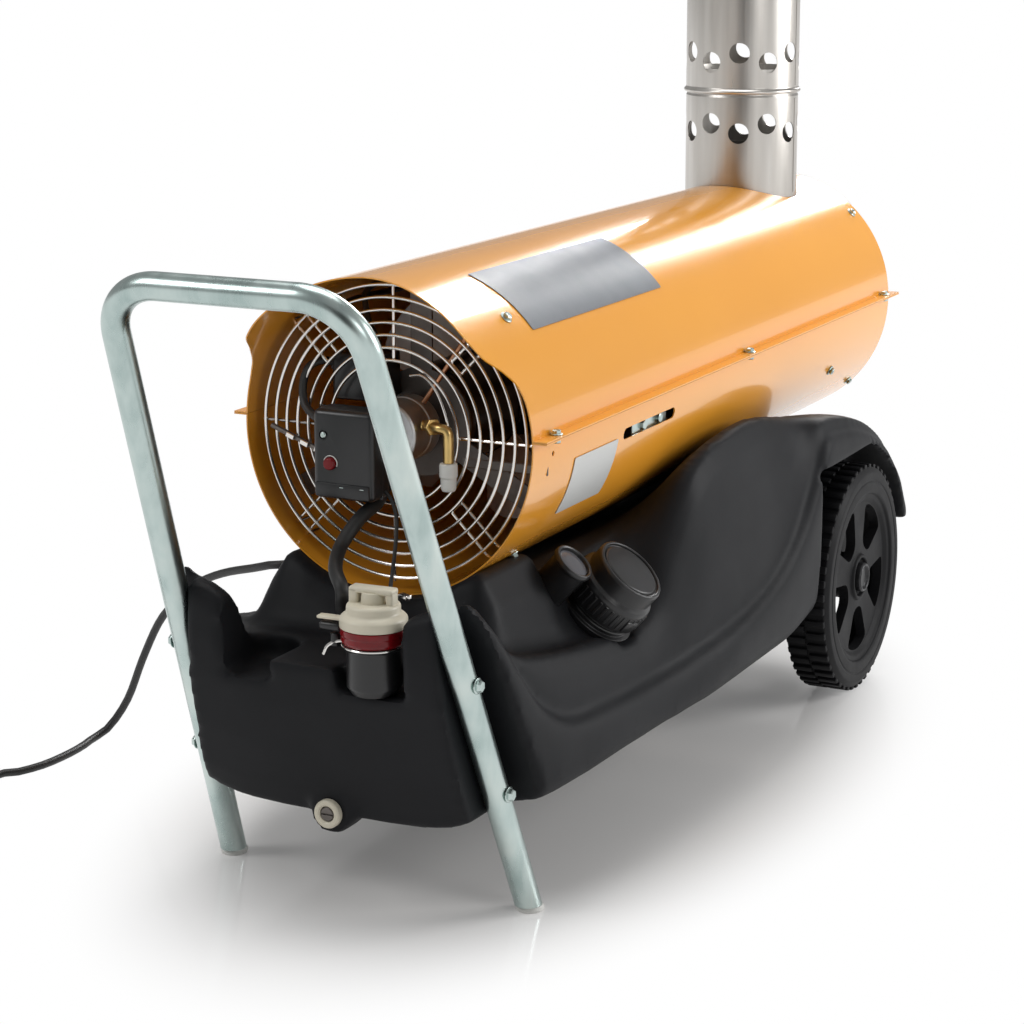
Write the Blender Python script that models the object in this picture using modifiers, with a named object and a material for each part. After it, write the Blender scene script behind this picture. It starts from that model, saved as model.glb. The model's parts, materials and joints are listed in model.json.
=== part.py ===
"""Portable indirect oil-fired air heater on a wheeled fuel tank.

Bench frame: x = 0 is the plane of symmetry, y = 0 the inlet edge of the lower shell, z = 0 the floor.
+Y runs from the fan inlet and the handle to the hot air outlet, +X is the side with the fuel filler.
At the end one empty, parent of everything, moves the machine so that the middle of its length is at y = 0.
All sizes are in metres.
"""

import math

import bmesh
import bpy
import numpy as np
from mathutils import Matrix, Vector

for leftover in list(bpy.data.objects):
    bpy.data.objects.remove(leftover, do_unlink=True)

# Allowances
GAP = 0.0003                    # between neighbours that touch
OVERRUN = 0.03                  # how far a cutter runs past what it cuts
WELD = 0.00001                  # distance at which doubled points are merged
BITE = 0.0006                   # how deep two shapes sink into each other before they are united

# Barrel: two rolled sheets with outside seam flanges
BARREL_RADIUS = 0.1338
BARREL_LENGTH = 0.890
BARREL_AXIS = 0.374             # height of the axis
SHEET = 0.0012
SEAM_RISE = 0.006               # the seam lies this far above the axis
FLANGE_WIDTH = 0.012
HOOD_REACH = 0.043              # the upper sheet juts out over the inlet
hood_row_shares = (0.0, 0.06, 1.0)      # rows of faces along the upper sheet
plain_row_shares = (0.0, 1.0)
hood_angle_shares = (0.0, 0.155, 0.245, 0.32, 0.405, 0.50, 0.62, 0.73, 0.84, 1.0)
hood_reach_shares = (0.0, 0.02, 0.12, 0.44, 0.90, 1.0, 0.95, 0.88, 0.78, 0.70)
SLOT_LENGTH = 0.112             # slot for the thermostat, in the right wall
SLOT_HEIGHT = 0.010
SLOT_PLACE = 0.235
SLOT_DROP = 0.021               # below the axis

# Screws of the barrel
SCREW_SHANK = 0.002
SCREW_REACH = 0.004             # how far a radial screw goes in
SCREW_INSET = 0.005             # seam screw from the barrel's wall
seam_screw_shares = (0.036, 0.515, 0.968)
radial_screw_places = (         # share of the length, degrees from the horizontal
    (0.040, 47.0), (0.074, -52.0), (0.978, 44.6), (0.965, -42.1), (0.828, -25.3),
)

# Inlet grille: concentric wires on four spokes and four hairpins
GRILLE_MARGIN = 0.0102          # from the barrel's wall
GRILLE_RADIUS = BARREL_RADIUS - GRILLE_MARGIN
GRILLE_SETBACK = 0.012
GRILLE_RINGS = 7
GRILLE_STEP = 0.0104
WIRE = 0.0014                   # radius of the wire
HAIRPIN_HALF_WIDTH = 0.0065
HAIRPIN_REACH = 0.043           # along the radius
HAIRPIN_TAIL = 0.022            # bent back beside the wall

# Plates on the barrel, bare
PLATE_SHEET = 0.0006
TOP_PLATE_LENGTH = 0.262
TOP_PLATE_PLACE = 0.192
top_plate_angles = (39.5, 71.0)
RATING_PLATE_LENGTH = 0.086
RATING_PLATE_PLACE = 0.124
rating_plate_angles = (-32.0, -9.5)

# Flue: perforated lower pipe, upper pipe socketed over it
FLUE_RADIUS = 0.060
FLUE_PLACE = 0.7816             # along the barrel
FLUE_SHEET = 0.0010
FLUE_JOINT = 0.605              # height of the bead
FLUE_TOP = 0.850
FLUE_SPIGOT = 0.025
BEAD = 0.0022
DRAFT_HOLES = 12
DRAFT_HOLE_RADIUS = 0.0108
DRAFT_ROW_OFFSET = 0.037        # from the bead to the middle of a row
DRAFT_STAGGER = 0.005
DRAFT_PHASE = 18.0              # degrees

# Burner and heat exchanger, along the barrel's axis
CHAMBER_FRONT = 0.300
CHAMBER_LENGTH = 0.420
EXCHANGER_MARGIN = 0.0263       # air path between the exchanger and the barrel
EXCHANGER_RADIUS = BARREL_RADIUS - EXCHANGER_MARGIN
GAS_PATH = 0.0275               # between the chamber and the exchanger
CHAMBER_RADIUS = EXCHANGER_RADIUS - GAS_PATH
EXCHANGER_FRONT = 0.345
EXCHANGER_REAR = 0.852
STUB_RADIUS = 0.0580
STUB_TOP = 0.545
STUB_SHOULDER = 0.004
SUPPORT_WIDTH = 0.018
SUPPORT_SPREAD = 0.026
support_places = (0.40, 0.70)
support_angles = (90.0, 205.0, 335.0)
HOT_SIDES = 24                  # facets of the chamber, the exchanger and the burner tube
BURNER_RADIUS = 0.044
BURNER_FRONT = 0.232
BURNER_REAR = 0.335
BURNER_WALL = 0.0012
BURNER_FLANGE = 0.058
BURNER_FLANGE_THICK = 0.003
DISC_PLACE = 0.315
DISC_THICK = 0.0016
DISC_BORE = 0.013
NOZZLE_RADIUS = 0.0075
NOZZLE_LENGTH = 0.030
ELECTRODE_RADIUS = 0.0016
ELECTRODE_LENGTH = 0.058
ELECTRODE_SPREAD = 0.013

# Outlet ring inside the rear edge of the shells
OUTLET_DEPTH = 0.024
OUTLET_LIP = 0.012

# Motor, fan and pump
MOTOR_RADIUS = 0.046
MOTOR_FRONT = 0.064
MOTOR_LENGTH = 0.100
MOTOR_BOSS = 0.012
SHAFT_RADIUS = 0.005
SHAFT_FRONT = 0.050
SHAFT_REAR = 0.206
SHAFT_PLAY = 0.0004
FAN_MARGIN = 0.0228
FAN_RADIUS = BARREL_RADIUS - FAN_MARGIN
FAN_HUB = 0.022
FAN_PLACE = 0.188
FAN_DEPTH = 0.024
FAN_BLADES = 5
FAN_BLADE_SHEET = 0.0014
BLADE_ROOT_ANGLE = 62.0         # degrees of the circle that a blade spans
BLADE_TIP_ANGLE = 44.0
FLATTER_TIP_share = 0.15
strut_angles = (90.0, 210.0, 330.0)
STRUT_WIDTH = 0.020
STRUT_SHEET = 0.003
PUMP_RADIUS = 0.027
PUMP_FRONT = 0.0
PUMP_REAR = 0.0485
PUMP_BOSS = 0.012
ELBOW_RADIUS = 0.0048
PUMP_PORT_RISE = 0.0085
CONNECTOR_PLACE = (0.0572, 0.0010)
CONNECTOR_TOP = 0.3560
CONNECTOR_RADIUS = 0.0075
CONNECTOR_LENGTH = 0.023
LINE_START_share = 0.75         # of the pump's length
LINE_ANGLE = 55.0               # degrees, where the fuel line passes the fan
CABLE_ANGLES = (130.0, 117.0)   # the same for the ignition leads

# Control box and ignition transformer, in front of and behind the grille
BOX_WIDTH = 0.056
BOX_HEIGHT = 0.074
BOX_DEPTH = 0.030
BOX_MIDDLE = (-0.0235, 0.360)   # x and z
BOX_EDGE = 0.003
BUTTON_RADIUS = 0.0052
BUTTON_PROUD = 0.0042
BUTTON_TRAVEL = 0.003
BUTTON_DEPTH = 0.012            # length of the button
BUTTON_PLACE = (-0.0345, 0.353)
BUTTON_PLAY = 0.0004
TRANSFORMER_SIZE = (0.044, 0.040, 0.040)
TRANSFORMER_MIDDLE = (-0.0405, 0.415)   # x and z
TRANSFORMER_EDGE = 0.003
IGNITION_CABLE = 0.0026
FUEL_LINE = 0.0021
HOSE = 0.0058
HOSE_BORE = 0.0030
hose_knots = (                  # x, y and depth below the barrel's axis
    (-0.0090, 0.0240, 0.0285), (-0.0090, 0.0225, 0.0370), (-0.0090, 0.0165, 0.0438),
    (-0.0090, 0.0105, 0.0496),
    (-0.0090, 0.0030, 0.0561), (-0.0090, -0.0050, 0.0592), (-0.0100, -0.0180, 0.0625),
    (-0.0125, -0.0320, 0.0705),
    (-0.0150, -0.0500, 0.0850), (-0.0040, -0.0760, 0.0950), (0.0100, -0.0900, 0.1060),
    (0.0075, -0.0850, 0.1210),
    (0.0068, -0.0800, 0.1360),
)

# Thermostat in the slot
NUT_RADIUS = 0.0046
NUT_THICK = 0.004
NUT_PLACE = 0.226
LIMITER_RADIUS = 0.0044
LIMITER_THICK = 0.0035
LIMITER_PLACE = 0.262
THERMOSTAT_PLATE = (0.0015, 0.074, 0.026)

# Fuel tank
TANK_FRONT = -0.130
TANK_LENGTH = 0.940
TANK_HALF_WIDTH = 0.190
DOME_BELOW_AXIS = 0.042         # the shoulders beside the barrel end below its axis
TANK_HEIGHT = BARREL_AXIS - DOME_BELOW_AXIS
FRONT_RAKE = 0.040              # the front leans forward by this over the rake's height
RAKE_LOW = 0.085
RAKE_HIGH = 0.210
RAKE_LENGTH = 0.110
TOWER_BITE = 0.007              # the front tower is cut to the barrel from this far above its underside
SADDLE_CLEARANCE = 0.014
PAD_HEIGHT = 0.213
PAD_LEFT = -0.050
PAD_RIGHT = 0.078
PAD_BACK = -0.058
SCOOP_FLOOR = 0.194
SCOOP_RIGHT = 0.0530            # the wide scoop holds the fuel filter
SCOOP_RIGHT_RADIUS = 0.0305
SCOOP_RIGHT_DEPTH = 0.020       # from the tank's front to the middle of the round
SCOOP_LEFT = -0.0590
SCOOP_LEFT_RADIUS = 0.0210
SCOOP_LEFT_DEPTH = 0.048
FILTER_X = 0.050
CHANNEL_BEHIND_LEG = 0.022
ARCH_CLEARANCE = 0.019
ARCH_DEPTH = 0.057              # from the tank's side to the wall behind a wheel
ARCH_WALL = TANK_HALF_WIDTH - ARCH_DEPTH
ARCH_FRONT = 0.535
ARCH_REAR_HEIGHT = 0.150        # the fender ends at this height behind the wheel
DRAIN_RADIUS = 0.0185
DRAIN_PROUD = 0.006
DRAIN_BORE = 0.0062
DRAIN_HEIGHT = 0.0835
DRAIN_DEPTH = 0.030

# Filler on the right: axis leans outwards
FILLER_LEAN = 42.0              # degrees from the vertical
FILLER_INSET = 0.0745           # from the tank's side
FILLER_BASE = (TANK_HALF_WIDTH - FILLER_INSET, 0.152, 0.202)
FILLER_BORE = 0.0235
FILLER_DEPTH = 0.060
FILLER_SEAT = 0.041             # radius of the round seat in the tank's side
FILLER_BOSS = 0.045
NECK_RADIUS = 0.0335
NECK_HEIGHT = 0.030
NECK_FLANGE = 0.038
NECK_FLANGE_HEIGHT = 0.006
CAP_RADIUS = 0.0375
CAP_BASE = 0.014
CAP_SKIRT = 0.022
CAP_TOP_RADIUS = 0.031
CAP_TOP_HEIGHT = 0.020
CAP_WALL = 0.0030
STRAINER_RADIUS = 0.0225
STRAINER_DEPTH = 0.052
STRAINER_WALL = 0.0010
STRAINER_RIM = 0.0270
GAUGE_RADIUS = 0.0165
GAUGE_HEIGHT = 0.035
GAUGE_INSET = 0.0138            # from the barrel's side
GAUGE_BELOW_AXIS = 0.119
GAUGE_TOP = (BARREL_RADIUS - GAUGE_INSET, 0.100, BARREL_AXIS - GAUGE_BELOW_AXIS)
GAUGE_BEZEL = 0.0185
GAUGE_BEZEL_HEIGHT = 0.006

# Fuel filter in the right scoop
FILTER_BODY = 0.0215
FILTER_RING = 0.0262
FILTER_CAP = 0.0268
FILTER_RING_BASE = 0.2350
FILTER_RING_HEIGHT = 0.0130
FILTER_CAP_HEIGHT = 0.0190
FILTER_GRIP_HEIGHT = 0.0125
FILTER_GRIP_LENGTH = 0.044
FILTER_GRIP_WIDTH = 0.013
FILTER_STEM = 0.006
BARB_HEIGHT = 0.2265
barb_direction_shares = (-0.8, 0.6, 0.0)

# Drain plug on the front
DRAIN_RING = 0.0118
DRAIN_RING_THICK = 0.006
PLUG_RADIUS = 0.0055
PLUG_HEAD_RADIUS = 0.0075
PLUG_HEAD = 0.0050
PLUG_SLOT = 0.0016

# Handle that is also the front stand
TUBE_RADIUS = 0.011
FOOT_SPREAD = 0.141
FOOT_PLACE = -0.020
TOP_SPREAD = 0.1057
TOP_PLACE = -0.2326
TOP_HEIGHT = 0.5234
HANDLE_BEND = 0.048
FOOT_PLUG = 0.005
bolt_heights = (0.112, 0.211)
BOLT_SHANK = 0.003
BOLT_HEAD = 0.0065
BOLT_HEAD_HEIGHT = 0.0045
BOLT_LENGTH = 0.042
BOLT_PLAY = 0.0004

# Axle and wheels
WHEEL_RADIUS = 0.1174
WHEEL_PLACE = 0.663
WHEEL_OUTSIDE = TANK_HALF_WIDTH     # outer face from the plane of symmetry
WHEEL_WIDTH = 0.048
TYRE_DEPTH = 0.030
TYRE_ROUND = 0.008
WEB_THICK = 0.010
WEB_INSET = 0.007
HUB_RADIUS = 0.024
HUB_PROUD = -0.008              # the hub ends inside the tyre's outer face
HUB_PLAY = 0.0008
WHEEL_OPENINGS = 5
OPENING_INNER = 0.034
OPENING_OUTER = 0.076
opening_spread_share = 0.60     # of one fifth of a turn
AXLE_RADIUS = 0.009
AXLE_PLAY = 0.0004
AXLE_CAP_RADIUS = 0.015
AXLE_CAP_HEIGHT = 0.008
STRAP_HALF_WIDTH = 0.090
STRAP_DEPTH = 0.060
STRAP_SHEET = 0.003

# Rear stand under the barrel
STAND_PLACE = 0.600
STAND_WIDTH = 0.030
STAND_HALF_ANGLE = 16.0
STAND_FOOT = 0.040
STAND_SEAT = 0.0020             # sunk into the tank

# Mains lead: flat route in bench coordinates, resting on the floor before the coil
CORD_RADIUS = 0.00375
GLAND_RADIUS = 0.0085
GLAND_LENGTH = 0.034
GLAND_OUTSIDE_share = 0.68
GLAND_FLANGE = 0.0120
GLAND_FLANGE_THICK = 0.0030
GLAND_ANGLE = 216.0
GLAND_PLACE = 0.130
cord_knots = (
    (-0.1445, 0.1285, 0.2630), (-0.1462, 0.1245, 0.2480), (-0.1455, 0.1150, 0.2350),
    (-0.1460, 0.1030, 0.2275),
    (-0.1510, 0.0925, 0.2255), (-0.1660, 0.0895, 0.2245), (-0.1920, 0.1000, 0.2160),
    (-0.2380, 0.1200, 0.2010), (-0.2770, 0.1360, 0.1830), (-0.3100, 0.1500, 0.1590),
    (-0.3400, 0.1630, 0.1310), (-0.3690, 0.1750, 0.0870), (-0.3950, 0.1860, 0.0410),
    (-0.4150, 0.1830, 0.0110),
    (-0.4200, 0.1640, CORD_RADIUS), (-0.4160, 0.1400, CORD_RADIUS), (-0.4140, 0.1140, CORD_RADIUS),
    (-0.4160, 0.0790, CORD_RADIUS), (-0.4250, 0.0520, CORD_RADIUS), (-0.4380, 0.0320, CORD_RADIUS),
)
COIL_TURNS = 2                  # in each of two layers, with one more half turn to climb
COIL_STEPS = 24                 # points in a turn
TAIL_LENGTH = 0.045             # from the coil to the plug
COIL_RADIUS = 0.041
COIL_PITCH = 0.0098
COIL_LAYER = 0.0080
COIL_CENTRE = (-0.500, -0.070)
PLUG_BODY = 0.0185
PLUG_LENGTH = 0.036
PLUG_PIN = 0.0024
PLUG_PIN_LENGTH = 0.019
PLUG_PIN_SPACING = 0.019

machine = bpy.data.collections.new("indirect_heater")
bpy.context.scene.collection.children.link(machine)
cutters = bpy.data.collections.new("cutters")
bpy.context.scene.collection.children.link(cutters)

bench = bpy.data.objects.new("bench", None)
machine.objects.link(bench)

ALONG_X = (0.0, math.pi / 2, 0.0)       # turns a shape made along Z to +X
ALONG_Y = (-math.pi / 2, 0.0, 0.0)      # turns a shape made along Z to +Y


def finish(name, colour, roughness, metallic=0.0):
    """One Principled BSDF material."""
    material = bpy.data.materials.new(name)
    material.use_nodes = True
    shader = material.node_tree.nodes["Principled BSDF"]
    shader.inputs["Base Color"].default_value = (*colour, 1.0)
    shader.inputs["Roughness"].default_value = roughness
    shader.inputs["Metallic"].default_value = metallic
    material.diffuse_color = (*colour, 1.0)
    return material


ORANGE = finish("orange_enamel", (0.85, 0.36, 0.05), 0.22)
TANK_BLACK = finish("moulded_black", (0.035, 0.036, 0.040), 0.50)
BLACK = finish("black_plastic", (0.018, 0.018, 0.020), 0.38)
RUBBER = finish("black_rubber", (0.022, 0.022, 0.022), 0.75)
ZINC = finish("zinc_plate", (0.62, 0.68, 0.66), 0.30, 1.0)
WIRE_CHROME = finish("bright_wire", (0.75, 0.74, 0.72), 0.20, 1.0)
STAINLESS = finish("stainless", (0.56, 0.53, 0.49), 0.32, 1.0)
DARK_STEEL = finish("heat_resisting_steel", (0.20, 0.18, 0.17), 0.55, 1.0)
ALLOY = finish("cast_alloy", (0.50, 0.50, 0.50), 0.45, 1.0)
BRASS = finish("brass", (0.72, 0.52, 0.22), 0.30, 1.0)
CREAM = finish("cream_plastic", (0.78, 0.74, 0.62), 0.40)
RED = finish("red_plastic", (0.55, 0.03, 0.04), 0.25)
WHITE = finish("white_plastic", (0.80, 0.80, 0.78), 0.35)
PLATE_GREY = finish("dark_plate", (0.16, 0.17, 0.19), 0.45)
PLATE_SILVER = finish("silver_plate", (0.70, 0.70, 0.70), 0.35, 0.6)
COPPER = finish("copper_line", (0.60, 0.32, 0.18), 0.35, 1.0)


def place(name, data, material=None, at=(0.0, 0.0, 0.0), turn=(0.0, 0.0, 0.0), parent=None):
    """Puts a mesh or curve in the machine, or among the cutters where it has no material."""
    item = bpy.data.objects.new(name, data)
    item.location = at
    item.rotation_euler = turn
    item.parent = parent or bench
    if material:
        data.materials.clear()
        data.materials.append(material)
        machine.objects.link(item)
    else:
        item.hide_render = True
        item.display_type = "WIRE"
        cutters.objects.link(item)
    return item


def baked(item):
    """The evaluated mesh of an object in its own space; the object goes."""
    bpy.context.view_layer.update()
    graph = bpy.context.evaluated_depsgraph_get()
    mesh = bpy.data.meshes.new_from_object(item.evaluated_get(graph))
    bpy.data.objects.remove(item)
    return mesh


def mesh_of(name, shape):
    """Writes a bmesh into a new mesh."""
    mesh = bpy.data.meshes.new(name)
    shape.to_mesh(mesh)
    shape.free()
    return mesh


def block(name, size, middle=(0.0, 0.0, 0.0)):
    shape = bmesh.new()
    bmesh.ops.create_cube(shape, size=1.0)
    bmesh.ops.scale(shape, vec=size, verts=shape.verts)
    bmesh.ops.translate(shape, vec=middle, verts=shape.verts)
    return mesh_of(name, shape)


def soft_block(name, size, edge, middle=(0.0, 0.0, 0.0), steps=2):
    """A box with rounded edges."""
    shape = bmesh.new()
    bmesh.ops.create_cube(shape, size=1.0)
    bmesh.ops.scale(shape, vec=size, verts=shape.verts)
    bmesh.ops.bevel(shape, geom=shape.edges[:], offset=edge, segments=steps, profile=0.5, affect="EDGES")
    bmesh.ops.translate(shape, vec=middle, verts=shape.verts)
    return mesh_of(name, shape)


def drum(name, radius, low, high, sides=24, top_radius=None):
    """A cylinder or cone along Z between two heights."""
    shape = bmesh.new()
    bmesh.ops.create_cone(
        shape, cap_ends=True, segments=sides, depth=high - low, radius1=radius, radius2=top_radius or radius)
    bmesh.ops.translate(shape, vec=(0.0, 0.0, (low + high) / 2), verts=shape.verts)
    return mesh_of(name, shape)


def turned(name, profile, sides=24, ring=False):
    """Turns (radius, height) points round Z; the outer side runs from top to bottom."""
    count = len(profile)
    edges = [(i, i + 1) for i in range(count - 1)]
    if ring:
        edges.append((count - 1, 0))
    sketch = bpy.data.meshes.new(name)
    sketch.from_pydata([(radius, 0.0, height) for radius, height in profile], edges, [])
    carrier = bpy.data.objects.new(name, sketch)
    bpy.context.scene.collection.objects.link(carrier)
    screw = carrier.modifiers.new("turn", "SCREW")
    screw.steps = sides
    screw.render_steps = sides
    screw.use_merge_vertices = True
    screw.merge_threshold = WELD
    return baked(carrier)


def gathered(name, pieces):
    """Several meshes, each with its own matrix, as separate solids of one mesh."""
    shape = bmesh.new()
    for mesh, matrix in pieces:
        known = len(shape.verts)
        shape.from_mesh(mesh)
        shape.verts.ensure_lookup_table()
        bmesh.ops.transform(shape, matrix=matrix, verts=shape.verts[known:])
    return mesh_of(name, shape)


def frame_at(point, direction, spin=0.0):
    """Matrix that stands a shape made along Z at a point, along a direction."""
    turn = Vector(direction).normalized().to_track_quat("Z", "Y").to_matrix().to_4x4()
    return Matrix.Translation(point) @ turn @ Matrix.Rotation(spin, 4, "Z")


def cord_curve(name, points, radius, resolution=2, closed=False):
    """A round tube along points, with filled caps."""
    curve = bpy.data.curves.new(name, "CURVE")
    curve.dimensions = "3D"
    curve.bevel_depth = radius
    curve.bevel_resolution = resolution
    curve.use_fill_caps = not closed
    spline = curve.splines.new("POLY")
    spline.points.add(len(points) - 1)
    for knot, point in zip(spline.points, points):
        knot.co = (*point, 1.0)
    spline.use_cyclic_u = closed
    return curve


def tube_mesh(name, points, radius, resolution=2, closed=False):
    """The same tube as a closed mesh, its caps welded, for cutting and joining."""
    carrier = bpy.data.objects.new(name, cord_curve(name, points, radius, resolution, closed))
    bpy.context.scene.collection.objects.link(carrier)
    shape = bmesh.new()
    shape.from_mesh(baked(carrier))
    bmesh.ops.remove_doubles(shape, verts=shape.verts, dist=WELD)
    return mesh_of(name, shape)


def combine(item, other, operation):
    """Adds an exact Boolean of one object with another."""
    modifier = item.modifiers.new(other.name, "BOOLEAN")
    modifier.operation = operation
    modifier.solver = "EXACT"
    modifier.object = other


def cut(item, *others):
    for other in others:
        combine(item, other, "DIFFERENCE")


def joined(item, *others):
    for other in others:
        combine(item, other, "UNION")


def glide(stops, place_wanted):
    """Monotone cubic through (place, value) stops, which never overshoots them."""
    places = np.array([stop[0] for stop in stops])
    values = np.array([stop[1] for stop in stops])
    steps = np.diff(places)
    slopes = np.diff(values) / steps
    tangents = np.zeros(len(stops))
    for i in range(1, len(stops) - 1):
        if slopes[i - 1] * slopes[i] > 0:
            before = 2 * steps[i] + steps[i - 1]
            after = steps[i] + 2 * steps[i - 1]
            tangents[i] = (before + after) / (before / slopes[i - 1] + after / slopes[i])
    i = int(np.clip(np.searchsorted(places, place_wanted) - 1, 0, len(steps) - 1))
    t = float(np.clip((place_wanted - places[i]) / steps[i], 0.0, 1.0))
    start = (1 + 2 * t) * (1 - t) ** 2 * values[i] + t * (1 - t) ** 2 * steps[i] * tangents[i]
    end = t * t * (3 - 2 * t) * values[i + 1] - t * t * (1 - t) * steps[i] * tangents[i + 1]
    return float(start + end)


def smooth_route(knots, count):
    """Points evenly spaced along a Catmull-Rom curve through the knots."""
    knots = [np.array(knot, float) for knot in knots]
    padded = [2 * knots[0] - knots[1], *knots, 2 * knots[-1] - knots[-2]]
    dense = []
    for a, b, c, d in zip(padded, padded[1:], padded[2:], padded[3:]):
        for t in np.linspace(0.0, 1.0, 40, endpoint=False):
            dense.append(0.5 * (2 * b + (c - a) * t + (2 * a - 5 * b + 4 * c - d) * t ** 2
                                + (3 * b - a - 3 * c + d) * t ** 3))
    dense.append(knots[-1])
    dense = np.array(dense)
    run = np.concatenate([[0.0], np.cumsum(np.linalg.norm(np.diff(dense, axis=0), axis=1))])
    wanted = np.linspace(0.0, run[-1], count)
    return [tuple(np.interp(s, run, dense[:, axis]) for axis in range(3)) for s in wanted]


def mirrored_x(point):
    return (-point[0], point[1], point[2])


def on_barrel(radius, degrees, along):
    """A point at a radius and an angle from the horizontal, seen from the inlet."""
    angle = math.radians(degrees)
    return Vector((radius * math.cos(angle), along, BARREL_AXIS + radius * math.sin(angle)))


def outwards(degrees):
    angle = math.radians(degrees)
    return Vector((math.cos(angle), 0.0, math.sin(angle)))


# Barrel shells

INNER_RADIUS = BARREL_RADIUS - SHEET
SEAM_HEIGHT = BARREL_AXIS + SEAM_RISE
seam_rows = [share * BARREL_LENGTH for share in seam_screw_shares]
seam_x = math.sqrt(BARREL_RADIUS ** 2 - SEAM_RISE ** 2) + SCREW_INSET


def shell_outline(side, arc_steps):
    """Points (x, z) of a shell's outer line: flange tip, seam, arc, seam, flange tip."""
    line = SEAM_HEIGHT + side * (SHEET + GAP / 2)
    reach = math.sqrt(BARREL_RADIUS ** 2 - (line - BARREL_AXIS) ** 2)
    start = math.atan2(line - BARREL_AXIS, reach)
    end = math.pi - start if side > 0 else -math.pi - start
    arc = [start + (end - start) * i / arc_steps for i in range(arc_steps + 1)]
    points = [(reach + FLANGE_WIDTH, line)]
    points += [(BARREL_RADIUS * math.cos(a), BARREL_AXIS + BARREL_RADIUS * math.sin(a)) for a in arc]
    points.append((-reach - FLANGE_WIDTH, line))
    return points


def shell_mesh(name, side, arc_steps, rows, front_edge):
    """A rolled sheet: the outline swept along the barrel, with a front edge of its own shape."""
    outline = shell_outline(side, arc_steps)
    shape = bmesh.new()
    grid = []
    for x, z in outline:
        front = front_edge(x, z)
        row = [front + (BARREL_LENGTH - front) * share for share in rows]
        grid.append([shape.verts.new((x, y, z)) for y in row])
    for near, far in zip(grid, grid[1:]):
        for i in range(len(rows) - 1):
            shape.faces.new((near[i], near[i + 1], far[i + 1], far[i]))
    bmesh.ops.recalc_face_normals(shape, faces=shape.faces)
    middle = shape.faces[len(shape.faces) // 2]
    outward = middle.calc_center_median() - Vector((0.0, middle.calc_center_median().y, BARREL_AXIS))
    if middle.normal.dot(outward) < 0:
        bmesh.ops.reverse_faces(shape, faces=shape.faces)
    return mesh_of(name, shape)


def hood_edge(x, z):
    """Front edge of the upper shell: level at the seam, ears beside it, shallower at the crown."""
    if abs(x) > BARREL_RADIUS * math.cos(math.atan2(SEAM_RISE, BARREL_RADIUS)):
        return 0.0
    share = math.atan2(z - BARREL_AXIS, abs(x)) / (math.pi / 2)
    return -HOOD_REACH * glide(list(zip(hood_angle_shares, hood_reach_shares)), share)


def straight_edge(x, z):
    return 0.0


def thickened(item):
    wall = item.modifiers.new("sheet", "SOLIDIFY")
    wall.thickness = SHEET
    wall.offset = -1.0
    wall.use_even_offset = True


upper_shell = place("upper_shell", shell_mesh("upper_shell", 1, 38, hood_row_shares, hood_edge), ORANGE)
lower_shell = place("lower_shell", shell_mesh("lower_shell", -1, 36, plain_row_shares, straight_edge), ORANGE)
thickened(upper_shell)
thickened(lower_shell)

seam_holes = place("seam_holes", gathered("seam_holes", [
    (drum("hole", SCREW_SHANK + GAP, -OVERRUN, OVERRUN, 8),
    Matrix.Translation((side * seam_x, y, SEAM_HEIGHT)))
    for side in (-1, 1) for y in seam_rows]))
radial_spots = []
for share, degrees in radial_screw_places:
    for angle in (degrees, 180.0 - degrees):
        radial_spots.append((on_barrel(BARREL_RADIUS, angle, share * BARREL_LENGTH), outwards(angle)))
radial_holes = place("radial_holes", gathered("radial_holes", [
    (drum("hole", SCREW_SHANK + GAP, -SCREW_REACH - BITE, SCREW_REACH, 8), frame_at(spot, way))
    for spot, way in radial_spots]))
flue_hole = place("flue_hole", drum("flue_hole", FLUE_RADIUS + BEAD, BARREL_AXIS, FLUE_TOP, 40),
                  at=(0.0, FLUE_PLACE, 0.0))
slot_hole = place("slot_hole", block("slot_hole", (2 * OVERRUN, SLOT_LENGTH, SLOT_HEIGHT)),
                  at=(BARREL_RADIUS, SLOT_PLACE, BARREL_AXIS - SLOT_DROP))
gland_hole = place("gland_hole", gathered("gland_hole", [(
    drum("hole", GLAND_RADIUS + GAP, -OVERRUN, OVERRUN, 16),
    frame_at(on_barrel(BARREL_RADIUS, GLAND_ANGLE, GLAND_PLACE), outwards(GLAND_ANGLE)))]))
cut(upper_shell, seam_holes, radial_holes, flue_hole)
cut(lower_shell, seam_holes, radial_holes, slot_hole, gland_hole)


def curved_plate(name, length, middle, low, high, steps, material):
    """A thin plate bent to the barrel's wall."""
    shape = bmesh.new()
    grid = []
    for i in range(steps + 1):
        degrees = low + (high - low) * i / steps
        spots = [on_barrel(BARREL_RADIUS + GAP, degrees, middle + end * length / 2) for end in (-1, 1)]
        grid.append([shape.verts.new(spot) for spot in spots])
    for near, far in zip(grid, grid[1:]):
        shape.faces.new((near[1], far[1], far[0], near[0]))
    plate = place(name, mesh_of(name, shape), material)
    wall = plate.modifiers.new("sheet", "SOLIDIFY")
    wall.thickness = PLATE_SHEET
    wall.offset = 1.0
    return plate


curved_plate("top_plate", TOP_PLATE_LENGTH, TOP_PLATE_PLACE, *top_plate_angles, 8, PLATE_GREY)
curved_plate("rating_plate", RATING_PLATE_LENGTH, RATING_PLATE_PLACE, *rating_plate_angles, 6, PLATE_SILVER)

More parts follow.
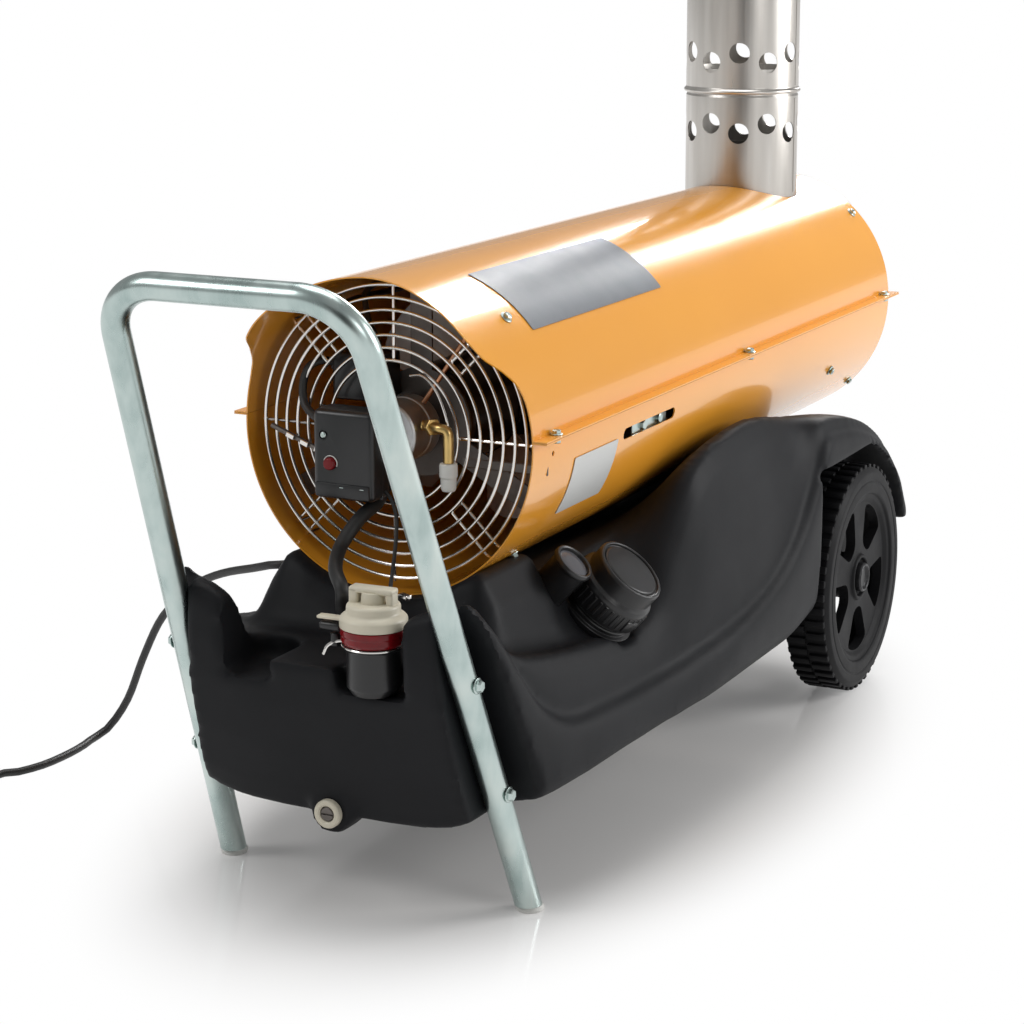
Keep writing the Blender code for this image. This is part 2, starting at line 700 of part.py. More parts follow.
outlet_outer = INNER_RADIUS - GAP
place("outlet_ring", turned("outlet_ring", [
    (outlet_outer, OUTLET_DEPTH), (outlet_outer, 0.0), (outlet_outer - SHEET, 0.0),
    (outlet_outer - SHEET, OUTLET_DEPTH - SHEET), (outlet_outer - OUTLET_LIP, OUTLET_DEPTH - SHEET),
    (outlet_outer - OUTLET_LIP, OUTLET_DEPTH)], 36, ring=True), ORANGE,
    at=(0.0, BARREL_LENGTH - OUTLET_DEPTH, BARREL_AXIS), turn=ALONG_Y)

# Inlet grille


def grille_wires():
    """Rings in one plane, and behind them the spokes and hairpins that carry them."""
    rings = []
    for i in range(GRILLE_RINGS):
        radius = GRILLE_RADIUS - WIRE - i * GRILLE_STEP
        sides = 22 if i < GRILLE_RINGS // 2 else 16
        shape = turned("ring", [
            (radius + WIRE * math.cos(a), WIRE * math.sin(a))
            for a in (math.pi / 2, 0.0, -math.pi / 2, math.pi)], sides, ring=True)
        rings.append((shape, Matrix.Identity(4)))
    inner = GRILLE_RADIUS - WIRE - (GRILLE_RINGS - 1) * GRILLE_STEP
    behind = 2 * WIRE - BITE
    supports = []
    for quarter in range(4):
        turn = Matrix.Rotation(quarter * math.pi / 2, 4, "Z")
        spoke = tube_mesh("spoke", [(inner - WIRE, 0.0, behind), (GRILLE_RADIUS, 0.0, behind)], WIRE, 0)
        supports.append((spoke, turn))
        near = GRILLE_RADIUS - HAIRPIN_REACH
        far = INNER_RADIUS - 2 * WIRE
        half = HAIRPIN_HALF_WIDTH
        bend = half * 0.45
        leg = [
            (far, half, behind + HAIRPIN_TAIL), (far, half, behind + bend), (far - bend, half, behind),
            (near + bend, half, behind), (near, half - bend, behind)]
        back = [(x, -y, z) for x, y, z in reversed(leg)]
        hairpin = tube_mesh("hairpin", leg + back, WIRE, 0)
        supports.append((hairpin, turn @ Matrix.Rotation(math.pi / 4, 4, "Z")))
    return gathered("grille_rings", rings), gathered("grille_supports", supports)


rings_mesh, supports_mesh = grille_wires()
grille_place = (0.0, GRILLE_SETBACK, BARREL_AXIS)
inlet_grille = place("inlet_grille", rings_mesh, WIRE_CHROME, at=grille_place, turn=ALONG_Y)
joined(inlet_grille, place("grille_supports", supports_mesh, at=grille_place, turn=ALONG_Y))

# Flue

flue_base = math.sqrt(INNER_RADIUS ** 2 - FLUE_RADIUS ** 2) + BARREL_AXIS - STUB_SHOULDER
inner_flue = FLUE_RADIUS - FLUE_SHEET
lower_flue_profile = [
    (inner_flue - GAP, FLUE_JOINT + FLUE_SPIGOT), (inner_flue - GAP, FLUE_JOINT - BEAD),
    (FLUE_RADIUS - GAP, FLUE_JOINT - 2 * BEAD),
    (FLUE_RADIUS - GAP, flue_base), (inner_flue - GAP, flue_base), (inner_flue - GAP, FLUE_JOINT - 3 * BEAD),
    (inner_flue - FLUE_SHEET - GAP, FLUE_JOINT - 2 * BEAD),
    (inner_flue - FLUE_SHEET - GAP, FLUE_JOINT + FLUE_SPIGOT)]
upper_flue_profile = [
    (FLUE_RADIUS, FLUE_TOP), (FLUE_RADIUS, FLUE_JOINT + 2 * BEAD), (FLUE_RADIUS + BEAD, FLUE_JOINT + BEAD),
    (FLUE_RADIUS + BEAD, FLUE_JOINT), (FLUE_RADIUS, FLUE_JOINT - BEAD / 2),
    (inner_flue + GAP, FLUE_JOINT - BEAD / 2), (inner_flue + GAP, FLUE_TOP)]


def draft_holes(name, height, side):
    """A row of draught holes, every other one a little higher."""
    pieces = []
    for i in range(DRAFT_HOLES):
        angle = math.radians(DRAFT_PHASE + 360.0 * i / DRAFT_HOLES)
        rise = DRAFT_STAGGER * (1 if i % 2 else -1) * side
        way = Vector((math.cos(angle), math.sin(angle), 0.0))
        spot = Vector((0.0, 0.0, height + rise)) + way * FLUE_RADIUS
        hole = drum("hole", DRAFT_HOLE_RADIUS, -OVERRUN / 3, OVERRUN / 3, 8)
        pieces.append((hole, frame_at(spot, way)))
    return place(name, gathered(name, pieces), at=(0.0, FLUE_PLACE, 0.0))


flue_lower = place("flue_pipe_lower", turned("flue_pipe_lower", lower_flue_profile, 32, ring=True), STAINLESS,
                   at=(0.0, FLUE_PLACE, 0.0))
flue_upper = place("flue_pipe_upper", turned("flue_pipe_upper", upper_flue_profile, 32, ring=True), STAINLESS,
                   at=(0.0, FLUE_PLACE, 0.0))
cut(flue_lower, draft_holes("lower_draft_holes", FLUE_JOINT - DRAFT_ROW_OFFSET, -1))
cut(flue_upper, draft_holes("upper_draft_holes", FLUE_JOINT + DRAFT_ROW_OFFSET, 1))

# Heat exchanger and combustion chamber

axis_at = (0.0, 0.0, BARREL_AXIS)
exchanger_inner = EXCHANGER_RADIUS - SHEET
exchanger = place("heat_exchanger", turned("heat_exchanger", [
    (0.0, EXCHANGER_REAR), (EXCHANGER_RADIUS * 0.8, EXCHANGER_REAR - SHEET),
    (EXCHANGER_RADIUS, EXCHANGER_REAR - 8 * SHEET), (EXCHANGER_RADIUS, EXCHANGER_FRONT),
    (CHAMBER_RADIUS + GAP, EXCHANGER_FRONT),
    (CHAMBER_RADIUS + GAP, EXCHANGER_FRONT + SHEET), (exchanger_inner, EXCHANGER_FRONT + SHEET),
    (exchanger_inner, EXCHANGER_REAR - 9 * SHEET), (0.0, EXCHANGER_REAR - 3 * SHEET)], HOT_SIDES), DARK_STEEL,
    at=axis_at, turn=ALONG_Y)
stub_base = BARREL_AXIS + math.sqrt(exchanger_inner ** 2 - STUB_RADIUS ** 2)
stub = place("flue_stub", turned("flue_stub", [
    (STUB_RADIUS, STUB_TOP), (STUB_RADIUS, flue_base - GAP), (FLUE_RADIUS, flue_base - GAP),
    (FLUE_RADIUS, flue_base - GAP - STUB_SHOULDER), (STUB_RADIUS, flue_base - GAP - STUB_SHOULDER),
    (STUB_RADIUS, stub_base), (STUB_RADIUS - SHEET, stub_base), (STUB_RADIUS - SHEET, STUB_TOP)],
    HOT_SIDES, ring=True), at=(0.0, FLUE_PLACE, 0.0))
stub_bore = place("stub_bore", drum("stub_bore", STUB_RADIUS - SHEET, BARREL_AXIS, STUB_TOP - SHEET,
    HOT_SIDES),
                  at=(0.0, FLUE_PLACE, 0.0))
joined(exchanger, stub)
cut(exchanger, stub_bore)

chamber_rear = CHAMBER_FRONT + CHAMBER_LENGTH
place("combustion_chamber", turned("combustion_chamber", [
    (CHAMBER_RADIUS, chamber_rear), (CHAMBER_RADIUS, CHAMBER_FRONT), (BURNER_RADIUS + GAP, CHAMBER_FRONT),
    (BURNER_RADIUS + GAP, CHAMBER_FRONT + SHEET), (CHAMBER_RADIUS - SHEET, CHAMBER_FRONT + SHEET),
    (CHAMBER_RADIUS - SHEET, chamber_rear)], HOT_SIDES, ring=True), DARK_STEEL, at=axis_at, turn=ALONG_Y)


def spider(name, along):
    """A ring round the heat exchanger with legs that reach the barrel's wall."""
    ring = place(name, turned(name, [
        (EXCHANGER_RADIUS + GAP + STRUT_SHEET, SUPPORT_WIDTH), (EXCHANGER_RADIUS + GAP + STRUT_SHEET, 0.0),
        (EXCHANGER_RADIUS + GAP, 0.0), (EXCHANGER_RADIUS + GAP, SUPPORT_WIDTH)], HOT_SIDES, ring=True),
        DARK_STEEL,
        at=(0.0, along, BARREL_AXIS), turn=ALONG_Y)
    base = EXCHANGER_RADIUS + STRUT_SHEET / 2
    tip = math.sqrt((INNER_RADIUS - 2 * GAP) ** 2 - (SUPPORT_SPREAD / 2) ** 2) - GAP
    leg = block("leg", (tip - base, SUPPORT_SPREAD, SUPPORT_WIDTH - GAP),
        ((tip + base) / 2, 0.0, SUPPORT_WIDTH / 2))
    legs = gathered(name + "_legs", [
        (leg, Matrix.Rotation(math.radians(-degrees), 4, "Z")) for degrees in support_angles])
    joined(ring, place(name + "_legs", legs, at=(0.0, along, BARREL_AXIS), turn=ALONG_Y))


spider("chamber_support_front", support_places[0])
spider("chamber_support_rear", support_places[1])

# Burner

place("burner_tube", turned("burner_tube", [
    (BURNER_RADIUS, BURNER_REAR), (BURNER_RADIUS, CHAMBER_FRONT - GAP), (BURNER_FLANGE, CHAMBER_FRONT - GAP),
    (BURNER_FLANGE, CHAMBER_FRONT - GAP - BURNER_FLANGE_THICK),
    (BURNER_RADIUS, CHAMBER_FRONT - GAP - BURNER_FLANGE_THICK), (BURNER_RADIUS, BURNER_FRONT),
    (BURNER_RADIUS - BURNER_WALL, BURNER_FRONT), (BURNER_RADIUS - BURNER_WALL, BURNER_REAR)], HOT_SIDES,
    ring=True),
    DARK_STEEL, at=axis_at, turn=ALONG_Y)
disc_outer = BURNER_RADIUS - BURNER_WALL - GAP
place("flame_disc", turned("flame_disc", [
    (disc_outer, DISC_THICK), (disc_outer, 0.0), (DISC_BORE, 0.0), (DISC_BORE, DISC_THICK)], HOT_SIDES,
    ring=True),
    DARK_STEEL, at=(0.0, DISC_PLACE, BARREL_AXIS), turn=ALONG_Y)
nozzle_front = DISC_PLACE - GAP - NOZZLE_LENGTH
nozzle_collar = DISC_BORE + BURNER_WALL
place("fuel_nozzle", turned("fuel_nozzle", [
    (0.0, NOZZLE_LENGTH + DISC_THICK), (NOZZLE_RADIUS / 2, NOZZLE_LENGTH), (nozzle_collar, NOZZLE_LENGTH),
    (nozzle_collar, NOZZLE_LENGTH - DISC_THICK), (NOZZLE_RADIUS, NOZZLE_LENGTH - 2 * DISC_THICK),
    (NOZZLE_RADIUS, 0.0), (0.0, 0.0)], 12), BRASS, at=(0.0, nozzle_front, BARREL_AXIS), turn=ALONG_Y)
electrode_holder = nozzle_front + NOZZLE_LENGTH / 4
holder_base = NOZZLE_RADIUS + GAP
holder_top = holder_base + 4 * ELECTRODE_RADIUS
electrodes = place("electrodes", block("electrodes", (
    2 * ELECTRODE_SPREAD + 6 * ELECTRODE_RADIUS, NOZZLE_LENGTH / 3, holder_top - holder_base),
    (0.0, 0.0, (holder_top + holder_base) / 2)), WHITE, at=(0.0, electrode_holder, BARREL_AXIS))
rod_reach = DISC_PLACE - GAP - electrode_holder
rods = gathered("electrode_rods", [
    (drum("rod", ELECTRODE_RADIUS, rod_reach - ELECTRODE_LENGTH, rod_reach, 8),
     Matrix.Translation((side * ELECTRODE_SPREAD, -(holder_top + holder_base) / 2, 0.0)))
     for side in (-1, 1)])
joined(electrodes, place("electrode_rods", rods, at=(0.0, electrode_holder, BARREL_AXIS), turn=ALONG_Y))

# Fuel tank: half outlines along the machine, as shares of the length, the half width and the height

tank_stations_shares = (
    0.0, 0.02, 0.035, 0.05, 0.075, 0.10, 0.115, 0.125, 0.15, 0.175, 0.20, 0.235, 0.26, 0.30, 0.33, 0.365,
    0.39, 0.42, 0.45, 0.49, 0.53, 0.58, 0.615, 0.66, 0.70, 0.735, 0.80, 0.855, 0.92, 0.97, 1.0)
tower_shares = (0.125, 0.235)
keel_shares = ((0.0, 0.53, 0.235), (0.62, 0.53, 0.235), (0.74, 0.53, 0.31), (1.0, 0.53, 0.31))
belly_shares = ((0.0, 0.62, 0.275), (0.62, 0.64, 0.275), (0.74, 0.64, 0.335), (1.0, 0.64, 0.335))
flank_low_shares = (
    (0.0, 0.80, 0.33), (0.05, 0.85, 0.33), (0.14, 0.905, 0.33), (0.30, 0.94, 0.33), (0.45, 0.985, 0.33),
    (0.62, 0.985, 0.33), (0.74, 0.985, 0.37), (1.0, 0.97, 0.37))
rim_shares = (
    (0.0, 0.70, 0.80), (0.02, 0.73, 0.82), (0.05, 0.765, 0.75), (0.075, 0.79, 0.65), (0.105, 0.82, 0.54),
    (0.14, 0.85, 0.475), (0.16, 0.863, 0.455), (0.20, 0.88, 0.445), (0.265, 0.895, 0.437),
    (0.33, 0.91, 0.432),
    (0.405, 0.945, 0.445), (0.49, 0.975, 0.467), (0.565, 0.985, 0.503), (0.615, 0.985, 0.55),
    (0.66, 0.985, 0.63), (0.70, 0.985, 0.75), (0.735, 0.985, 0.86), (0.80, 0.985, 0.845),
    (0.855, 0.985, 0.81),
    (0.92, 0.985, 0.735), (0.97, 0.985, 0.62), (1.0, 0.97, 0.52))
ledge_shares = (
    (0.0, 0.60, 0.80), (0.02, 0.62, 0.82), (0.05, 0.66, 0.755), (0.075, 0.72, 0.70), (0.105, 0.76, 0.66),
    (0.175, 0.763, 0.625), (0.25, 0.773, 0.593), (0.33, 0.79, 0.566), (0.365, 0.815, 0.60),
    (0.39, 0.84, 0.65),
    (0.45, 0.88, 0.78), (0.55, 0.90, 0.82), (0.64, 0.88, 0.84), (0.70, 0.87, 0.88), (0.735, 0.87, 0.91),
    (0.855, 0.90, 0.845), (0.92, 0.90, 0.765), (0.97, 0.90, 0.66), (1.0, 0.89, 0.565))
brow_shares = (
    (0.0, 0.50, 0.79), (0.02, 0.50, 0.81), (0.05, 0.58, 0.70), (0.075, 0.64, 0.66), (0.105, 0.68, 0.64),
    (0.175, 0.70, 0.60), (0.25, 0.71, 0.575), (0.33, 0.72, 0.56), (0.365, 0.75, 0.62), (0.39, 0.77, 0.72),
    (0.45, 0.80, 0.93), (0.50, 0.80, 0.985), (0.58, 0.79, 1.0), (0.64, 0.775, 0.985), (0.70, 0.76, 0.945),
    (0.735, 0.76, 0.92), (0.855, 0.80, 0.85), (0.92, 0.80, 0.77), (0.97, 0.80, 0.665), (1.0, 0.80, 0.57))
well_shares = (
    (0.0, 0.42, 0.77), (0.02, 0.42, 0.78), (0.05, 0.50, 0.66), (0.075, 0.56, 0.642), (0.105, 0.60, 0.63),
    (0.175, 0.62, 0.59), (0.25, 0.63, 0.57), (0.33, 0.64, 0.57), (0.365, 0.66, 0.65), (0.39, 0.68, 0.76),
    (0.45, 0.70, 0.92), (0.58, 0.70, 0.955), (0.70, 0.68, 0.90), (0.855, 0.72, 0.80), (0.92, 0.72, 0.74),
    (0.97, 0.70, 0.65), (1.0, 0.70, 0.565))
saddle_shares = (
    (0.0, 0.30, 0.755), (0.02, 0.30, 0.755), (0.05, 0.37, 0.645), (0.10, 0.45, 0.645), (0.125, 0.50, 0.86),
    (0.235, 0.50, 0.86), (0.26, 0.52, 0.80), (0.58, 0.55, 0.79), (0.855, 0.55, 0.76), (0.92, 0.54, 0.70),
    (1.0, 0.50, 0.56))
flank_high_shares = (0.03, -0.06)       # from the rim, outwards and upwards
groove_shares = (-0.055, -0.005)
panel_shares = (-0.045, 0.035)
chine_shares = (-0.05, -0.035)          # from the flank's lower edge


def along_tank(stops, share):
    """Out and up shares of one feature line."""
    return [glide([(stop[0], stop[i]) for stop in stops], share) for i in (1, 2)]


def beside(line, shares):
    return [line[0] + shares[0], line[1] + shares[1]]


def raked(along, height):
    """The front leans: lower points lie further back."""
    depth = np.clip((RAKE_HIGH - height) / (RAKE_HIGH - RAKE_LOW), 0.0, 1.0)
    fade = max(0.0, 1.0 - (along - TANK_FRONT) / RAKE_LENGTH)
    return along + FRONT_RAKE * float(depth) * fade


def saddle_height(share, x, height):
    """Under the barrel the tank stays clear of it, and at the tower it bites into it before the cut."""
    under = BARREL_AXIS - math.sqrt(BARREL_RADIUS ** 2 - x ** 2)
    if tower_shares[0] <= share <= tower_shares[1]:
        return under + TOWER_BITE
    return min(height, under - SADDLE_CLEARANCE)


def tank_section(share):
    """Half outline at one station, from the middle of the bottom round to the middle of the top."""
    along = TANK_FRONT + share * TANK_LENGTH
    keel = along_tank(keel_shares, share)
    flank_low = along_tank(flank_low_shares, share)
    rim = along_tank(rim_shares, share)
    flank_high = beside(rim, flank_high_shares)
    flank_high[0] = min(flank_high[0], 1.0)
    flank_mid = [(low + high) / 2 for low, high in zip(flank_low, flank_high)]
    lines = [
        [0.0, keel[1]], keel, along_tank(belly_shares, share), beside(flank_low, chine_shares), flank_low,
        flank_mid, flank_high, rim, beside(rim, groove_shares), beside(rim, panel_shares),
        along_tank(ledge_shares, share), along_tank(brow_shares, share), along_tank(well_shares, share)]
    points = [(out * TANK_HALF_WIDTH, up * TANK_HEIGHT) for out, up in lines]
    side, height = along_tank(saddle_shares, share)
    for part in (1.0, 0.5, 0.0):
        x = part * side * TANK_HALF_WIDTH
        points.append((x, saddle_height(share, x, height * TANK_HEIGHT)))
    return [(x, raked(along, z), z) for x, z in points]


def tank_mesh():
    shape = bmesh.new()
    sections = [tank_section(share) for share in tank_stations_shares]
    half = len(sections[0])
    rings = []
    for section in sections:
        right = [shape.verts.new(point) for point in section]
        left = [shape.verts.new(mirrored_x(point)) for point in section[1:-1]]
        rings.append((right, [right[0], *left, right[-1]]))
    for near, far in zip(rings, rings[1:]):
        for row, next_row in zip(near, far):
            for i in range(half - 1):
                shape.faces.new((row[i], row[i + 1], next_row[i + 1], next_row[i]))
    for section, ring in ((sections[0], rings[0]), (sections[-1], rings[-1])):
        close_end(shape, section, ring, half)
    bmesh.ops.recalc_face_normals(shape, faces=shape.faces)
    return mesh_of("fuel_tank", shape)


def close_end(shape, section, ring, half):
    """An end wall in two rows, with a middle row where the rake begins."""
    columns = [(i, half - 1 - i) for i in range(4)]
    share = 0.7
    middles = []
    for low, high in columns:
        bottom = Vector(section[low])
        top = Vector(section[high])
        height = min(RAKE_HIGH, bottom.z + share * (top.z - bottom.z))
        spot = bottom.lerp(top, (height - bottom.z) / (top.z - bottom.z))
        spot.y = raked(top.y, height) if section[0][1] < 0.0 else top.y
        spot.z = height
        middles.append(spot)
    centre = shape.verts.new(middles[0])
    for side, row in zip((1, -1), ring):
        column = [centre] + [shape.verts.new((side * spot.x, spot.y, spot.z)) for spot in middles[1:]]
        for i in range(3):
            low, high = columns[i]
            shape.faces.new((row[low], row[low + 1], column[i + 1], column[i]))
            shape.faces.new((column[i], column[i + 1], row[high - 1], row[high]))
        last_low, last_high = columns[-1]
        shape.faces.new((row[last_low], row[last_low + 1], row[last_low + 2], column[-1]))
        shape.faces.new((column[-1], row[last_low + 2], row[last_high - 1], row[last_high]))
        shape.faces.new([row[i] for i in range(last_low + 2, last_high)])


fuel_tank = place("fuel_tank", tank_mesh(), TANK_BLACK)

# Tank: bosses, channels, arches, scoops and bores

barrel_bed = place("barrel_bed", drum("barrel_bed", BARREL_RADIUS + GAP, -OVERRUN, BARREL_LENGTH + OVERRUN,
    56),
                   at=axis_at, turn=ALONG_Y)


def reflected(mesh):
    """The mesh mirrored in the plane of symmetry, still facing outwards."""
    shape = bmesh.new()
    shape.from_mesh(mesh)
    bmesh.ops.scale(shape, vec=(-1.0, 1.0, 1.0), verts=shape.verts)
    bmesh.ops.reverse_faces(shape, faces=shape.faces)
    return mesh_of(mesh.name, shape)


def both_sides(name, mesh, matrix):
    """A cutter for the right side and its mirror image for the left."""
    right = gathered(name, [(mesh, matrix)])
    still = Matrix.Identity(4)
    return place(name, gathered(name, [(right, still), (reflected(right), still)]))


def sides_from(low, high, centre):
    """A box between two corners, given as sizes round a centre."""
    size = [b - a for a, b in zip(low, high)]
    middle = [(a + b) / 2 + c for a, b, c in zip(low, high, centre)]
    return block("box", size, middle)


leg_foot = Vector((FOOT_SPREAD, FOOT_PLACE, 0.0))
leg_top = Vector((TOP_SPREAD, TOP_PLACE, TOP_HEIGHT))


def on_leg(height):
    """The right leg's middle at a height."""
    return leg_foot.lerp(leg_top, height / TOP_HEIGHT)


leg_way = (leg_top - leg_foot).normalized()
leg_out = (Vector((1.0, 0.0, 0.0)) - leg_way * leg_way.x).normalized()
leg_back = leg_way.cross(leg_out)
leg_frame = Matrix((leg_out, leg_back, leg_way)).transposed().to_4x4()
leg_frame.translation = leg_foot
channel = sides_from((-TUBE_RADIUS - GAP, -TANK_HALF_WIDTH, -OVERRUN),
                     (TANK_HALF_WIDTH, CHANNEL_BEHIND_LEG, TOP_HEIGHT), (0.0, 0.0, 0.0))
leg_channels = both_sides("leg_channels", channel, leg_frame)

arch_radius = WHEEL_RADIUS + ARCH_CLEARANCE
arch_top = WHEEL_RADIUS + arch_radius
arch_out = TANK_HALF_WIDTH + OVERRUN


def arch_outline():
    """Side view (y, z) of a wheel arch: upright in front, round over the wheel, level behind it."""
    low = -OVERRUN
    points = [(ARCH_FRONT, low), (ARCH_FRONT, arch_top), (WHEEL_PLACE, arch_top)]
    end = math.asin((ARCH_REAR_HEIGHT - WHEEL_RADIUS) / arch_radius)
    for i in range(1, 11):
        angle = math.pi / 2 + (end - math.pi / 2) * i / 10
        points.append((WHEEL_PLACE + arch_radius * math.cos(angle),
            WHEEL_RADIUS + arch_radius * math.sin(angle)))
    rear = TANK_FRONT + TANK_LENGTH + OVERRUN
    return points + [(rear, ARCH_REAR_HEIGHT), (rear, low)]


def extruded_along_x(name, outline, low, high):
    """A (y, z) outline carried from one x to another."""
    shape = bmesh.new()
    ends = [[shape.verts.new((x, y, z)) for y, z in outline] for x in (low, high)]
    for end in ends:
        shape.faces.new(end)
    count = len(outline)
    for i in range(count):
        shape.faces.new((ends[0][i], ends[0][(i + 1) % count], ends[1][(i + 1) % count], ends[1][i]))
    bmesh.ops.recalc_face_normals(shape, faces=shape.faces)
    return mesh_of(name, shape)


still = Matrix.Identity(4)
wheel_arches = both_sides("wheel_arches", extruded_along_x("arch", arch_outline(), ARCH_WALL, arch_out),
    still)

groove_half = AXLE_RADIUS + AXLE_PLAY
groove = [(WHEEL_PLACE - groove_half, 0.0)]
for i in range(9):
    angle = math.pi - math.pi * i / 8
    groove.append((WHEEL_PLACE + groove_half * math.cos(angle), WHEEL_RADIUS + groove_half * math.sin(angle)))
groove.append((WHEEL_PLACE + groove_half, 0.0))
axle_groove = place("axle_groove", extruded_along_x("axle_groove", groove, -arch_out, arch_out))

filter_at = (FILTER_X, TANK_FRONT + SCOOP_RIGHT_DEPTH)


def scoop_outline(radius, depth):
    """Plan of a scoop: round at the back, open to the front."""
    front = -OVERRUN - depth
    points = [(-radius, front), (radius, front)]
    for i in range(13):
        angle = math.pi * i / 12
        points.append((radius * math.cos(angle), radius * math.sin(angle)))
    return points


def extruded_up(name, outline, low, high):
    shape = bmesh.new()
    floor = shape.faces.new([shape.verts.new((x, y, low)) for x, y in outline])
    walls = bmesh.ops.extrude_face_region(shape, geom=[floor])["geom"]
    lifted = [piece for piece in walls if isinstance(piece, bmesh.types.BMVert)]
    bmesh.ops.translate(shape, vec=(0.0, 0.0, high - low), verts=lifted)
    bmesh.ops.recalc_face_normals(shape, faces=shape.faces)
    return mesh_of(name, shape)


scoops = place("scoops", gathered("scoops", [
    (extruded_up("scoop", scoop_outline(radius, depth), SCOOP_FLOOR, TANK_HEIGHT),
     Matrix.Translation((x, TANK_FRONT + depth, 0.0)))
    for x, radius, depth in ((SCOOP_RIGHT, SCOOP_RIGHT_RADIUS, SCOOP_RIGHT_DEPTH),
                             (SCOOP_LEFT, SCOOP_LEFT_RADIUS, SCOOP_LEFT_DEPTH))]))
pad_notch = place("pad_notch", sides_from(
    (PAD_LEFT, TANK_FRONT - OVERRUN, PAD_HEIGHT), (PAD_RIGHT, PAD_BACK, TANK_HEIGHT), (0.0, 0.0, 0.0)))

filler_turn = Matrix.Rotation(math.radians(FILLER_LEAN), 4, "Y")
filler_frame = Matrix.Translation(FILLER_BASE) @ filler_turn
filler_spin = (0.0, math.radians(FILLER_LEAN), 0.0)
filler_seat = place("filler_seat", gathered("filler_seat", [
    (drum("seat", FILLER_SEAT, 0.0, TANK_HEIGHT / 2, 32), filler_frame)]))
filler_boss = place("filler_boss", gathered("filler_boss", [
    (drum("boss", FILLER_SEAT - BITE, -FILLER_BOSS, OVERRUN / 3, 32), filler_frame)]))
filler_bore = place("filler_bore", gathered("filler_bore", [
    (drum("bore", FILLER_BORE, -FILLER_DEPTH, OVERRUN, 24), filler_frame)]))
gauge_frame = Matrix.Translation(GAUGE_TOP) @ filler_turn
gauge_bore = place("gauge_bore", gathered("gauge_bore", [
    (drum("bore", GAUGE_RADIUS + GAP, -GAUGE_HEIGHT - GAP, OVERRUN, 24), gauge_frame)]))

drain_front = TANK_FRONT + FRONT_RAKE - DRAIN_PROUD
drain_boss = place("drain_boss", drum("drain_boss", DRAIN_RADIUS, drain_front, drain_front + DRAIN_DEPTH, 24),
                   at=(0.0, 0.0, DRAIN_HEIGHT), turn=ALONG_Y)
drain_bore = place("drain_bore", drum(
    "drain_bore", DRAIN_BORE, drain_front - OVERRUN, drain_front + DRAIN_DEPTH, 16),
    at=(0.0, 0.0, DRAIN_HEIGHT), turn=ALONG_Y)

bolt_spots = [on_leg(height) for height in bolt_heights]
bolt_hole = drum("bolt_hole", BOLT_SHANK + BOLT_PLAY, TUBE_RADIUS - BOLT_LENGTH - BOLT_PLAY, 2 * TUBE_RADIUS,
    10)
bolt_holes = place("bolt_holes", gathered("bolt_holes", [
    (reflected(gathered("hole", [(bolt_hole, frame_at(spot, (1.0, 0.0, 0.0)))])) if side < 0 else
     gathered("hole", [(bolt_hole, frame_at(spot, (1.0, 0.0, 0.0)))]), still)
    for spot in bolt_spots for side in (-1, 1)]))

seat_height = BARREL_AXIS - BARREL_RADIUS - SADDLE_CLEARANCE - STAND_SEAT
stand_seat = place("stand_seat", sides_from(
    (-STAND_FOOT - GAP, STAND_PLACE - STAND_WIDTH / 2 - GAP, seat_height),
    (STAND_FOOT + GAP, STAND_PLACE + STAND_WIDTH / 2 + GAP, BARREL_AXIS), (0.0, 0.0, 0.0)))
joined(fuel_tank, filler_boss, drain_boss)
cut(fuel_tank, barrel_bed, leg_channels, wheel_arches, axle_groove, scoops, pad_notch, filler_seat,
    filler_bore,
    gauge_bore, drain_bore, bolt_holes, stand_seat)

# Handle that is also the front stand


def handle_route():
    """Middle line of the tube: up the left leg, across, down the right leg."""
    corner = leg_top
    across = Vector((-1.0, 0.0, 0.0))
    turn_angle = leg_way.angle(across)
    setback = HANDLE_BEND * math.tan(turn_angle / 2)
    start = corner - leg_way * setback
    inward = (across - leg_way * across.dot(leg_way)).normalized()
    centre = start + inward * HANDLE_BEND
    right = [leg_foot - leg_way * OVERRUN]
    for i in range(9):
        angle = turn_angle * i / 8
        right.append(centre - inward * HANDLE_BEND * math.cos(angle) + leg_way * HANDLE_BEND * math.sin(angle))
    return right + [Vector(mirrored_x(point)) for point in reversed(right)]


handle = place("handle", tube_mesh("handle", handle_route(), TUBE_RADIUS, 4), ZINC)
floor_cut = place("floor_cut", sides_from(
    (-TANK_HALF_WIDTH, -TANK_HALF_WIDTH, -2 * OVERRUN), (TANK_HALF_WIDTH, TANK_HALF_WIDTH, FOOT_PLUG + GAP),
    (0.0, 0.0, 0.0)))
cut(handle, floor_cut, bolt_holes)
for side, word in ((-1, "left"), (1, "right")):
    foot = leg_foot.lerp(leg_top, FOOT_PLUG / TOP_HEIGHT)
    place("foot_plug_" + word, drum("foot_plug", TUBE_RADIUS + FOOT_PLUG / 2, 0.0, FOOT_PLUG, 20,
        TUBE_RADIUS),
          RUBBER, at=(side * foot.x, foot.y, 0.0))
    for spot, level in zip(bolt_spots, ("lower", "upper")):
        bolt = place("handle_bolt_%s_%s" % (level, word), turned("bolt", [
            (0.0, TUBE_RADIUS + GAP + BOLT_HEAD_HEIGHT), (BOLT_HEAD, TUBE_RADIUS + GAP + BOLT_HEAD_HEIGHT),
            (BOLT_HEAD, TUBE_RADIUS + GAP), (BOLT_SHANK, TUBE_RADIUS + GAP),
            (BOLT_SHANK, TUBE_RADIUS - BOLT_LENGTH),
            (0.0, TUBE_RADIUS - BOLT_LENGTH)], 6 * 2), ZINC, at=(side * spot.x, spot.y, spot.z),
            turn=(0.0, side * math.pi / 2, 0.0))

# Axle and wheels

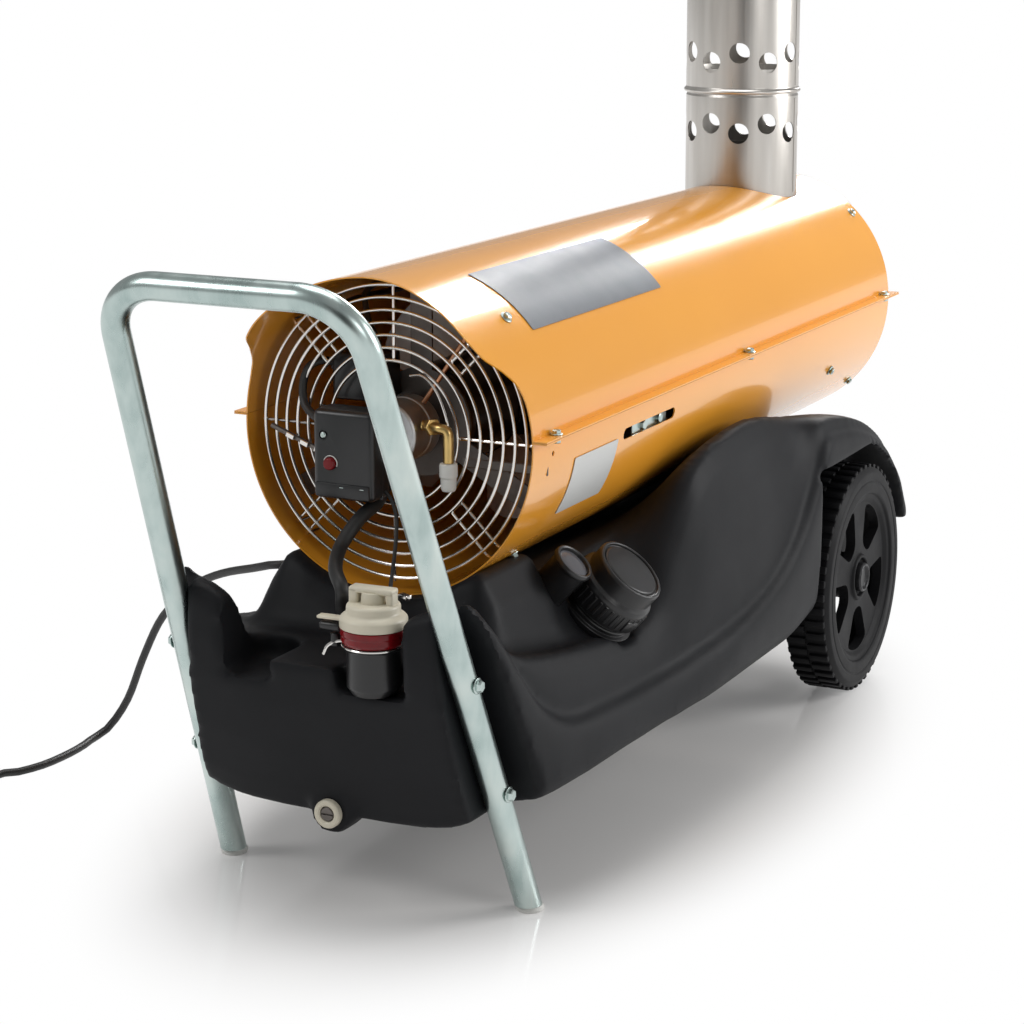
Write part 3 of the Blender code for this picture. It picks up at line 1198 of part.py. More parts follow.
wheel_middle = WHEEL_OUTSIDE - WHEEL_WIDTH / 2
half_width = WHEEL_WIDTH / 2
hub_back = -(wheel_middle - ARCH_WALL - HUB_PLAY)
rim_inner = WHEEL_RADIUS - TYRE_DEPTH
web_front = half_width - WEB_INSET
web_back = web_front - WEB_THICK
hub_front = half_width + HUB_PROUD
bore = AXLE_RADIUS + AXLE_PLAY
shoulder = TYRE_ROUND / 3
wheel_profile = [
    (WHEEL_RADIUS - TYRE_ROUND, half_width), (WHEEL_RADIUS - shoulder, half_width - shoulder),
    (WHEEL_RADIUS, half_width - TYRE_ROUND), (WHEEL_RADIUS, TYRE_ROUND - half_width),
    (WHEEL_RADIUS - TYRE_ROUND, -half_width),
    (rim_inner, -half_width), (rim_inner, web_back), (HUB_RADIUS, web_back), (HUB_RADIUS, hub_back),
    (bore, hub_back), (bore, hub_front), (HUB_RADIUS, hub_front), (HUB_RADIUS, web_front),
    (rim_inner, web_front),
    (rim_inner, half_width)]


def opening_outline():
    """Plan of one opening of the wheel: a wedge with its corners taken off."""
    half = math.pi / WHEEL_OPENINGS * opening_spread_share
    corner = (OPENING_OUTER - OPENING_INNER) / 4
    points = []
    for radius, step in ((OPENING_INNER, -1), (OPENING_OUTER, 1)):
        trim = corner / radius / 2
        for i in range(3):
            angle = step * (-half + trim + (half - trim) * i)
            points.append((radius * math.cos(angle), radius * math.sin(angle)))
        tip = radius - step * corner / 2
        points.append((tip * math.cos(half), step * tip * math.sin(half)))
    last = points.pop(3)
    points.insert(3, (last[0], -abs(last[1])))
    near = OPENING_INNER + corner / 2
    far = OPENING_OUTER - corner / 2
    points.append((near * math.cos(half), near * math.sin(half)))
    points.insert(4, (far * math.cos(half), -far * math.sin(half)))
    return points


opening = extruded_up("opening", opening_outline(), web_back - OVERRUN / 4, web_front + OVERRUN / 4)
for side, word in ((-1, "left"), (1, "right")):
    face_out = (0.0, side * math.pi / 2, 0.0)
    wheel = place("wheel_" + word, turned("wheel", wheel_profile, 32, ring=True), BLACK,
                  at=(side * wheel_middle, WHEEL_PLACE, WHEEL_RADIUS), turn=face_out)
    openings = place("openings_" + word, gathered("openings", [
        (opening, Matrix.Rotation(2 * math.pi * i / WHEEL_OPENINGS, 4, "Z")) for i in range(WHEEL_OPENINGS)]),
        at=(side * wheel_middle, WHEEL_PLACE, WHEEL_RADIUS), turn=face_out)
    cut(wheel, openings)
    cap_place = wheel_middle + hub_front + HUB_PLAY
    place("axle_cap_" + word, turned("axle_cap", [
        (0.0, AXLE_CAP_HEIGHT), (AXLE_CAP_RADIUS - 2 * SHEET, AXLE_CAP_HEIGHT),
        (AXLE_CAP_RADIUS, AXLE_CAP_HEIGHT - 2 * SHEET), (AXLE_CAP_RADIUS, 0.0), (AXLE_RADIUS + GAP, 0.0),
        (AXLE_RADIUS + GAP, AXLE_CAP_HEIGHT / 2 + GAP), (0.0, AXLE_CAP_HEIGHT / 2 + GAP)], 20), ZINC,
        at=(side * cap_place, WHEEL_PLACE, WHEEL_RADIUS), turn=face_out)
axle_end = cap_place + AXLE_CAP_HEIGHT / 2
place("axle", drum("axle", AXLE_RADIUS, -axle_end, axle_end, 16), ZINC, at=(0.0, WHEEL_PLACE, WHEEL_RADIUS),
      turn=ALONG_X)
bottom_behind = keel_shares[-1][2] * TANK_HEIGHT
place("axle_strap", block("axle_strap", (2 * STRAP_HALF_WIDTH, STRAP_DEPTH, STRAP_SHEET),
                          (0.0, 0.0, -GAP - STRAP_SHEET / 2)), DARK_STEEL,
                          at=(0.0, WHEEL_PLACE, bottom_behind))

# Rear stand between the tank and the barrel

half_angle = math.radians(STAND_HALF_ANGLE)
cradle = [(-STAND_FOOT, seat_height + GAP), (STAND_FOOT, seat_height + GAP)]
for i in range(9):
    angle = half_angle - 2 * half_angle * i / 8
    cradle.append(((BARREL_RADIUS + 2 * GAP) * math.sin(angle),
                   BARREL_AXIS - (BARREL_RADIUS + 2 * GAP) * math.cos(angle)))
place("rear_stand", extruded_up("rear_stand", [(x, z) for x, z in cradle], -STAND_WIDTH / 2, STAND_WIDTH / 2),
      DARK_STEEL, at=(0.0, STAND_PLACE, 0.0), turn=(math.pi / 2, 0.0, 0.0))

# Motor, fan and pump on the barrel's axis

motor_rear = MOTOR_FRONT + MOTOR_LENGTH
motor_bore = SHAFT_RADIUS + SHAFT_PLAY
boss_reach = MOTOR_BOSS / 2
place("motor", turned("motor", [
    (MOTOR_BOSS, motor_rear + boss_reach), (MOTOR_BOSS, motor_rear), (MOTOR_RADIUS - BEAD, motor_rear),
    (MOTOR_RADIUS, motor_rear - BEAD), (MOTOR_RADIUS, MOTOR_FRONT + BEAD), (MOTOR_RADIUS - BEAD, MOTOR_FRONT),
    (MOTOR_BOSS, MOTOR_FRONT), (MOTOR_BOSS, MOTOR_FRONT - boss_reach), (motor_bore, MOTOR_FRONT - boss_reach),
    (motor_bore, motor_rear + boss_reach)], 20, ring=True), BLACK, at=axis_at, turn=ALONG_Y)
place("motor_shaft", drum("motor_shaft", SHAFT_RADIUS, SHAFT_FRONT, SHAFT_REAR, 12), ZINC, at=axis_at,
      turn=ALONG_Y)

bracket_place = MOTOR_FRONT - GAP - STRUT_SHEET
bracket = place("motor_bracket", turned("motor_bracket", [
    (MOTOR_RADIUS, STRUT_SHEET), (MOTOR_RADIUS, 0.0), (MOTOR_BOSS + GAP, 0.0),
    (MOTOR_BOSS + GAP, STRUT_SHEET)],
    24, ring=True), DARK_STEEL, at=(0.0, bracket_place, BARREL_AXIS), turn=ALONG_Y)
strut_base = MOTOR_RADIUS * math.cos(math.asin(STRUT_WIDTH / 2 / MOTOR_RADIUS)) - 2 * BEAD
strut_tip = math.sqrt((INNER_RADIUS - 2 * GAP) ** 2 - (STRUT_WIDTH / 2) ** 2) - GAP
strut = block("strut", (strut_tip - strut_base, STRUT_WIDTH, STRUT_SHEET - 2 * GAP),
              ((strut_tip + strut_base) / 2, 0.0, STRUT_SHEET / 2))
joined(bracket, place("motor_struts", gathered("motor_struts", [
    (strut, Matrix.Rotation(math.radians(-degrees), 4, "Z")) for degrees in strut_angles]),
    at=(0.0, bracket_place, BARREL_AXIS), turn=ALONG_Y))


def blade_mesh():
    """One twisted blade with a front and a rear skin."""
    radial, chordal = 3, 3
    shape = bmesh.new()
    skins = []
    for skin in (-1, 1):
        rows = []
        for i in range(radial + 1):
            share = i / radial
            radius = FAN_HUB - 2 * BEAD + (FAN_RADIUS - FAN_HUB + 2 * BEAD) * share
            sweep = math.radians(BLADE_ROOT_ANGLE + (BLADE_TIP_ANGLE - BLADE_ROOT_ANGLE) * share)
            row = []
            for j in range(chordal + 1):
                across = j / chordal - 0.5
                angle = across * sweep
                depth = across * (FAN_DEPTH - FAN_BLADE_SHEET) * (1.0 - FLATTER_TIP_share * share)
                depth += skin * FAN_BLADE_SHEET / 2
                row.append(shape.verts.new((radius * math.cos(angle), radius * math.sin(angle), depth)))
            rows.append(row)
        skins.append(rows)
    for rows in skins:
        for row, outer in zip(rows, rows[1:]):
            for j in range(chordal):
                shape.faces.new((row[j], row[j + 1], outer[j + 1], outer[j]))
    rims = [rows[0] + [row[-1] for row in rows[1:]] + rows[-1][-2::-1] + [row[0] for row in rows[-2:0:-1]]
            for rows in skins]
    count = len(rims[0])
    for i in range(count):
        shape.faces.new((rims[0][i], rims[0][(i + 1) % count], rims[1][(i + 1) % count], rims[1][i]))
    bmesh.ops.recalc_face_normals(shape, faces=shape.faces)
    return mesh_of("blade", shape)


fan = place("fan", turned("fan", [
    (FAN_HUB - BEAD, FAN_DEPTH / 2 + BEAD), (FAN_HUB, FAN_DEPTH / 2), (FAN_HUB, -FAN_DEPTH / 2),
    (SHAFT_RADIUS + GAP, -FAN_DEPTH / 2), (SHAFT_RADIUS + GAP, FAN_DEPTH / 2 + BEAD)], 20, ring=True), ALLOY,
    at=(0.0, FAN_PLACE, BARREL_AXIS), turn=ALONG_Y)
blade = blade_mesh()
joined(fan, place("fan_blades", gathered("fan_blades", [
    (blade, Matrix.Rotation(2 * math.pi * i / FAN_BLADES, 4, "Z")) for i in range(FAN_BLADES)]),
    at=(0.0, FAN_PLACE, BARREL_AXIS), turn=ALONG_Y))

place("fuel_pump", turned("fuel_pump", [
    (0.0, PUMP_REAR), (PUMP_BOSS, PUMP_REAR), (PUMP_BOSS, PUMP_REAR - BEAD),
    (PUMP_RADIUS - BEAD, PUMP_REAR - BEAD),
    (PUMP_RADIUS, PUMP_REAR - 2 * BEAD), (PUMP_RADIUS, PUMP_FRONT + BEAD), (PUMP_RADIUS - BEAD, PUMP_FRONT),
    (0.0, PUMP_FRONT)], 24), ALLOY, at=axis_at, turn=ALONG_Y)


def around(radius, degrees, along):
    """A point at a radius and an angle from the horizontal, as a plain tuple."""
    return tuple(on_barrel(radius, degrees, along))


port_height = BARREL_AXIS + PUMP_PORT_RISE
connector_x, connector_y = CONNECTOR_PLACE
elbow_knee = port_height + ELBOW_RADIUS / 4
elbow_route = smooth_route([
    (PUMP_RADIUS + 2 * GAP, (PUMP_FRONT + PUMP_REAR) / 4, port_height),
    (PUMP_RADIUS + ELBOW_RADIUS, (PUMP_FRONT + PUMP_REAR) / 4.2, port_height),
    (connector_x - 2 * ELBOW_RADIUS, connector_y, elbow_knee),
    (connector_x - ELBOW_RADIUS / 3, connector_y, elbow_knee - ELBOW_RADIUS / 3),
    (connector_x, connector_y, elbow_knee - 2 * ELBOW_RADIUS),
    (connector_x, connector_y, CONNECTOR_TOP + GAP)], 11)
place("pump_elbow", tube_mesh("pump_elbow", elbow_route, ELBOW_RADIUS, 2), BRASS)
place("pump_connector", turned("pump_connector", [
    (0.0, 0.0), (ELBOW_RADIUS + BEAD, 0.0), (CONNECTOR_RADIUS, -BEAD),
    (CONNECTOR_RADIUS, -CONNECTOR_LENGTH / 2),
    (CONNECTOR_RADIUS - BEAD / 2, -CONNECTOR_LENGTH / 2),
    (CONNECTOR_RADIUS - BEAD / 2, BEAD - CONNECTOR_LENGTH),
    (CONNECTOR_RADIUS - BEAD, -CONNECTOR_LENGTH), (0.0, -CONNECTOR_LENGTH)], 16), WHITE,
    at=(connector_x, connector_y, CONNECTOR_TOP))

# Fuel line to the nozzle and leads to the electrodes, past the fan's tips and then inwards

past_fan = (FAN_RADIUS + INNER_RADIUS) / 2
behind_fan = FAN_PLACE + FAN_DEPTH / 2 + 3 * FUEL_LINE
line_start = PUMP_FRONT + (PUMP_REAR - PUMP_FRONT) * LINE_START_share
nozzle_line = smooth_route([
    around(PUMP_RADIUS + GAP, LINE_ANGLE, line_start), around(PUMP_RADIUS * 2, LINE_ANGLE, line_start),
    around(past_fan * 0.8, LINE_ANGLE, line_start), around(past_fan, LINE_ANGLE,
        MOTOR_FRONT - STRUT_WIDTH / 2),
    around(past_fan, LINE_ANGLE, FAN_PLACE - FAN_DEPTH), around(past_fan, LINE_ANGLE, FAN_PLACE),
    around(past_fan * 0.85, LINE_ANGLE, behind_fan), around(past_fan / 2, LINE_ANGLE, behind_fan),
    around(past_fan / 6, LINE_ANGLE, behind_fan + 2 * FUEL_LINE),
        (0.0, behind_fan + 8 * FUEL_LINE, BARREL_AXIS),
    (0.0, nozzle_front - 4 * FUEL_LINE, BARREL_AXIS), (0.0, nozzle_front - GAP, BARREL_AXIS)], 40)
place("nozzle_line", tube_mesh("nozzle_line", nozzle_line, FUEL_LINE, 1), COPPER)

trafo_width, trafo_depth, trafo_height = TRANSFORMER_SIZE
trafo_x, trafo_z = TRANSFORMER_MIDDLE
trafo_y = bracket_place - GAP - trafo_depth / 2
place("transformer", soft_block("transformer", TRANSFORMER_SIZE, TRANSFORMER_EDGE, steps=1), BLACK,
      at=(trafo_x, trafo_y, trafo_z))
rod_height = BARREL_AXIS + (holder_top + holder_base) / 2
rod_front = electrode_holder + rod_reach - ELECTRODE_LENGTH
for word, degrees, start_x, rod_x in (
        ("left", CABLE_ANGLES[0], trafo_x - trafo_width / 4, -ELECTRODE_SPREAD),
        ("right", CABLE_ANGLES[1], trafo_x + trafo_width / 4, ELECTRODE_SPREAD)):
    top = trafo_z + trafo_height / 2
    lead = smooth_route([
        (start_x, trafo_y, top + GAP), (start_x, trafo_y, top + 3 * IGNITION_CABLE),
        around(past_fan * 0.82, degrees, trafo_y + 4 * IGNITION_CABLE),
        around(past_fan, degrees, MOTOR_FRONT + STRUT_WIDTH / 2),
        around(past_fan, degrees, FAN_PLACE - FAN_DEPTH), around(past_fan, degrees, FAN_PLACE),
        around(past_fan * 0.85, degrees, behind_fan), around(past_fan / 2, degrees, behind_fan),
        (rod_x, behind_fan + 4 * IGNITION_CABLE, rod_height + 2 * IGNITION_CABLE),
        (rod_x, rod_front - 3 * IGNITION_CABLE, rod_height), (rod_x, rod_front - GAP, rod_height)], 36)
    place("ignition_cable_" + word, tube_mesh("ignition_cable", lead, IGNITION_CABLE, 1), RUBBER)

# Control box on the pump's face, with its reset button

box_x, box_z = BOX_MIDDLE
box_y = PUMP_FRONT - GAP - BOX_DEPTH / 2
box_front = box_y - BOX_DEPTH / 2
control_box = place("control_box", soft_block("control_box", (BOX_WIDTH, BOX_DEPTH, BOX_HEIGHT), BOX_EDGE),
    BLACK,
                    at=(box_x, box_y, box_z))
button_x, button_z = BUTTON_PLACE
sunk = BUTTON_DEPTH - BUTTON_PROUD
cut(control_box, place("button_bore", drum(
    "button_bore", BUTTON_RADIUS + BUTTON_PLAY, -OVERRUN, sunk + BUTTON_TRAVEL + GAP, 20),
    at=(button_x, box_front, button_z), turn=ALONG_Y))
place("reset_button", turned("reset_button", [
    (0.0, sunk), (BUTTON_RADIUS, sunk), (BUTTON_RADIUS, SHEET - BUTTON_PROUD),
    (BUTTON_RADIUS - SHEET, -BUTTON_PROUD), (0.0, -BUTTON_PROUD)], 20), RED,
    at=(button_x, box_front, button_z), turn=ALONG_Y)

# Thermostat behind the slot in the right wall

thickness, length, height = THERMOSTAT_PLATE
slot_z = BARREL_AXIS - SLOT_DROP
thermostat_face = math.sqrt(INNER_RADIUS ** 2 - (SLOT_DROP + height / 2) ** 2) - GAP
thermostat = place("thermostat", block("thermostat", (thickness, length, height)), ZINC,
                   at=(thermostat_face - thickness / 2, (NUT_PLACE + LIMITER_PLACE) / 2, slot_z))
for name, radius, thick, y, sides in (
        ("thermostat_nut", NUT_RADIUS, NUT_THICK, NUT_PLACE, 6),
        ("thermostat_limiter", LIMITER_RADIUS, LIMITER_THICK, LIMITER_PLACE, 14)):
    joined(thermostat, place(name, drum(name, radius, -BITE, thick, sides), at=(thermostat_face, y, slot_z),
                             turn=ALONG_X))

# Filler on the tank

place("filler_neck", turned("filler_neck", [
    (NECK_RADIUS, NECK_HEIGHT), (NECK_RADIUS, NECK_FLANGE_HEIGHT), (NECK_FLANGE, NECK_FLANGE_HEIGHT),
    (NECK_FLANGE, GAP), (FILLER_BORE + GAP, GAP), (FILLER_BORE + GAP, NECK_HEIGHT)], 24, ring=True), BLACK,
    at=FILLER_BASE, turn=filler_spin)
rim_low = NECK_HEIGHT + GAP
rim_high = rim_low + STRAINER_WALL
place("filler_strainer", turned("filler_strainer", [
    (0.0, STRAINER_WALL - STRAINER_DEPTH), (STRAINER_RADIUS - STRAINER_WALL, STRAINER_WALL - STRAINER_DEPTH),
    (STRAINER_RADIUS - STRAINER_WALL, rim_high), (STRAINER_RIM, rim_high), (STRAINER_RIM, rim_low),
    (STRAINER_RADIUS, rim_low), (STRAINER_RADIUS, -STRAINER_DEPTH), (0.0, -STRAINER_DEPTH)], 16), WHITE,
    at=FILLER_BASE, turn=filler_spin)
cap_top = CAP_BASE + CAP_SKIRT + CAP_TOP_HEIGHT
inside_top = rim_high + GAP
filler_cap = place("filler_cap", turned("filler_cap", [
    (0.0, cap_top), (CAP_TOP_RADIUS - CAP_WALL, cap_top), (CAP_TOP_RADIUS, cap_top - CAP_WALL),
    (CAP_TOP_RADIUS, CAP_BASE + CAP_SKIRT + CAP_WALL), (CAP_RADIUS - CAP_WALL / 2, CAP_BASE + CAP_SKIRT),
    (CAP_RADIUS, CAP_BASE + CAP_SKIRT - CAP_WALL), (CAP_RADIUS, CAP_BASE), (NECK_RADIUS + 2 * GAP, CAP_BASE),
    (NECK_RADIUS + 2 * GAP, inside_top), (0.0, inside_top)], 24), BLACK, at=FILLER_BASE, turn=filler_spin)
place("fuel_gauge", turned("fuel_gauge", [
    (0.0, GAUGE_BEZEL_HEIGHT / 2), (GAUGE_RADIUS - BEAD, GAUGE_BEZEL_HEIGHT / 2),
    (GAUGE_RADIUS, GAUGE_BEZEL_HEIGHT), (GAUGE_BEZEL - BEAD / 2, GAUGE_BEZEL_HEIGHT),
    (GAUGE_BEZEL, GAUGE_BEZEL_HEIGHT / 2), (GAUGE_BEZEL, BEAD / 2), (GAUGE_RADIUS, 0.0),
    (GAUGE_RADIUS, -GAUGE_HEIGHT), (0.0, -GAUGE_HEIGHT)], 18), BLACK,
    at=GAUGE_TOP, turn=filler_spin)

# Fuel filter in the right scoop

filter_x, filter_y = filter_at
filter_base = SCOOP_FLOOR + GAP
filter_body = place("filter_body", turned("filter_body", [
    (0.0, FILTER_RING_BASE - GAP), (FILTER_BODY, FILTER_RING_BASE - GAP),
    (FILTER_BODY, filter_base + 3 * BEAD),
    (FILTER_BODY - 2 * BEAD, filter_base), (0.0, filter_base)], 22), BLACK, at=(filter_x, filter_y, 0.0))
barb_way = Vector(barb_direction_shares).normalized()
barb_start = Vector((filter_x, filter_y, BARB_HEIGHT)) + barb_way * (FILTER_BODY - 2 * BEAD)
barb_tip = barb_start + barb_way * (FILTER_STEM + 2 * BEAD)
joined(filter_body, place("filter_barb", gathered("filter_barb", [
    (drum("barb", HOSE_BORE + SHEET, 0.0, FILTER_STEM + 2 * BEAD, 12), frame_at(barb_start, barb_way))])))
ring_top = FILTER_RING_BASE + FILTER_RING_HEIGHT
place("filter_ring", turned("filter_ring", [
    (0.0, ring_top), (FILTER_RING, ring_top), (FILTER_RING, FILTER_RING_BASE + BEAD),
    (FILTER_RING - BEAD, FILTER_RING_BASE), (0.0, FILTER_RING_BASE)], 22), RED, at=(filter_x, filter_y, 0.0))
cap_low = ring_top + GAP
cap_high = cap_low + FILTER_CAP_HEIGHT
cap_step = cap_low + FILTER_CAP_HEIGHT / 2
filter_cap = place("filter_cap", turned("filter_cap", [
    (0.0, cap_high), (FILTER_BODY - BEAD, cap_high), (FILTER_BODY, cap_high - BEAD),
    (FILTER_BODY, cap_step + BEAD),
    (FILTER_CAP - BEAD, cap_step), (FILTER_CAP, cap_step - BEAD), (FILTER_CAP, cap_low), (0.0, cap_low)],
    22), CREAM,
    at=(filter_x, filter_y, 0.0))
joined(filter_cap, place("filter_grip", soft_block(
    "filter_grip", (FILTER_GRIP_LENGTH, FILTER_GRIP_WIDTH, FILTER_GRIP_HEIGHT + BEAD), BEAD,
    (0.0, 0.0, cap_high + (FILTER_GRIP_HEIGHT - BEAD) / 2), steps=1), at=(filter_x, filter_y, 0.0)))

# Suction hose from the pump, under the control box, to the back of the filter

hose_route = smooth_route([
    *[(x, y, BARREL_AXIS - drop) for x, y, drop in hose_knots],
    tuple(barb_tip + barb_way * (HOSE * 1.4)), tuple(barb_tip + barb_way * GAP)],
    32)
place("suction_hose", tube_mesh("suction_hose", hose_route, HOSE, 2), RUBBER)

# Drain on the tank's front

place("drain_ring", turned("drain_ring", [
    (DRAIN_RING, -GAP), (DRAIN_RING, BEAD / 2 - GAP - DRAIN_RING_THICK),
    (DRAIN_RING - BEAD / 2, -GAP - DRAIN_RING_THICK), (PLUG_HEAD_RADIUS + BOLT_PLAY, -GAP - DRAIN_RING_THICK),
    (PLUG_HEAD_RADIUS + BOLT_PLAY, -GAP)], 18, ring=True), CREAM, at=(0.0, drain_front, DRAIN_HEIGHT),
    turn=ALONG_Y)
drain_plug = place("drain_plug", turned("drain_plug", [
    (0.0, DRAIN_DEPTH - BEAD), (PLUG_RADIUS, DRAIN_DEPTH - BEAD), (PLUG_RADIUS, -GAP),
    (PLUG_HEAD_RADIUS, -GAP),
    (PLUG_HEAD_RADIUS, -GAP - PLUG_HEAD), (0.0, -GAP - PLUG_HEAD)], 20), BRASS,
    at=(0.0, drain_front, DRAIN_HEIGHT), turn=ALONG_Y)
cut(drain_plug, place("drain_slot", block(
    "drain_slot", (4 * PLUG_HEAD_RADIUS, 2 * PLUG_SLOT, PLUG_SLOT)),
    at=(0.0, drain_front - GAP - PLUG_HEAD, DRAIN_HEIGHT)))

# Mains lead: gland, run to the floor, coil of two layers, plug

gland_start = on_barrel(BARREL_RADIUS, GLAND_ANGLE, GLAND_PLACE)
gland_way = outwards(GLAND_ANGLE)
gland_front = GLAND_LENGTH * GLAND_OUTSIDE_share
gland = place("cord_gland", turned("cord_gland", [
    (0.0, gland_front), (GLAND_RADIUS - BEAD, gland_front), (GLAND_RADIUS, gland_front - BEAD),
    (GLAND_RADIUS, GLAND_FLANGE_THICK + BEAD / 2), (GLAND_FLANGE, GLAND_FLANGE_THICK + BEAD / 2),
    (GLAND_FLANGE, BEAD / 2), (GLAND_RADIUS - GAP, BEAD / 2),
    (GLAND_RADIUS - GAP, gland_front - GLAND_LENGTH),
    (0.0, gland_front - GLAND_LENGTH)], 14), RUBBER)
gland.matrix_basis = frame_at(gland_start, gland_way)

circle = Vector(COIL_CENTRE)
outer_radius = COIL_RADIUS + COIL_TURNS * COIL_PITCH / 2
arrival = Vector(cord_knots[-1][:2])
reach = arrival - circle
entry_angle = math.atan2(reach.y, reach.x) - math.acos(outer_radius / reach.length)
entry = circle + Vector((math.cos(entry_angle), math.sin(entry_angle))) * outer_radius
cord_start = gland_start + gland_way * (gland_front + GAP)
cord_route = smooth_route([
    tuple(cord_start), tuple(cord_start + gland_way * 3 * CORD_RADIUS), *cord_knots,
    (*entry, CORD_RADIUS)], 56)
cord_route = [(x, y, max(z, CORD_RADIUS)) for x, y, z in cord_route]
place("power_cord", cord_curve("power_cord", cord_route, CORD_RADIUS, 1), RUBBER)


def coil_points():
    """Clockwise spiral inwards on the floor, half a turn to climb, spiral outwards on top, out to the plug."""
    steps = COIL_STEPS
    whole = 2 * COIL_TURNS * steps + steps // 2
    inner_radius = outer_radius - COIL_TURNS * COIL_PITCH
    points = []
    for i in range(whole + 1):
        angle = entry_angle - 2 * math.pi * i / steps
        inwards = min(i, COIL_TURNS * steps)
        outward = max(i - COIL_TURNS * steps - steps // 2, 0)
        radius = outer_radius - COIL_PITCH * inwards / steps + COIL_PITCH * outward / steps
        climb = min(max(i - COIL_TURNS * steps, 0) / (steps // 2), 1.0)
        spot = circle + Vector((math.cos(angle), math.sin(angle))) * radius
        points.append(Vector((spot.x, spot.y, CORD_RADIUS + COIL_LAYER * climb * climb * (3 - 2 * climb))))
    return points, inner_radius


def least_gap(points):
    """Smallest distance between the surfaces of strands that aren't neighbours along the cord."""
    least = math.inf
    reach = COIL_STEPS // 3
    for i in range(len(points) - 1):
        for j in range(i + reach, len(points) - 1):
            a, b = points[i], points[i + 1] - points[i]
            c, d = points[j], points[j + 1] - points[j]
            if (a - c).length > 2 * COIL_PITCH + b.length + d.length:
                continue
            for s in range(5):
                spot = a + b * s / 4
                t = max(0.0, min(1.0, (spot - c).dot(d) / d.length_squared))
                least = min(least, (spot - c - d * t).length)
    return least - 2 * CORD_RADIUS


coil, inner_radius = coil_points()
leaving = Vector((math.sin(entry_angle + math.pi), -math.cos(entry_angle + math.pi), 0.0))
run_out = [coil[-1] + leaving * TAIL_LENGTH * share for share in (0.25, 0.5, 0.75, 1.0)]
for point, share in zip(run_out, (0.1, 0.5, 0.9, 1.0)):
    point.z += (PLUG_BODY - point.z) * share
coil += run_out
print("coil: least gap between strands %.2f mm" % (1000 * least_gap(coil)))
coil[0] = coil[0].lerp(coil[1], 2 * GAP / (coil[1] - coil[0]).length)
place("cord_coil", cord_curve("cord_coil", coil, CORD_RADIUS, 1), RUBBER)

plug_start = coil[-1] + leaving * GAP
plug = place("plug", turned("plug", [
    (0.0, PLUG_LENGTH), (PLUG_BODY - BEAD, PLUG_LENGTH), (PLUG_BODY, PLUG_LENGTH - BEAD),
    (PLUG_BODY, PLUG_LENGTH * 0.45), (PLUG_BODY * 0.6, PLUG_LENGTH * 0.2), (CORD_RADIUS * 1.5, 0.0),
    (0.0, 0.0)], 20),
    RUBBER)
plug.matrix_basis = frame_at(plug_start, leaving)
pins = place("plug_pins", gathered("plug_pins", [
    (drum("pin", PLUG_PIN, PLUG_LENGTH - BEAD, PLUG_LENGTH + PLUG_PIN_LENGTH, 10),
     Matrix.Translation((side * PLUG_PIN_SPACING / 2, 0.0, 0.0))) for side in (-1, 1)]))
pins.matrix_basis = frame_at(plug_start, leaving)
joined(plug, pins)

# The middle of the machine's length becomes y = 0

bench.location.y = -(TOP_PLACE - TUBE_RADIUS + BARREL_LENGTH) / 2
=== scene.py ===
# %% [markdown]
# # Portable indirect air heater
#
# An orange steel barrel lies on a black fuel tank. A stainless flue stands on it, two wheels carry its
# rear, and one bent tube is both the handle and the front stand. The CAD model already gives every
# piece its place and its size, so this script is about looks: finer meshes where the solids are
# faceted, small trim that a solid can do without, and a finish for each surface.
#
# All sizes are in metres. The bench frame is the easy one to think in: x = 0 is the plane of symmetry,
# z = 0 the floor, and y = 0 the inlet edge of the lower sheet. One matrix takes a finished piece from
# the bench to the frame of the CAD model.

# %% The frame and the bench
import json
import math

import bmesh
import bpy
import numpy as np
from mathutils import Matrix, Vector

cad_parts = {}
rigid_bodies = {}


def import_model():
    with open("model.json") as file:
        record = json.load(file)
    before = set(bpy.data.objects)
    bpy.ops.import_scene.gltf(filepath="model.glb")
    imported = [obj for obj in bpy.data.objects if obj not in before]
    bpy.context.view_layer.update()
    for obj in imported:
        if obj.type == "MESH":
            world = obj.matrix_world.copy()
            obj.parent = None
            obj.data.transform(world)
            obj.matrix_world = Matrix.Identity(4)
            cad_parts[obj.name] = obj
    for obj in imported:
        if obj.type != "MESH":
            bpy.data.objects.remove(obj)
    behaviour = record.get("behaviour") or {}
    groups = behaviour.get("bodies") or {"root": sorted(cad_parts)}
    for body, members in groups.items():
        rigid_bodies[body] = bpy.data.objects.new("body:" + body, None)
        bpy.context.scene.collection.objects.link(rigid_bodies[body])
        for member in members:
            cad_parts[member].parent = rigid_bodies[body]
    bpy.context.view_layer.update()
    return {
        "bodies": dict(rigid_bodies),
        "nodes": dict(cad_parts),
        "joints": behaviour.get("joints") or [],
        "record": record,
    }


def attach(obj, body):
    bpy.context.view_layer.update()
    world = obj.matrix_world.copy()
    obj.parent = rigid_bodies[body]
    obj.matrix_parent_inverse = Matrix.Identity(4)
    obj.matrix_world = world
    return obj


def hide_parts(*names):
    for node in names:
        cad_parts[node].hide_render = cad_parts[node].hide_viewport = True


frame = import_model()

BENCH_TO_ROW = Matrix.Translation((0.0, -0.3232, 0.0))
STILL = Matrix.Identity(4)
MACHINE = "machine"             # the body that nearly every piece rides on

# %% [markdown]
# ## Camera
#
# The photograph was taken from the front right, a little above the barrel, with a long lens. Its
# upright edges are parallel, which means that the camera was held level and the picture was shifted.
# A level camera with all of that shift would be the closest copy, but every other view would be off
# centre by as much. So a small shift is kept, and the camera looks slightly down for the rest.

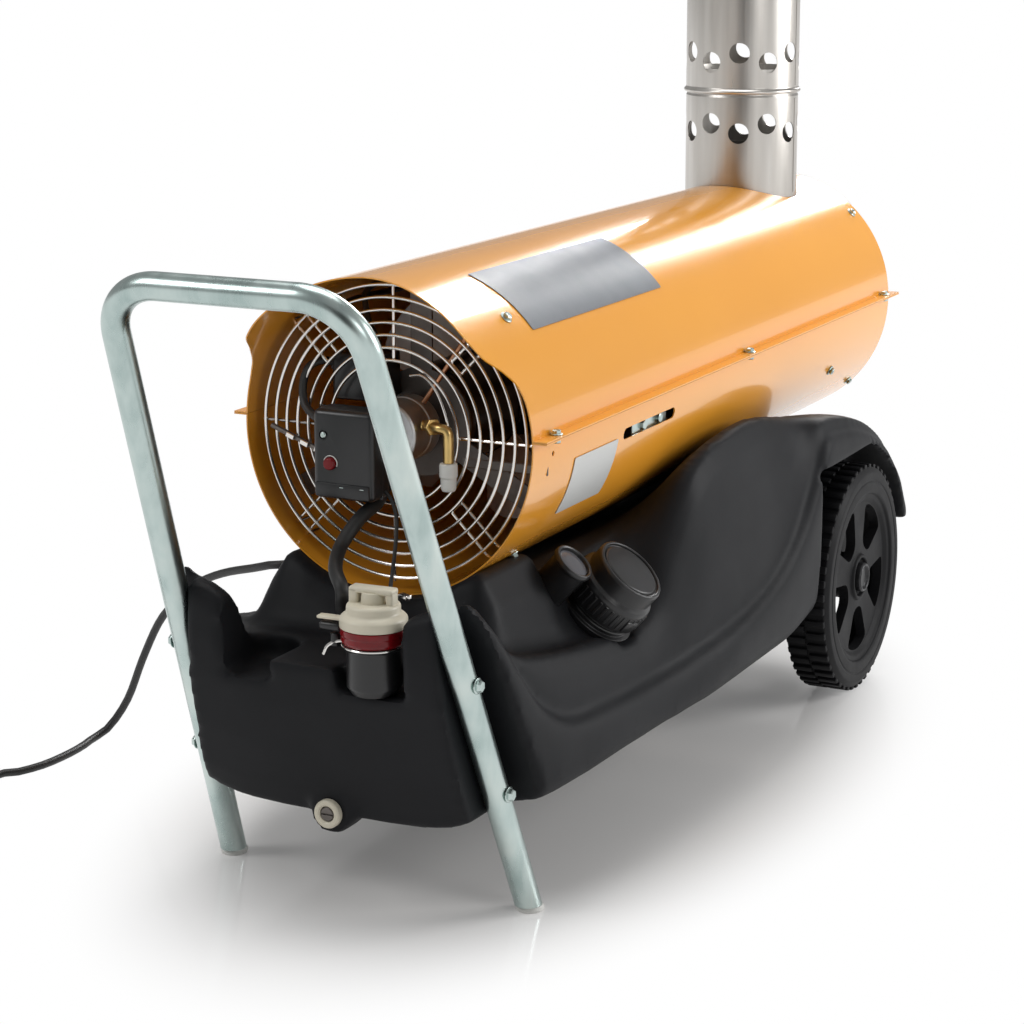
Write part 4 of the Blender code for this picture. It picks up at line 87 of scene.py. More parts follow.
# %% Camera
CAMERA_PLACE = (0.9864, -2.0663, 0.7945)
CAMERA_TURN = 26.564            # degrees to the left of straight ahead
CAMERA_DOWN = 10.123            # degrees below the horizon
CAMERA_LENS = 88.25             # millimetres
SENSOR_WIDTH = 36.0             # millimetres
CAMERA_SHIFT = -0.15            # share of the picture's width

camera_data = bpy.data.cameras.new("camera")
camera_data.lens = CAMERA_LENS
camera_data.sensor_width = SENSOR_WIDTH
camera_data.shift_y = CAMERA_SHIFT
camera = bpy.data.objects.new("camera", camera_data)
camera.location = CAMERA_PLACE
camera.rotation_euler = (math.radians(90.0 - CAMERA_DOWN), 0.0, math.radians(CAMERA_TURN))
bpy.context.scene.collection.objects.link(camera)
bpy.context.scene.camera = camera
print("camera at %.2f %.2f %.2f, %.1f mm" % (*CAMERA_PLACE, CAMERA_LENS))

# %% [markdown]
# ## Shader maths
#
# A finish could be built node by node and link by link, but it is easier to read as arithmetic.
# `Value` wraps the output of a node, and its operators add Math nodes. `Finish` is one material, and
# its `node` method makes any other node from a type, its settings and what goes into its sockets.

# %% Values


class Value:
    """The output of a node; an expression on it adds Math nodes."""

    def __init__(self, finish, socket):
        self.finish = finish
        self.socket = socket

    def maths(self, operation, first, second):
        return self.finish.node("Math", {"operation": operation}, {0: first, 1: second})

    def __add__(self, other):
        return self.maths("ADD", self, other)

    def __mul__(self, other):
        return self.maths("MULTIPLY", self, other)

    __radd__ = __add__              # 0.2 + noise works as noise + 0.2 does
    __rmul__ = __mul__


# %% Finishes as a class


class Finish:
    """One material with a Principled shader."""

    def __init__(self, name, colour, roughness, metallic=0.0, **constants):
        self.material = bpy.data.materials.new(name)
        self.material.use_nodes = True
        self.tree = self.material.node_tree
        self.shader = self.tree.nodes["Principled BSDF"]
        self.material.diffuse_color = (*colour, 1.0)
        self.put("Base Color", (*colour, 1.0))
        self.put("Roughness", roughness)
        self.put("Metallic", metallic)
        for socket, value in constants.items():
            self.put(socket.replace("_", " "), value)

    def plug(self, socket, value):
        if isinstance(value, Value):
            self.tree.links.new(value.socket, socket)
        else:
            socket.default_value = value

    def put(self, socket, value):
        self.plug(self.shader.inputs[socket], value)

    def node(self, kind, settings=None, sockets=None, output=0):
        made = self.tree.nodes.new("ShaderNode" + kind)
        for key, value in (settings or {}).items():
            if key == "stops":
                set_stops(made.color_ramp, value)
            else:
                setattr(made, key, value)
        for key, value in (sockets or {}).items():
            self.plug(made.inputs[key], value)
        return Value(self, made.outputs[output])

    def place(self, stretch=(1.0, 1.0, 1.0)):
        """Object coordinates, stretched."""
        spot = self.node("TexCoord", output="Object")
        return self.node("Mapping", {}, {"Vector": spot, "Scale": stretch})

    def noise(self, scale, detail=2.0, stretch=(1.0, 1.0, 1.0)):
        """Cloudy values from 0 to 1, `scale` of them to the metre."""
        return self.node("TexNoise", {}, {
            "Vector": self.place(stretch), "Scale": scale, "Detail": detail, "Roughness": 0.55}, "Fac")

    def ramp(self, value, stops):
        return self.node("ValToRGB", {"stops": stops}, {0: value}, "Color")

    def bump(self, height, depth):
        """A Bump node; the depth is that of a height of 1, in metres."""
        self.put("Normal", self.node("Bump", {}, {"Strength": 1.0, "Distance": depth, "Height": height}))


def set_stops(ramp, stops):
    """Colour stops of a ramp: (place, colour)."""
    while len(ramp.elements) < len(stops):
        ramp.elements.new(0.5)
    for element, (position, colour) in zip(ramp.elements, stops):
        element.position = position
        element.color = (*colour, 1.0)


# %% [markdown]
# ## Floor and white surroundings
#
# The machine stands on a glossy white table that fades into a white background. A brighter lamp could
# wash the table out, but it would bleach the machine as well. So Light Path's camera, glossy and
# transmission rays see the far table as plain white, and steel reflects that white too. In an oval
# round the machine nearly all of the table's look comes from real light, which keeps the shadow.

# %% Floor
FLOOR_HALF = 60.0
SHADOW_HALF_WIDTH = 0.30        # half axes of the oval
SHADOW_HALF_LENGTH = 0.58
FADE_START = 0.66               # shares of the oval between which the table turns white
FADE_END = 1.12
SHADOW_KEEP = 0.94              # share of real light in the table's look near the machine


def flat_square(name, half):
    """A flat square round the origin, put in the scene."""
    mesh = bpy.data.meshes.new(name)
    mesh.from_pydata([(-half, -half, 0.0), (half, -half, 0.0), (half, half, 0.0), (-half, half, 0.0)], [],
                     [(0, 1, 2, 3)])
    square = bpy.data.objects.new(name, mesh)
    bpy.context.scene.collection.objects.link(square)
    return square


floor = flat_square("floor", FLOOR_HALF)
table = Finish("white_table", (0.80, 0.785, 0.77), 0.11, IOR=1.46)
distance = table.node("VectorMath", {"operation": "LENGTH"}, {
    0: table.place((1.0 / SHADOW_HALF_WIDTH, 1.0 / SHADOW_HALF_LENGTH, 1.0))}, "Value")
fade = table.node("MapRange", {"interpolation_type": "SMOOTHSTEP"}, {
    "Value": distance, "From Min": FADE_START, "From Max": FADE_END,
    "To Min": 1.0 - SHADOW_KEEP, "To Max": 1.0})
seen = table.node("LightPath", output="Is Camera Ray")
mirrored = table.node("LightPath", output="Is Glossy Ray")
through = table.node("LightPath", output="Is Transmission Ray")
white = table.node("Emission", {}, {"Color": (1.0, 1.0, 1.0, 1.0), "Strength": 1.0})
lit = Value(table, table.shader.outputs[0])
factor = (seen + mirrored + through) * fade
surface = table.node("MixShader", {}, {0: factor, 1: lit, 2: white})
table.tree.links.new(surface.socket, table.tree.nodes["Material Output"].inputs["Surface"])
floor.data.materials.append(table.material)
print("table's shadow kept within %.2f x %.2f m" % (
    2 * FADE_START * SHADOW_HALF_WIDTH, 2 * FADE_START * SHADOW_HALF_LENGTH))

# %% [markdown]
# ## Light
#
# A studio lights a machine like this with a few large soft boxes, because a small lamp would leave hard
# spots on the enamel. One world of a single colour would be softer still, but then no edge would
# stand out. So a weak world fills the shadows and five area lamps do the rest: a key from the left, one
# above, one behind, and two on the right that draw the barrel's long highlight. A dark card stands
# behind the camera. The camera never sees it, and polished parts reflect it, as they would reflect
# the dark half of a studio.

# %% World, lamps and card
WORLD_LIGHT = 0.34
lamps = (                       # name, place, size, strength in watts
    ("key_left", (-1.9, -2.3, 2.3), 1.2, 28.0),
    ("rim_right", (2.2, 1.4, 1.15), 1.2, 40.0),
    ("top", (-0.2, 0.3, 2.7), 1.6, 28.0),
    ("behind", (-0.25, 2.5, 1.60), 0.9, 44.0),
    ("front_right", (2.5, -1.2, 1.3), 0.8, 8.0),
)
AIM = Vector((0.0, 0.0, 0.35))  # what the lamps and the card face

world = bpy.data.worlds.new("surroundings")
world.use_nodes = True
world.node_tree.nodes["Background"].inputs["Color"].default_value = (1.0, 1.0, 1.0, 1.0)
world.node_tree.nodes["Background"].inputs["Strength"].default_value = WORLD_LIGHT
bpy.context.scene.world = world
for name, spot, size, power in lamps:
    lamp_data = bpy.data.lights.new(name, "AREA")
    lamp_data.size = size
    lamp_data.energy = power
    lamp = bpy.data.objects.new(name, lamp_data)
    lamp.location = spot
    lamp.rotation_euler = (AIM - Vector(spot)).to_track_quat("-Z", "Y").to_euler()
    lamp.visible_camera = False
    bpy.context.scene.collection.objects.link(lamp)
bpy.context.scene.view_settings.view_transform = "Standard"

CARD_HALF = 0.75
CARD_BEHIND = 0.35              # from the camera, away from the machine
card = flat_square("dark_card", CARD_HALF)
card.location = Vector(CAMERA_PLACE) + (Vector(CAMERA_PLACE) - AIM).normalized() * CARD_BEHIND
card.rotation_euler = (AIM - card.location).to_track_quat("Z", "Y").to_euler()
card.visible_camera = False
card.data.materials.append(Finish("black_cloth", (0.02, 0.02, 0.02), 0.9).material)
print(len(lamps), "lamps,", sum(power for name, spot, size, power in lamps), "W")

# %% [markdown]
# ## Finishes
#
# Each finish is named for what it is on the real machine. Enamel on rolled sheet has a faint orange
# peel and a clear, glossy skin. The tank is moulded in a textured tool, so it scatters light in a
# fine grain. Zinc plate is slightly blue and green and streaked along the tube, and the stainless
# flue is brushed upwards. Pictures of such surfaces would need unwrapped pieces and would show their
# seams. Noise in three dimensions needs neither, and stretching it gives streaks.

# %% Painted and plated metal
finishes = {}

enamel = Finish("orange_enamel", (0.86, 0.365, 0.032), 0.20, Coat_Weight=0.6, Coat_Roughness=0.06)
dust = enamel.noise(7.0, 5.0)
enamel.put("Roughness", 0.16 + dust * 0.12)
enamel.put("Base Color", enamel.ramp(enamel.noise(3.0, 3.0), (
    (0.3, (0.84, 0.350, 0.030)), (0.7, (0.88, 0.380, 0.034)))))
enamel.bump(enamel.noise(420.0, 1.0), 0.00004)
finishes["orange_enamel"] = enamel.material

zinc = Finish("zinc_plate", (0.50, 0.59, 0.57), 0.26, 1.0)
streak = zinc.noise(60.0, 4.0, (1.0, 1.0, 0.12))
cloud = zinc.noise(18.0, 3.0)
zinc.put("Base Color", zinc.ramp(cloud * 0.5 + streak * 0.5, (
    (0.35, (0.37, 0.46, 0.445)), (0.52, (0.50, 0.59, 0.57)), (0.68, (0.60, 0.67, 0.64)))))
zinc.put("Roughness", 0.20 + streak * 0.18)
zinc.bump(zinc.noise(700.0, 2.0, (1.0, 1.0, 0.2)), 0.00002)
finishes["zinc_plate"] = zinc.material

stainless = Finish("stainless", (0.56, 0.53, 0.49), 0.30, 1.0)
brushed = stainless.noise(900.0, 3.0, (1.0, 1.0, 0.01))
band = stainless.noise(26.0, 3.0, (1.0, 1.0, 0.10))
stainless.put("Base Color", stainless.ramp(band, (
    (0.32, (0.40, 0.375, 0.345)), (0.5, (0.55, 0.525, 0.49)), (0.68, (0.68, 0.655, 0.62)))))
stainless.put("Roughness", 0.22 + brushed * 0.20)
stainless.bump(brushed, 0.00002)
finishes["stainless"] = stainless.material

chrome = Finish("bright_wire", (0.72, 0.70, 0.67), 0.16, 1.0)
chrome.put("Roughness", 0.12 + chrome.noise(160.0, 3.0) * 0.14)
finishes["bright_wire"] = chrome.material

hot_steel = Finish("heat_resisting_steel", (0.20, 0.18, 0.17), 0.50, 1.0)
hot_steel.put("Base Color", hot_steel.ramp(hot_steel.noise(30.0, 4.0), (
    (0.3, (0.15, 0.135, 0.125)), (0.7, (0.21, 0.190, 0.178)))))
hot_steel.put("Roughness", 0.42 + hot_steel.noise(90.0, 3.0) * 0.25)
finishes["heat_resisting_steel"] = hot_steel.material

alloy = Finish("cast_alloy", (0.50, 0.50, 0.50), 0.42, 1.0)
alloy.put("Roughness", 0.34 + alloy.noise(300.0, 3.0) * 0.25)
alloy.bump(alloy.noise(900.0, 3.0), 0.00006)
finishes["cast_alloy"] = alloy.material

for slot, colour in (("brass", (0.66, 0.46, 0.18)), ("copper_line", (0.60, 0.30, 0.17))):
    metal = Finish(slot, colour, 0.28, 1.0)
    metal.put("Roughness", 0.22 + metal.noise(120.0, 3.0) * 0.20)
    metal.put("Base Color", metal.ramp(metal.noise(60.0, 3.0), (
        (0.3, tuple(0.72 * part for part in colour)), (0.65, colour))))
    finishes[slot] = metal.material
print(len(finishes), "metals and enamels")

# %% Plate metal
dark_plate = Finish("dark_plate", (0.135, 0.145, 0.165), 0.40)
dark_plate.put("Roughness", 0.34 + dark_plate.noise(40.0, 4.0) * 0.16)
dark_plate.put("Base Color", dark_plate.ramp(dark_plate.noise(12.0, 3.0), (
    (0.3, (0.125, 0.135, 0.155)), (0.7, (0.150, 0.160, 0.180)))))
finishes["dark_plate"] = dark_plate.material

silver_plate = Finish("silver_plate", (0.60, 0.61, 0.60), 0.34, 0.35)
silver_plate.put("Roughness", 0.28 + silver_plate.noise(500.0, 3.0, (1.0, 0.03, 1.0)) * 0.20)
finishes["silver_plate"] = silver_plate.material
print(len(finishes), "finishes, the two bare plates among them")

# %% Plastics and rubber
moulded = Finish("moulded_black", (0.011, 0.0115, 0.013), 0.50, Specular_IOR_Level=0.13)
grain = moulded.noise(1500.0, 2.0)
moulded.put("Roughness", 0.42 + moulded.noise(16.0, 4.0) * 0.12 + grain * 0.06)
moulded.put("Base Color", moulded.ramp(moulded.noise(6.0, 4.0), (
    (0.3, (0.009, 0.0095, 0.011)), (0.7, (0.014, 0.0145, 0.0165)))))
moulded.bump(grain + moulded.noise(380.0, 2.0) * 0.6, 0.00006)
finishes["moulded_black"] = moulded.material

for slot, colour, roughness, grains in (
        ("black_plastic", (0.013, 0.013, 0.014), 0.30, 900.0),
        ("black_rubber", (0.016, 0.016, 0.016), 0.48, 700.0),
        ("cream_plastic", (0.72, 0.67, 0.54), 0.36, 500.0),
        ("white_plastic", (0.74, 0.74, 0.71), 0.34, 500.0)):
    plastic = Finish(slot, colour, roughness)
    plastic.put("Roughness", roughness - 0.04 + plastic.noise(70.0, 3.0) * 0.14)
    plastic.put("Base Color", plastic.ramp(plastic.noise(24.0, 3.0), (
        (0.3, tuple(0.90 * part for part in colour)), (0.7, tuple(1.06 * part for part in colour)))))
    plastic.bump(plastic.noise(grains, 2.0), 0.00004)
    finishes[slot] = plastic.material

tyre = Finish("moulded_wheel", (0.008, 0.008, 0.009), 0.56, Specular_IOR_Level=0.15)
tyre.put("Roughness", 0.44 + tyre.noise(45.0, 4.0) * 0.20)
tyre.bump(tyre.noise(650.0, 2.0), 0.00008)

ruby = Finish("red_plastic", (0.20, 0.004, 0.008), 0.22, Specular_IOR_Level=0.35)
ruby.put("Base Color", ruby.ramp(ruby.noise(40.0, 2.0), (
    (0.3, (0.12, 0.002, 0.004)), (0.7, (0.26, 0.006, 0.010)))))
ruby.put("Roughness", 0.18 + ruby.noise(90.0, 2.0) * 0.08)
finishes["red_plastic"] = ruby.material

print(len(finishes) + 1, "finishes with that of the wheels")

# %% [markdown]
# ## Shapes
#
# A handful of shapes makes most of the machine: a profile turned round an axis, a tube along a route,
# a box with soft edges, an outline carried along a line. Blender's own cylinders and cubes could be
# stacked up instead, but each would keep its sharp rims. Real corners are never quite sharp, and the
# thin highlight on them is what makes a part look made, so `rounded` takes the corners off a profile
# before it is turned.

# %% Profiles and tubes
WELD = 0.00001                  # closer to the axis than this is on it


def turns(count):
    """Equal steps round a full turn, in radians."""
    return [math.tau * i / count for i in range(count)]


def mesh_of(name, shape):
    """Writes a bmesh into a new mesh."""
    mesh = bpy.data.meshes.new(name)
    shape.to_mesh(mesh)
    shape.free()
    return mesh


def rounded(points, radius, steps=3, ring=False):
    """A polyline whose corners are short arcs."""
    points = [Vector(point) for point in points]
    count = len(points)
    line = []
    for i, corner in enumerate(points):
        if not ring and i in (0, count - 1):
            line.append(corner)
            continue
        before = points[i - 1] - corner
        after = points[(i + 1) % count] - corner
        reach = min(radius, 0.45 * before.length, 0.45 * after.length)
        start = corner + before.normalized() * reach
        end = corner + after.normalized() * reach
        for step in range(steps + 1):
            t = step / steps
            line.append(start * (1 - t) ** 2 + corner * 2 * t * (1 - t) + end * t ** 2)
    return line


def turned(profile, sides=64, soften=0.0, ring=False):
    """Turns (radius, height) points round Z; a solid starts and ends on the axis, a ring closes."""
    line = rounded(profile, soften, ring=ring) if soften else profile
    shape = bmesh.new()
    rows = []
    for radius, height in line:
        if radius < WELD:
            rows.append([shape.verts.new((0.0, 0.0, height))] * sides)
        else:
            rows.append([shape.verts.new((radius * math.cos(angle), radius * math.sin(angle), height))
                         for angle in turns(sides)])
    for low, high in list(zip(rows, rows[1:])) + ([(rows[-1], rows[0])] if ring else []):
        for i in range(sides):
            j = (i + 1) % sides
            corners = list(dict.fromkeys((low[i], low[j], high[j], high[i])))
            if len(corners) > 2:
                shape.faces.new(corners)
    bmesh.ops.recalc_face_normals(shape, faces=shape.faces)
    return mesh_of("turned", shape)


def tube(route, radius, sides=16, closed=False):
    """A round tube along a route, with flat ends unless the route is a closed loop."""
    route = [Vector(point) for point in route]
    count = len(route)
    shape = bmesh.new()
    rings = []
    side = None
    for i, spot in enumerate(route):
        before = route[i - 1] if i or closed else spot
        after = route[(i + 1) % count] if i < count - 1 or closed else spot
        way = (after - before).normalized()
        side = side or way.orthogonal()
        side = (side - way * side.dot(way)).normalized()
        other = way.cross(side)
        rings.append([shape.verts.new(spot + (side * math.cos(angle) + other * math.sin(angle)) * radius)
                      for angle in turns(sides)])
    for near, far in list(zip(rings, rings[1:])) + ([(rings[-1], rings[0])] if closed else []):
        for k in range(sides):
            shape.faces.new((near[k], near[(k + 1) % sides], far[(k + 1) % sides], far[k]))
    if not closed:
        shape.faces.new(rings[0])
        shape.faces.new(rings[-1])
    bmesh.ops.recalc_face_normals(shape, faces=shape.faces)
    return mesh_of("tube", shape)


# %% Boxes and outlines


def soft_box(size, edge, middle=(0.0, 0.0, 0.0), steps=3):
    """A box with rounded edges."""
    shape = bmesh.new()
    bmesh.ops.create_cube(shape, size=1.0)
    bmesh.ops.scale(shape, vec=size, verts=shape.verts)
    bmesh.ops.bevel(shape, geom=shape.edges[:], offset=edge, segments=steps, profile=0.5, affect="EDGES")
    bmesh.ops.translate(shape, vec=middle, verts=shape.verts)
    return mesh_of("box", shape)


def carried(outline, low, high):
    """A flat outline (x, y) carried along Z, closed at both ends."""
    shape = bmesh.new()
    floor_face = shape.faces.new([shape.verts.new((x, y, low)) for x, y in outline])
    walls = bmesh.ops.extrude_face_region(shape, geom=[floor_face])["geom"]
    lifted = [piece for piece in walls if isinstance(piece, bmesh.types.BMVert)]
    bmesh.ops.translate(shape, vec=(0.0, 0.0, high - low), verts=lifted)
    bmesh.ops.recalc_face_normals(shape, faces=shape.faces)
    return mesh_of("carried", shape)


# %% Meshes put together


def gathered(*pieces):
    """Several (mesh, matrix) as one mesh; a mirroring matrix keeps its faces outwards."""
    shape = bmesh.new()
    for mesh, matrix in pieces:
        verts, faces = len(shape.verts), len(shape.faces)
        shape.from_mesh(mesh)
        shape.verts.ensure_lookup_table()
        shape.faces.ensure_lookup_table()
        bmesh.ops.transform(shape, matrix=matrix, verts=shape.verts[verts:])
        if matrix.determinant() < 0:
            bmesh.ops.reverse_faces(shape, faces=shape.faces[faces:])
    return mesh_of("gathered", shape)


def moved(mesh, matrix):
    return gathered((mesh, matrix))


def baked(item):
    """The evaluated mesh of an object; the object goes."""
    bpy.context.view_layer.update()
    graph = bpy.context.evaluated_depsgraph_get()
    mesh = bpy.data.meshes.new_from_object(item.evaluated_get(graph))
    bpy.data.objects.remove(item)
    return mesh


def helper(mesh):
    """A passing object for a modifier."""
    item = bpy.data.objects.new("helper", mesh)
    bpy.context.scene.collection.objects.link(item)
    return item


def carved(mesh, *steps):
    """Exact Booleans in turn, each an operation and a mesh."""
    body = helper(mesh)
    others = []
    for operation, other in steps:
        others.append(helper(other))
        modifier = body.modifiers.new(operation, "BOOLEAN")
        modifier.operation = operation
        modifier.solver = "EXACT"
        modifier.object = others[-1]
    result = baked(body)
    for other in others:
        bpy.data.objects.remove(other)
    return result


# %% Places and finished pieces


def frame_at(point, direction):
    """Matrix that stands a shape made along Z at a point, along a direction."""
    turn = Vector(direction).normalized().to_track_quat("Z", "Y").to_matrix().to_4x4()
    return Matrix.Translation(point) @ turn


def show(name, mesh, slot, body=MACHINE, replaces=(), material=None, crease=32.0):
    """A finished piece: moved to the CAD frame, shaded, given its finish and its body."""
    mesh.transform(BENCH_TO_ROW)
    mesh.name = name
    mesh.polygons.foreach_set("use_smooth", [True] * len(mesh.polygons))
    mesh.set_sharp_from_angle(angle=math.radians(crease))
    mesh.materials.clear()
    mesh.materials.append(material or finishes[slot])
    piece = bpy.data.objects.new(name, mesh)
    bpy.context.scene.collection.objects.link(piece)
    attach(piece, body)
    if replaces:
        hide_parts(*replaces)
    print("%-22s %6d faces" % (name, len(mesh.polygons)))
    return piece


# %% [markdown]
# ## Curves
#
# Straight lines between measured points would show as kinks, and an ordinary spline swings past its
# points. So two kinds of curve are used. `glide` runs through stops without overshooting, which suits
# a feature line of a moulding. `smooth_route` runs through knots in space and returns evenly spaced
# points, which suits hoses and leads.

# %% Curves


def glide(stops, place_wanted):
    """Monotone cubic through (place, value) stops."""
    places = np.array([stop[0] for stop in stops])
    values = np.array([stop[1] for stop in stops])
    steps = np.diff(places)
    slopes = np.diff(values) / steps
    tangents = np.zeros(len(stops))
    for i in range(1, len(stops) - 1):
        if slopes[i - 1] * slopes[i] > 0:
            before = 2 * steps[i] + steps[i - 1]
            after = steps[i] + 2 * steps[i - 1]
            tangents[i] = (before + after) / (before / slopes[i - 1] + after / slopes[i])
    i = int(np.clip(np.searchsorted(places, place_wanted) - 1, 0, len(steps) - 1))
    t = float(np.clip((place_wanted - places[i]) / steps[i], 0.0, 1.0))
    start = (1 + 2 * t) * (1 - t) ** 2 * values[i] + t * (1 - t) ** 2 * steps[i] * tangents[i]
    end = t * t * (3 - 2 * t) * values[i + 1] - t * t * (1 - t) * steps[i] * tangents[i + 1]
    return float(start + end)


KNOT_STEPS = 40                 # points from one knot to the next, before they are spaced evenly


def smooth_route(knots, count):
    """Points evenly spaced along a Catmull-Rom curve through the knots."""
    knots = [np.array(knot, float) for knot in knots]
    padded = [2 * knots[0] - knots[1], *knots, 2 * knots[-1] - knots[-2]]
    dense = []
    for a, b, c, d in zip(padded, padded[1:], padded[2:], padded[3:]):
        for t in np.linspace(0.0, 1.0, KNOT_STEPS, endpoint=False):
            dense.append(0.5 * (2 * b + (c - a) * t + (2 * a - 5 * b + 4 * c - d) * t ** 2
                                + (3 * b - a - 3 * c + d) * t ** 3))
    dense.append(knots[-1])
    dense = np.array(dense)
    run = np.concatenate([[0.0], np.cumsum(np.linalg.norm(np.diff(dense, axis=0), axis=1))])
    wanted = np.linspace(0.0, run[-1], count)
    return [tuple(np.interp(s, run, dense[:, axis]) for axis in range(3)) for s in wanted]


# %% Places on the barrel
BARREL_RADIUS = 0.1338
BARREL_LENGTH = 0.890
BARREL_AXIS = 0.374             # height of the axis
SHEET = 0.0012


def on_barrel(radius, degrees, along):
    """A point at a radius and an angle from the horizontal, seen from the inlet."""
    angle = math.radians(degrees)
    return Vector((radius * math.cos(angle), along, BARREL_AXIS + radius * math.sin(angle)))


def outwards(degrees):
    angle = math.radians(degrees)
    return Vector((math.cos(angle), 0.0, math.sin(angle)))


print("barrel of %.1f x %.0f mm" % (2000 * BARREL_RADIUS, 1000 * BARREL_LENGTH))

# %% [markdown]
# ## Mains lead
#
# A rubber lead of 7.5 mm leaves the barrel's left side through a tapered gland, arches over the tank's
# shoulder, sags to the floor and runs out of the picture at the left. The length that the camera
# doesn't see lies just outside the view in a neat coil of two layers, with the plug beside it. The
# route is the one that the CAD model has. A mesh would look the same, but a curve with one open
# spline keeps the lead's length at hand, so the lead is that. The gland and the plug are turned.

# %% Mains lead
CORD_RADIUS = 0.00375
GLAND_RADIUS = 0.0085
GLAND_LENGTH = 0.034
GLAND_OUTSIDE = 0.02312         # the part of the gland outside the barrel
GLAND_ANGLE = 216.0
GLAND_PLACE = 0.130
PLUG_BODY = 0.0185
PLUG_LENGTH = 0.036
TAIL_LENGTH = 0.045             # from the coil to the plug
COIL_TURNS = 2                  # in each of two layers, with one more half turn to climb
COIL_STEPS = 24                 # points in a turn
COIL_RADIUS = 0.041
COIL_PITCH = 0.0098
COIL_LAYER = 0.0080
COIL_CENTRE = Vector((-0.500, -0.070))
LEAD_POINTS = 56                # from the gland to the coil
GAP = 0.0003                    # between pieces that rest against each other
cord_knots = (
    (-0.1445, 0.1285, 0.2630), (-0.1462, 0.1245, 0.2480), (-0.1455, 0.1150, 0.2350),
    (-0.1460, 0.1030, 0.2275), (-0.1510, 0.0925, 0.2255), (-0.1660, 0.0895, 0.2245),
    (-0.1920, 0.1000, 0.2160), (-0.2380, 0.1200, 0.2010), (-0.2770, 0.1360, 0.1830),
    (-0.3100, 0.1500, 0.1590), (-0.3400, 0.1630, 0.1310), (-0.3690, 0.1750, 0.0870),
    (-0.3950, 0.1860, 0.0410), (-0.4150, 0.1830, 0.0110), (-0.4200, 0.1640, CORD_RADIUS),
    (-0.4160, 0.1400, CORD_RADIUS), (-0.4140, 0.1140, CORD_RADIUS), (-0.4160, 0.0790, CORD_RADIUS),
    (-0.4250, 0.0520, CORD_RADIUS), (-0.4380, 0.0320, CORD_RADIUS),
)
gland_spot = on_barrel(BARREL_RADIUS, GLAND_ANGLE, GLAND_PLACE)
gland_way = outwards(GLAND_ANGLE)
cord_exit = gland_spot + gland_way * (GLAND_OUTSIDE + GAP)
outer_turn = COIL_RADIUS + COIL_TURNS * COIL_PITCH / 2
reach = Vector(cord_knots[-1][:2]) - COIL_CENTRE
entry_angle = math.atan2(reach.y, reach.x) - math.acos(outer_turn / reach.length)
entry = COIL_CENTRE + Vector((math.cos(entry_angle), math.sin(entry_angle))) * outer_turn
run = smooth_route([tuple(cord_exit), tuple(cord_exit + gland_way * 3 * CORD_RADIUS), *cord_knots,
                    (*entry, CORD_RADIUS)], LEAD_POINTS)
lead = [Vector((x, y, max(z, CORD_RADIUS))) for x, y, z in run]
print(len(lead), "points to the coil")

# %% Coil and tail
for i in range(1, 2 * COIL_TURNS * COIL_STEPS + COIL_STEPS // 2 + 1):
    angle = entry_angle - math.tau * i / COIL_STEPS
    inwards = min(i, COIL_TURNS * COIL_STEPS)
    outward = max(i - COIL_TURNS * COIL_STEPS - COIL_STEPS // 2, 0)
    radius = outer_turn - COIL_PITCH * (inwards - outward) / COIL_STEPS
    climb = min(max(i - COIL_TURNS * COIL_STEPS, 0) / (COIL_STEPS // 2), 1.0)
    spot = COIL_CENTRE + Vector((math.cos(angle), math.sin(angle))) * radius
    lead.append(Vector((spot.x, spot.y, CORD_RADIUS + COIL_LAYER * climb * climb * (3 - 2 * climb))))
leaving = Vector((math.sin(entry_angle + math.pi), -math.cos(entry_angle + math.pi), 0.0))
last_turn = lead[-1].copy()
for share, lift in ((0.25, 0.1), (0.5, 0.5), (0.75, 0.9), (1.0, 1.0)):
    spot = last_turn + leaving * TAIL_LENGTH * share
    spot.z += (PLUG_BODY - spot.z) * lift
    lead.append(spot)
cord_length = sum((b - a).length for a, b in zip(lead, lead[1:]))
print("lead of %.3f m" % cord_length)

# %% Gland and plug
GLAND_FLANGE = 0.0120
PIN_RADIUS = 0.0024
PIN_OUT = 0.0095                # from the plug's axis
PLUG_GRIPS = (0.020, 0.024, 0.028)      # places of the ribs round the plug

gland = moved(turned([
    (0.0, GLAND_OUTSIDE), (CORD_RADIUS + 0.0006, GLAND_OUTSIDE),
    (CORD_RADIUS + 0.0016, GLAND_OUTSIDE - 0.001), (GLAND_RADIUS - 0.0022, 0.0062),
    (GLAND_RADIUS, 0.0048), (GLAND_FLANGE, 0.0044), (GLAND_FLANGE, 0.0013),
    (GLAND_RADIUS - 0.0006, 0.0011), (GLAND_RADIUS - 0.0006, GLAND_OUTSIDE - GLAND_LENGTH),
    (0.0, GLAND_OUTSIDE - GLAND_LENGTH)], 40, 0.0006), frame_at(gland_spot, gland_way))
gland_piece = show("cord_gland_rubber", gland, "black_rubber", replaces=("cord_gland",))

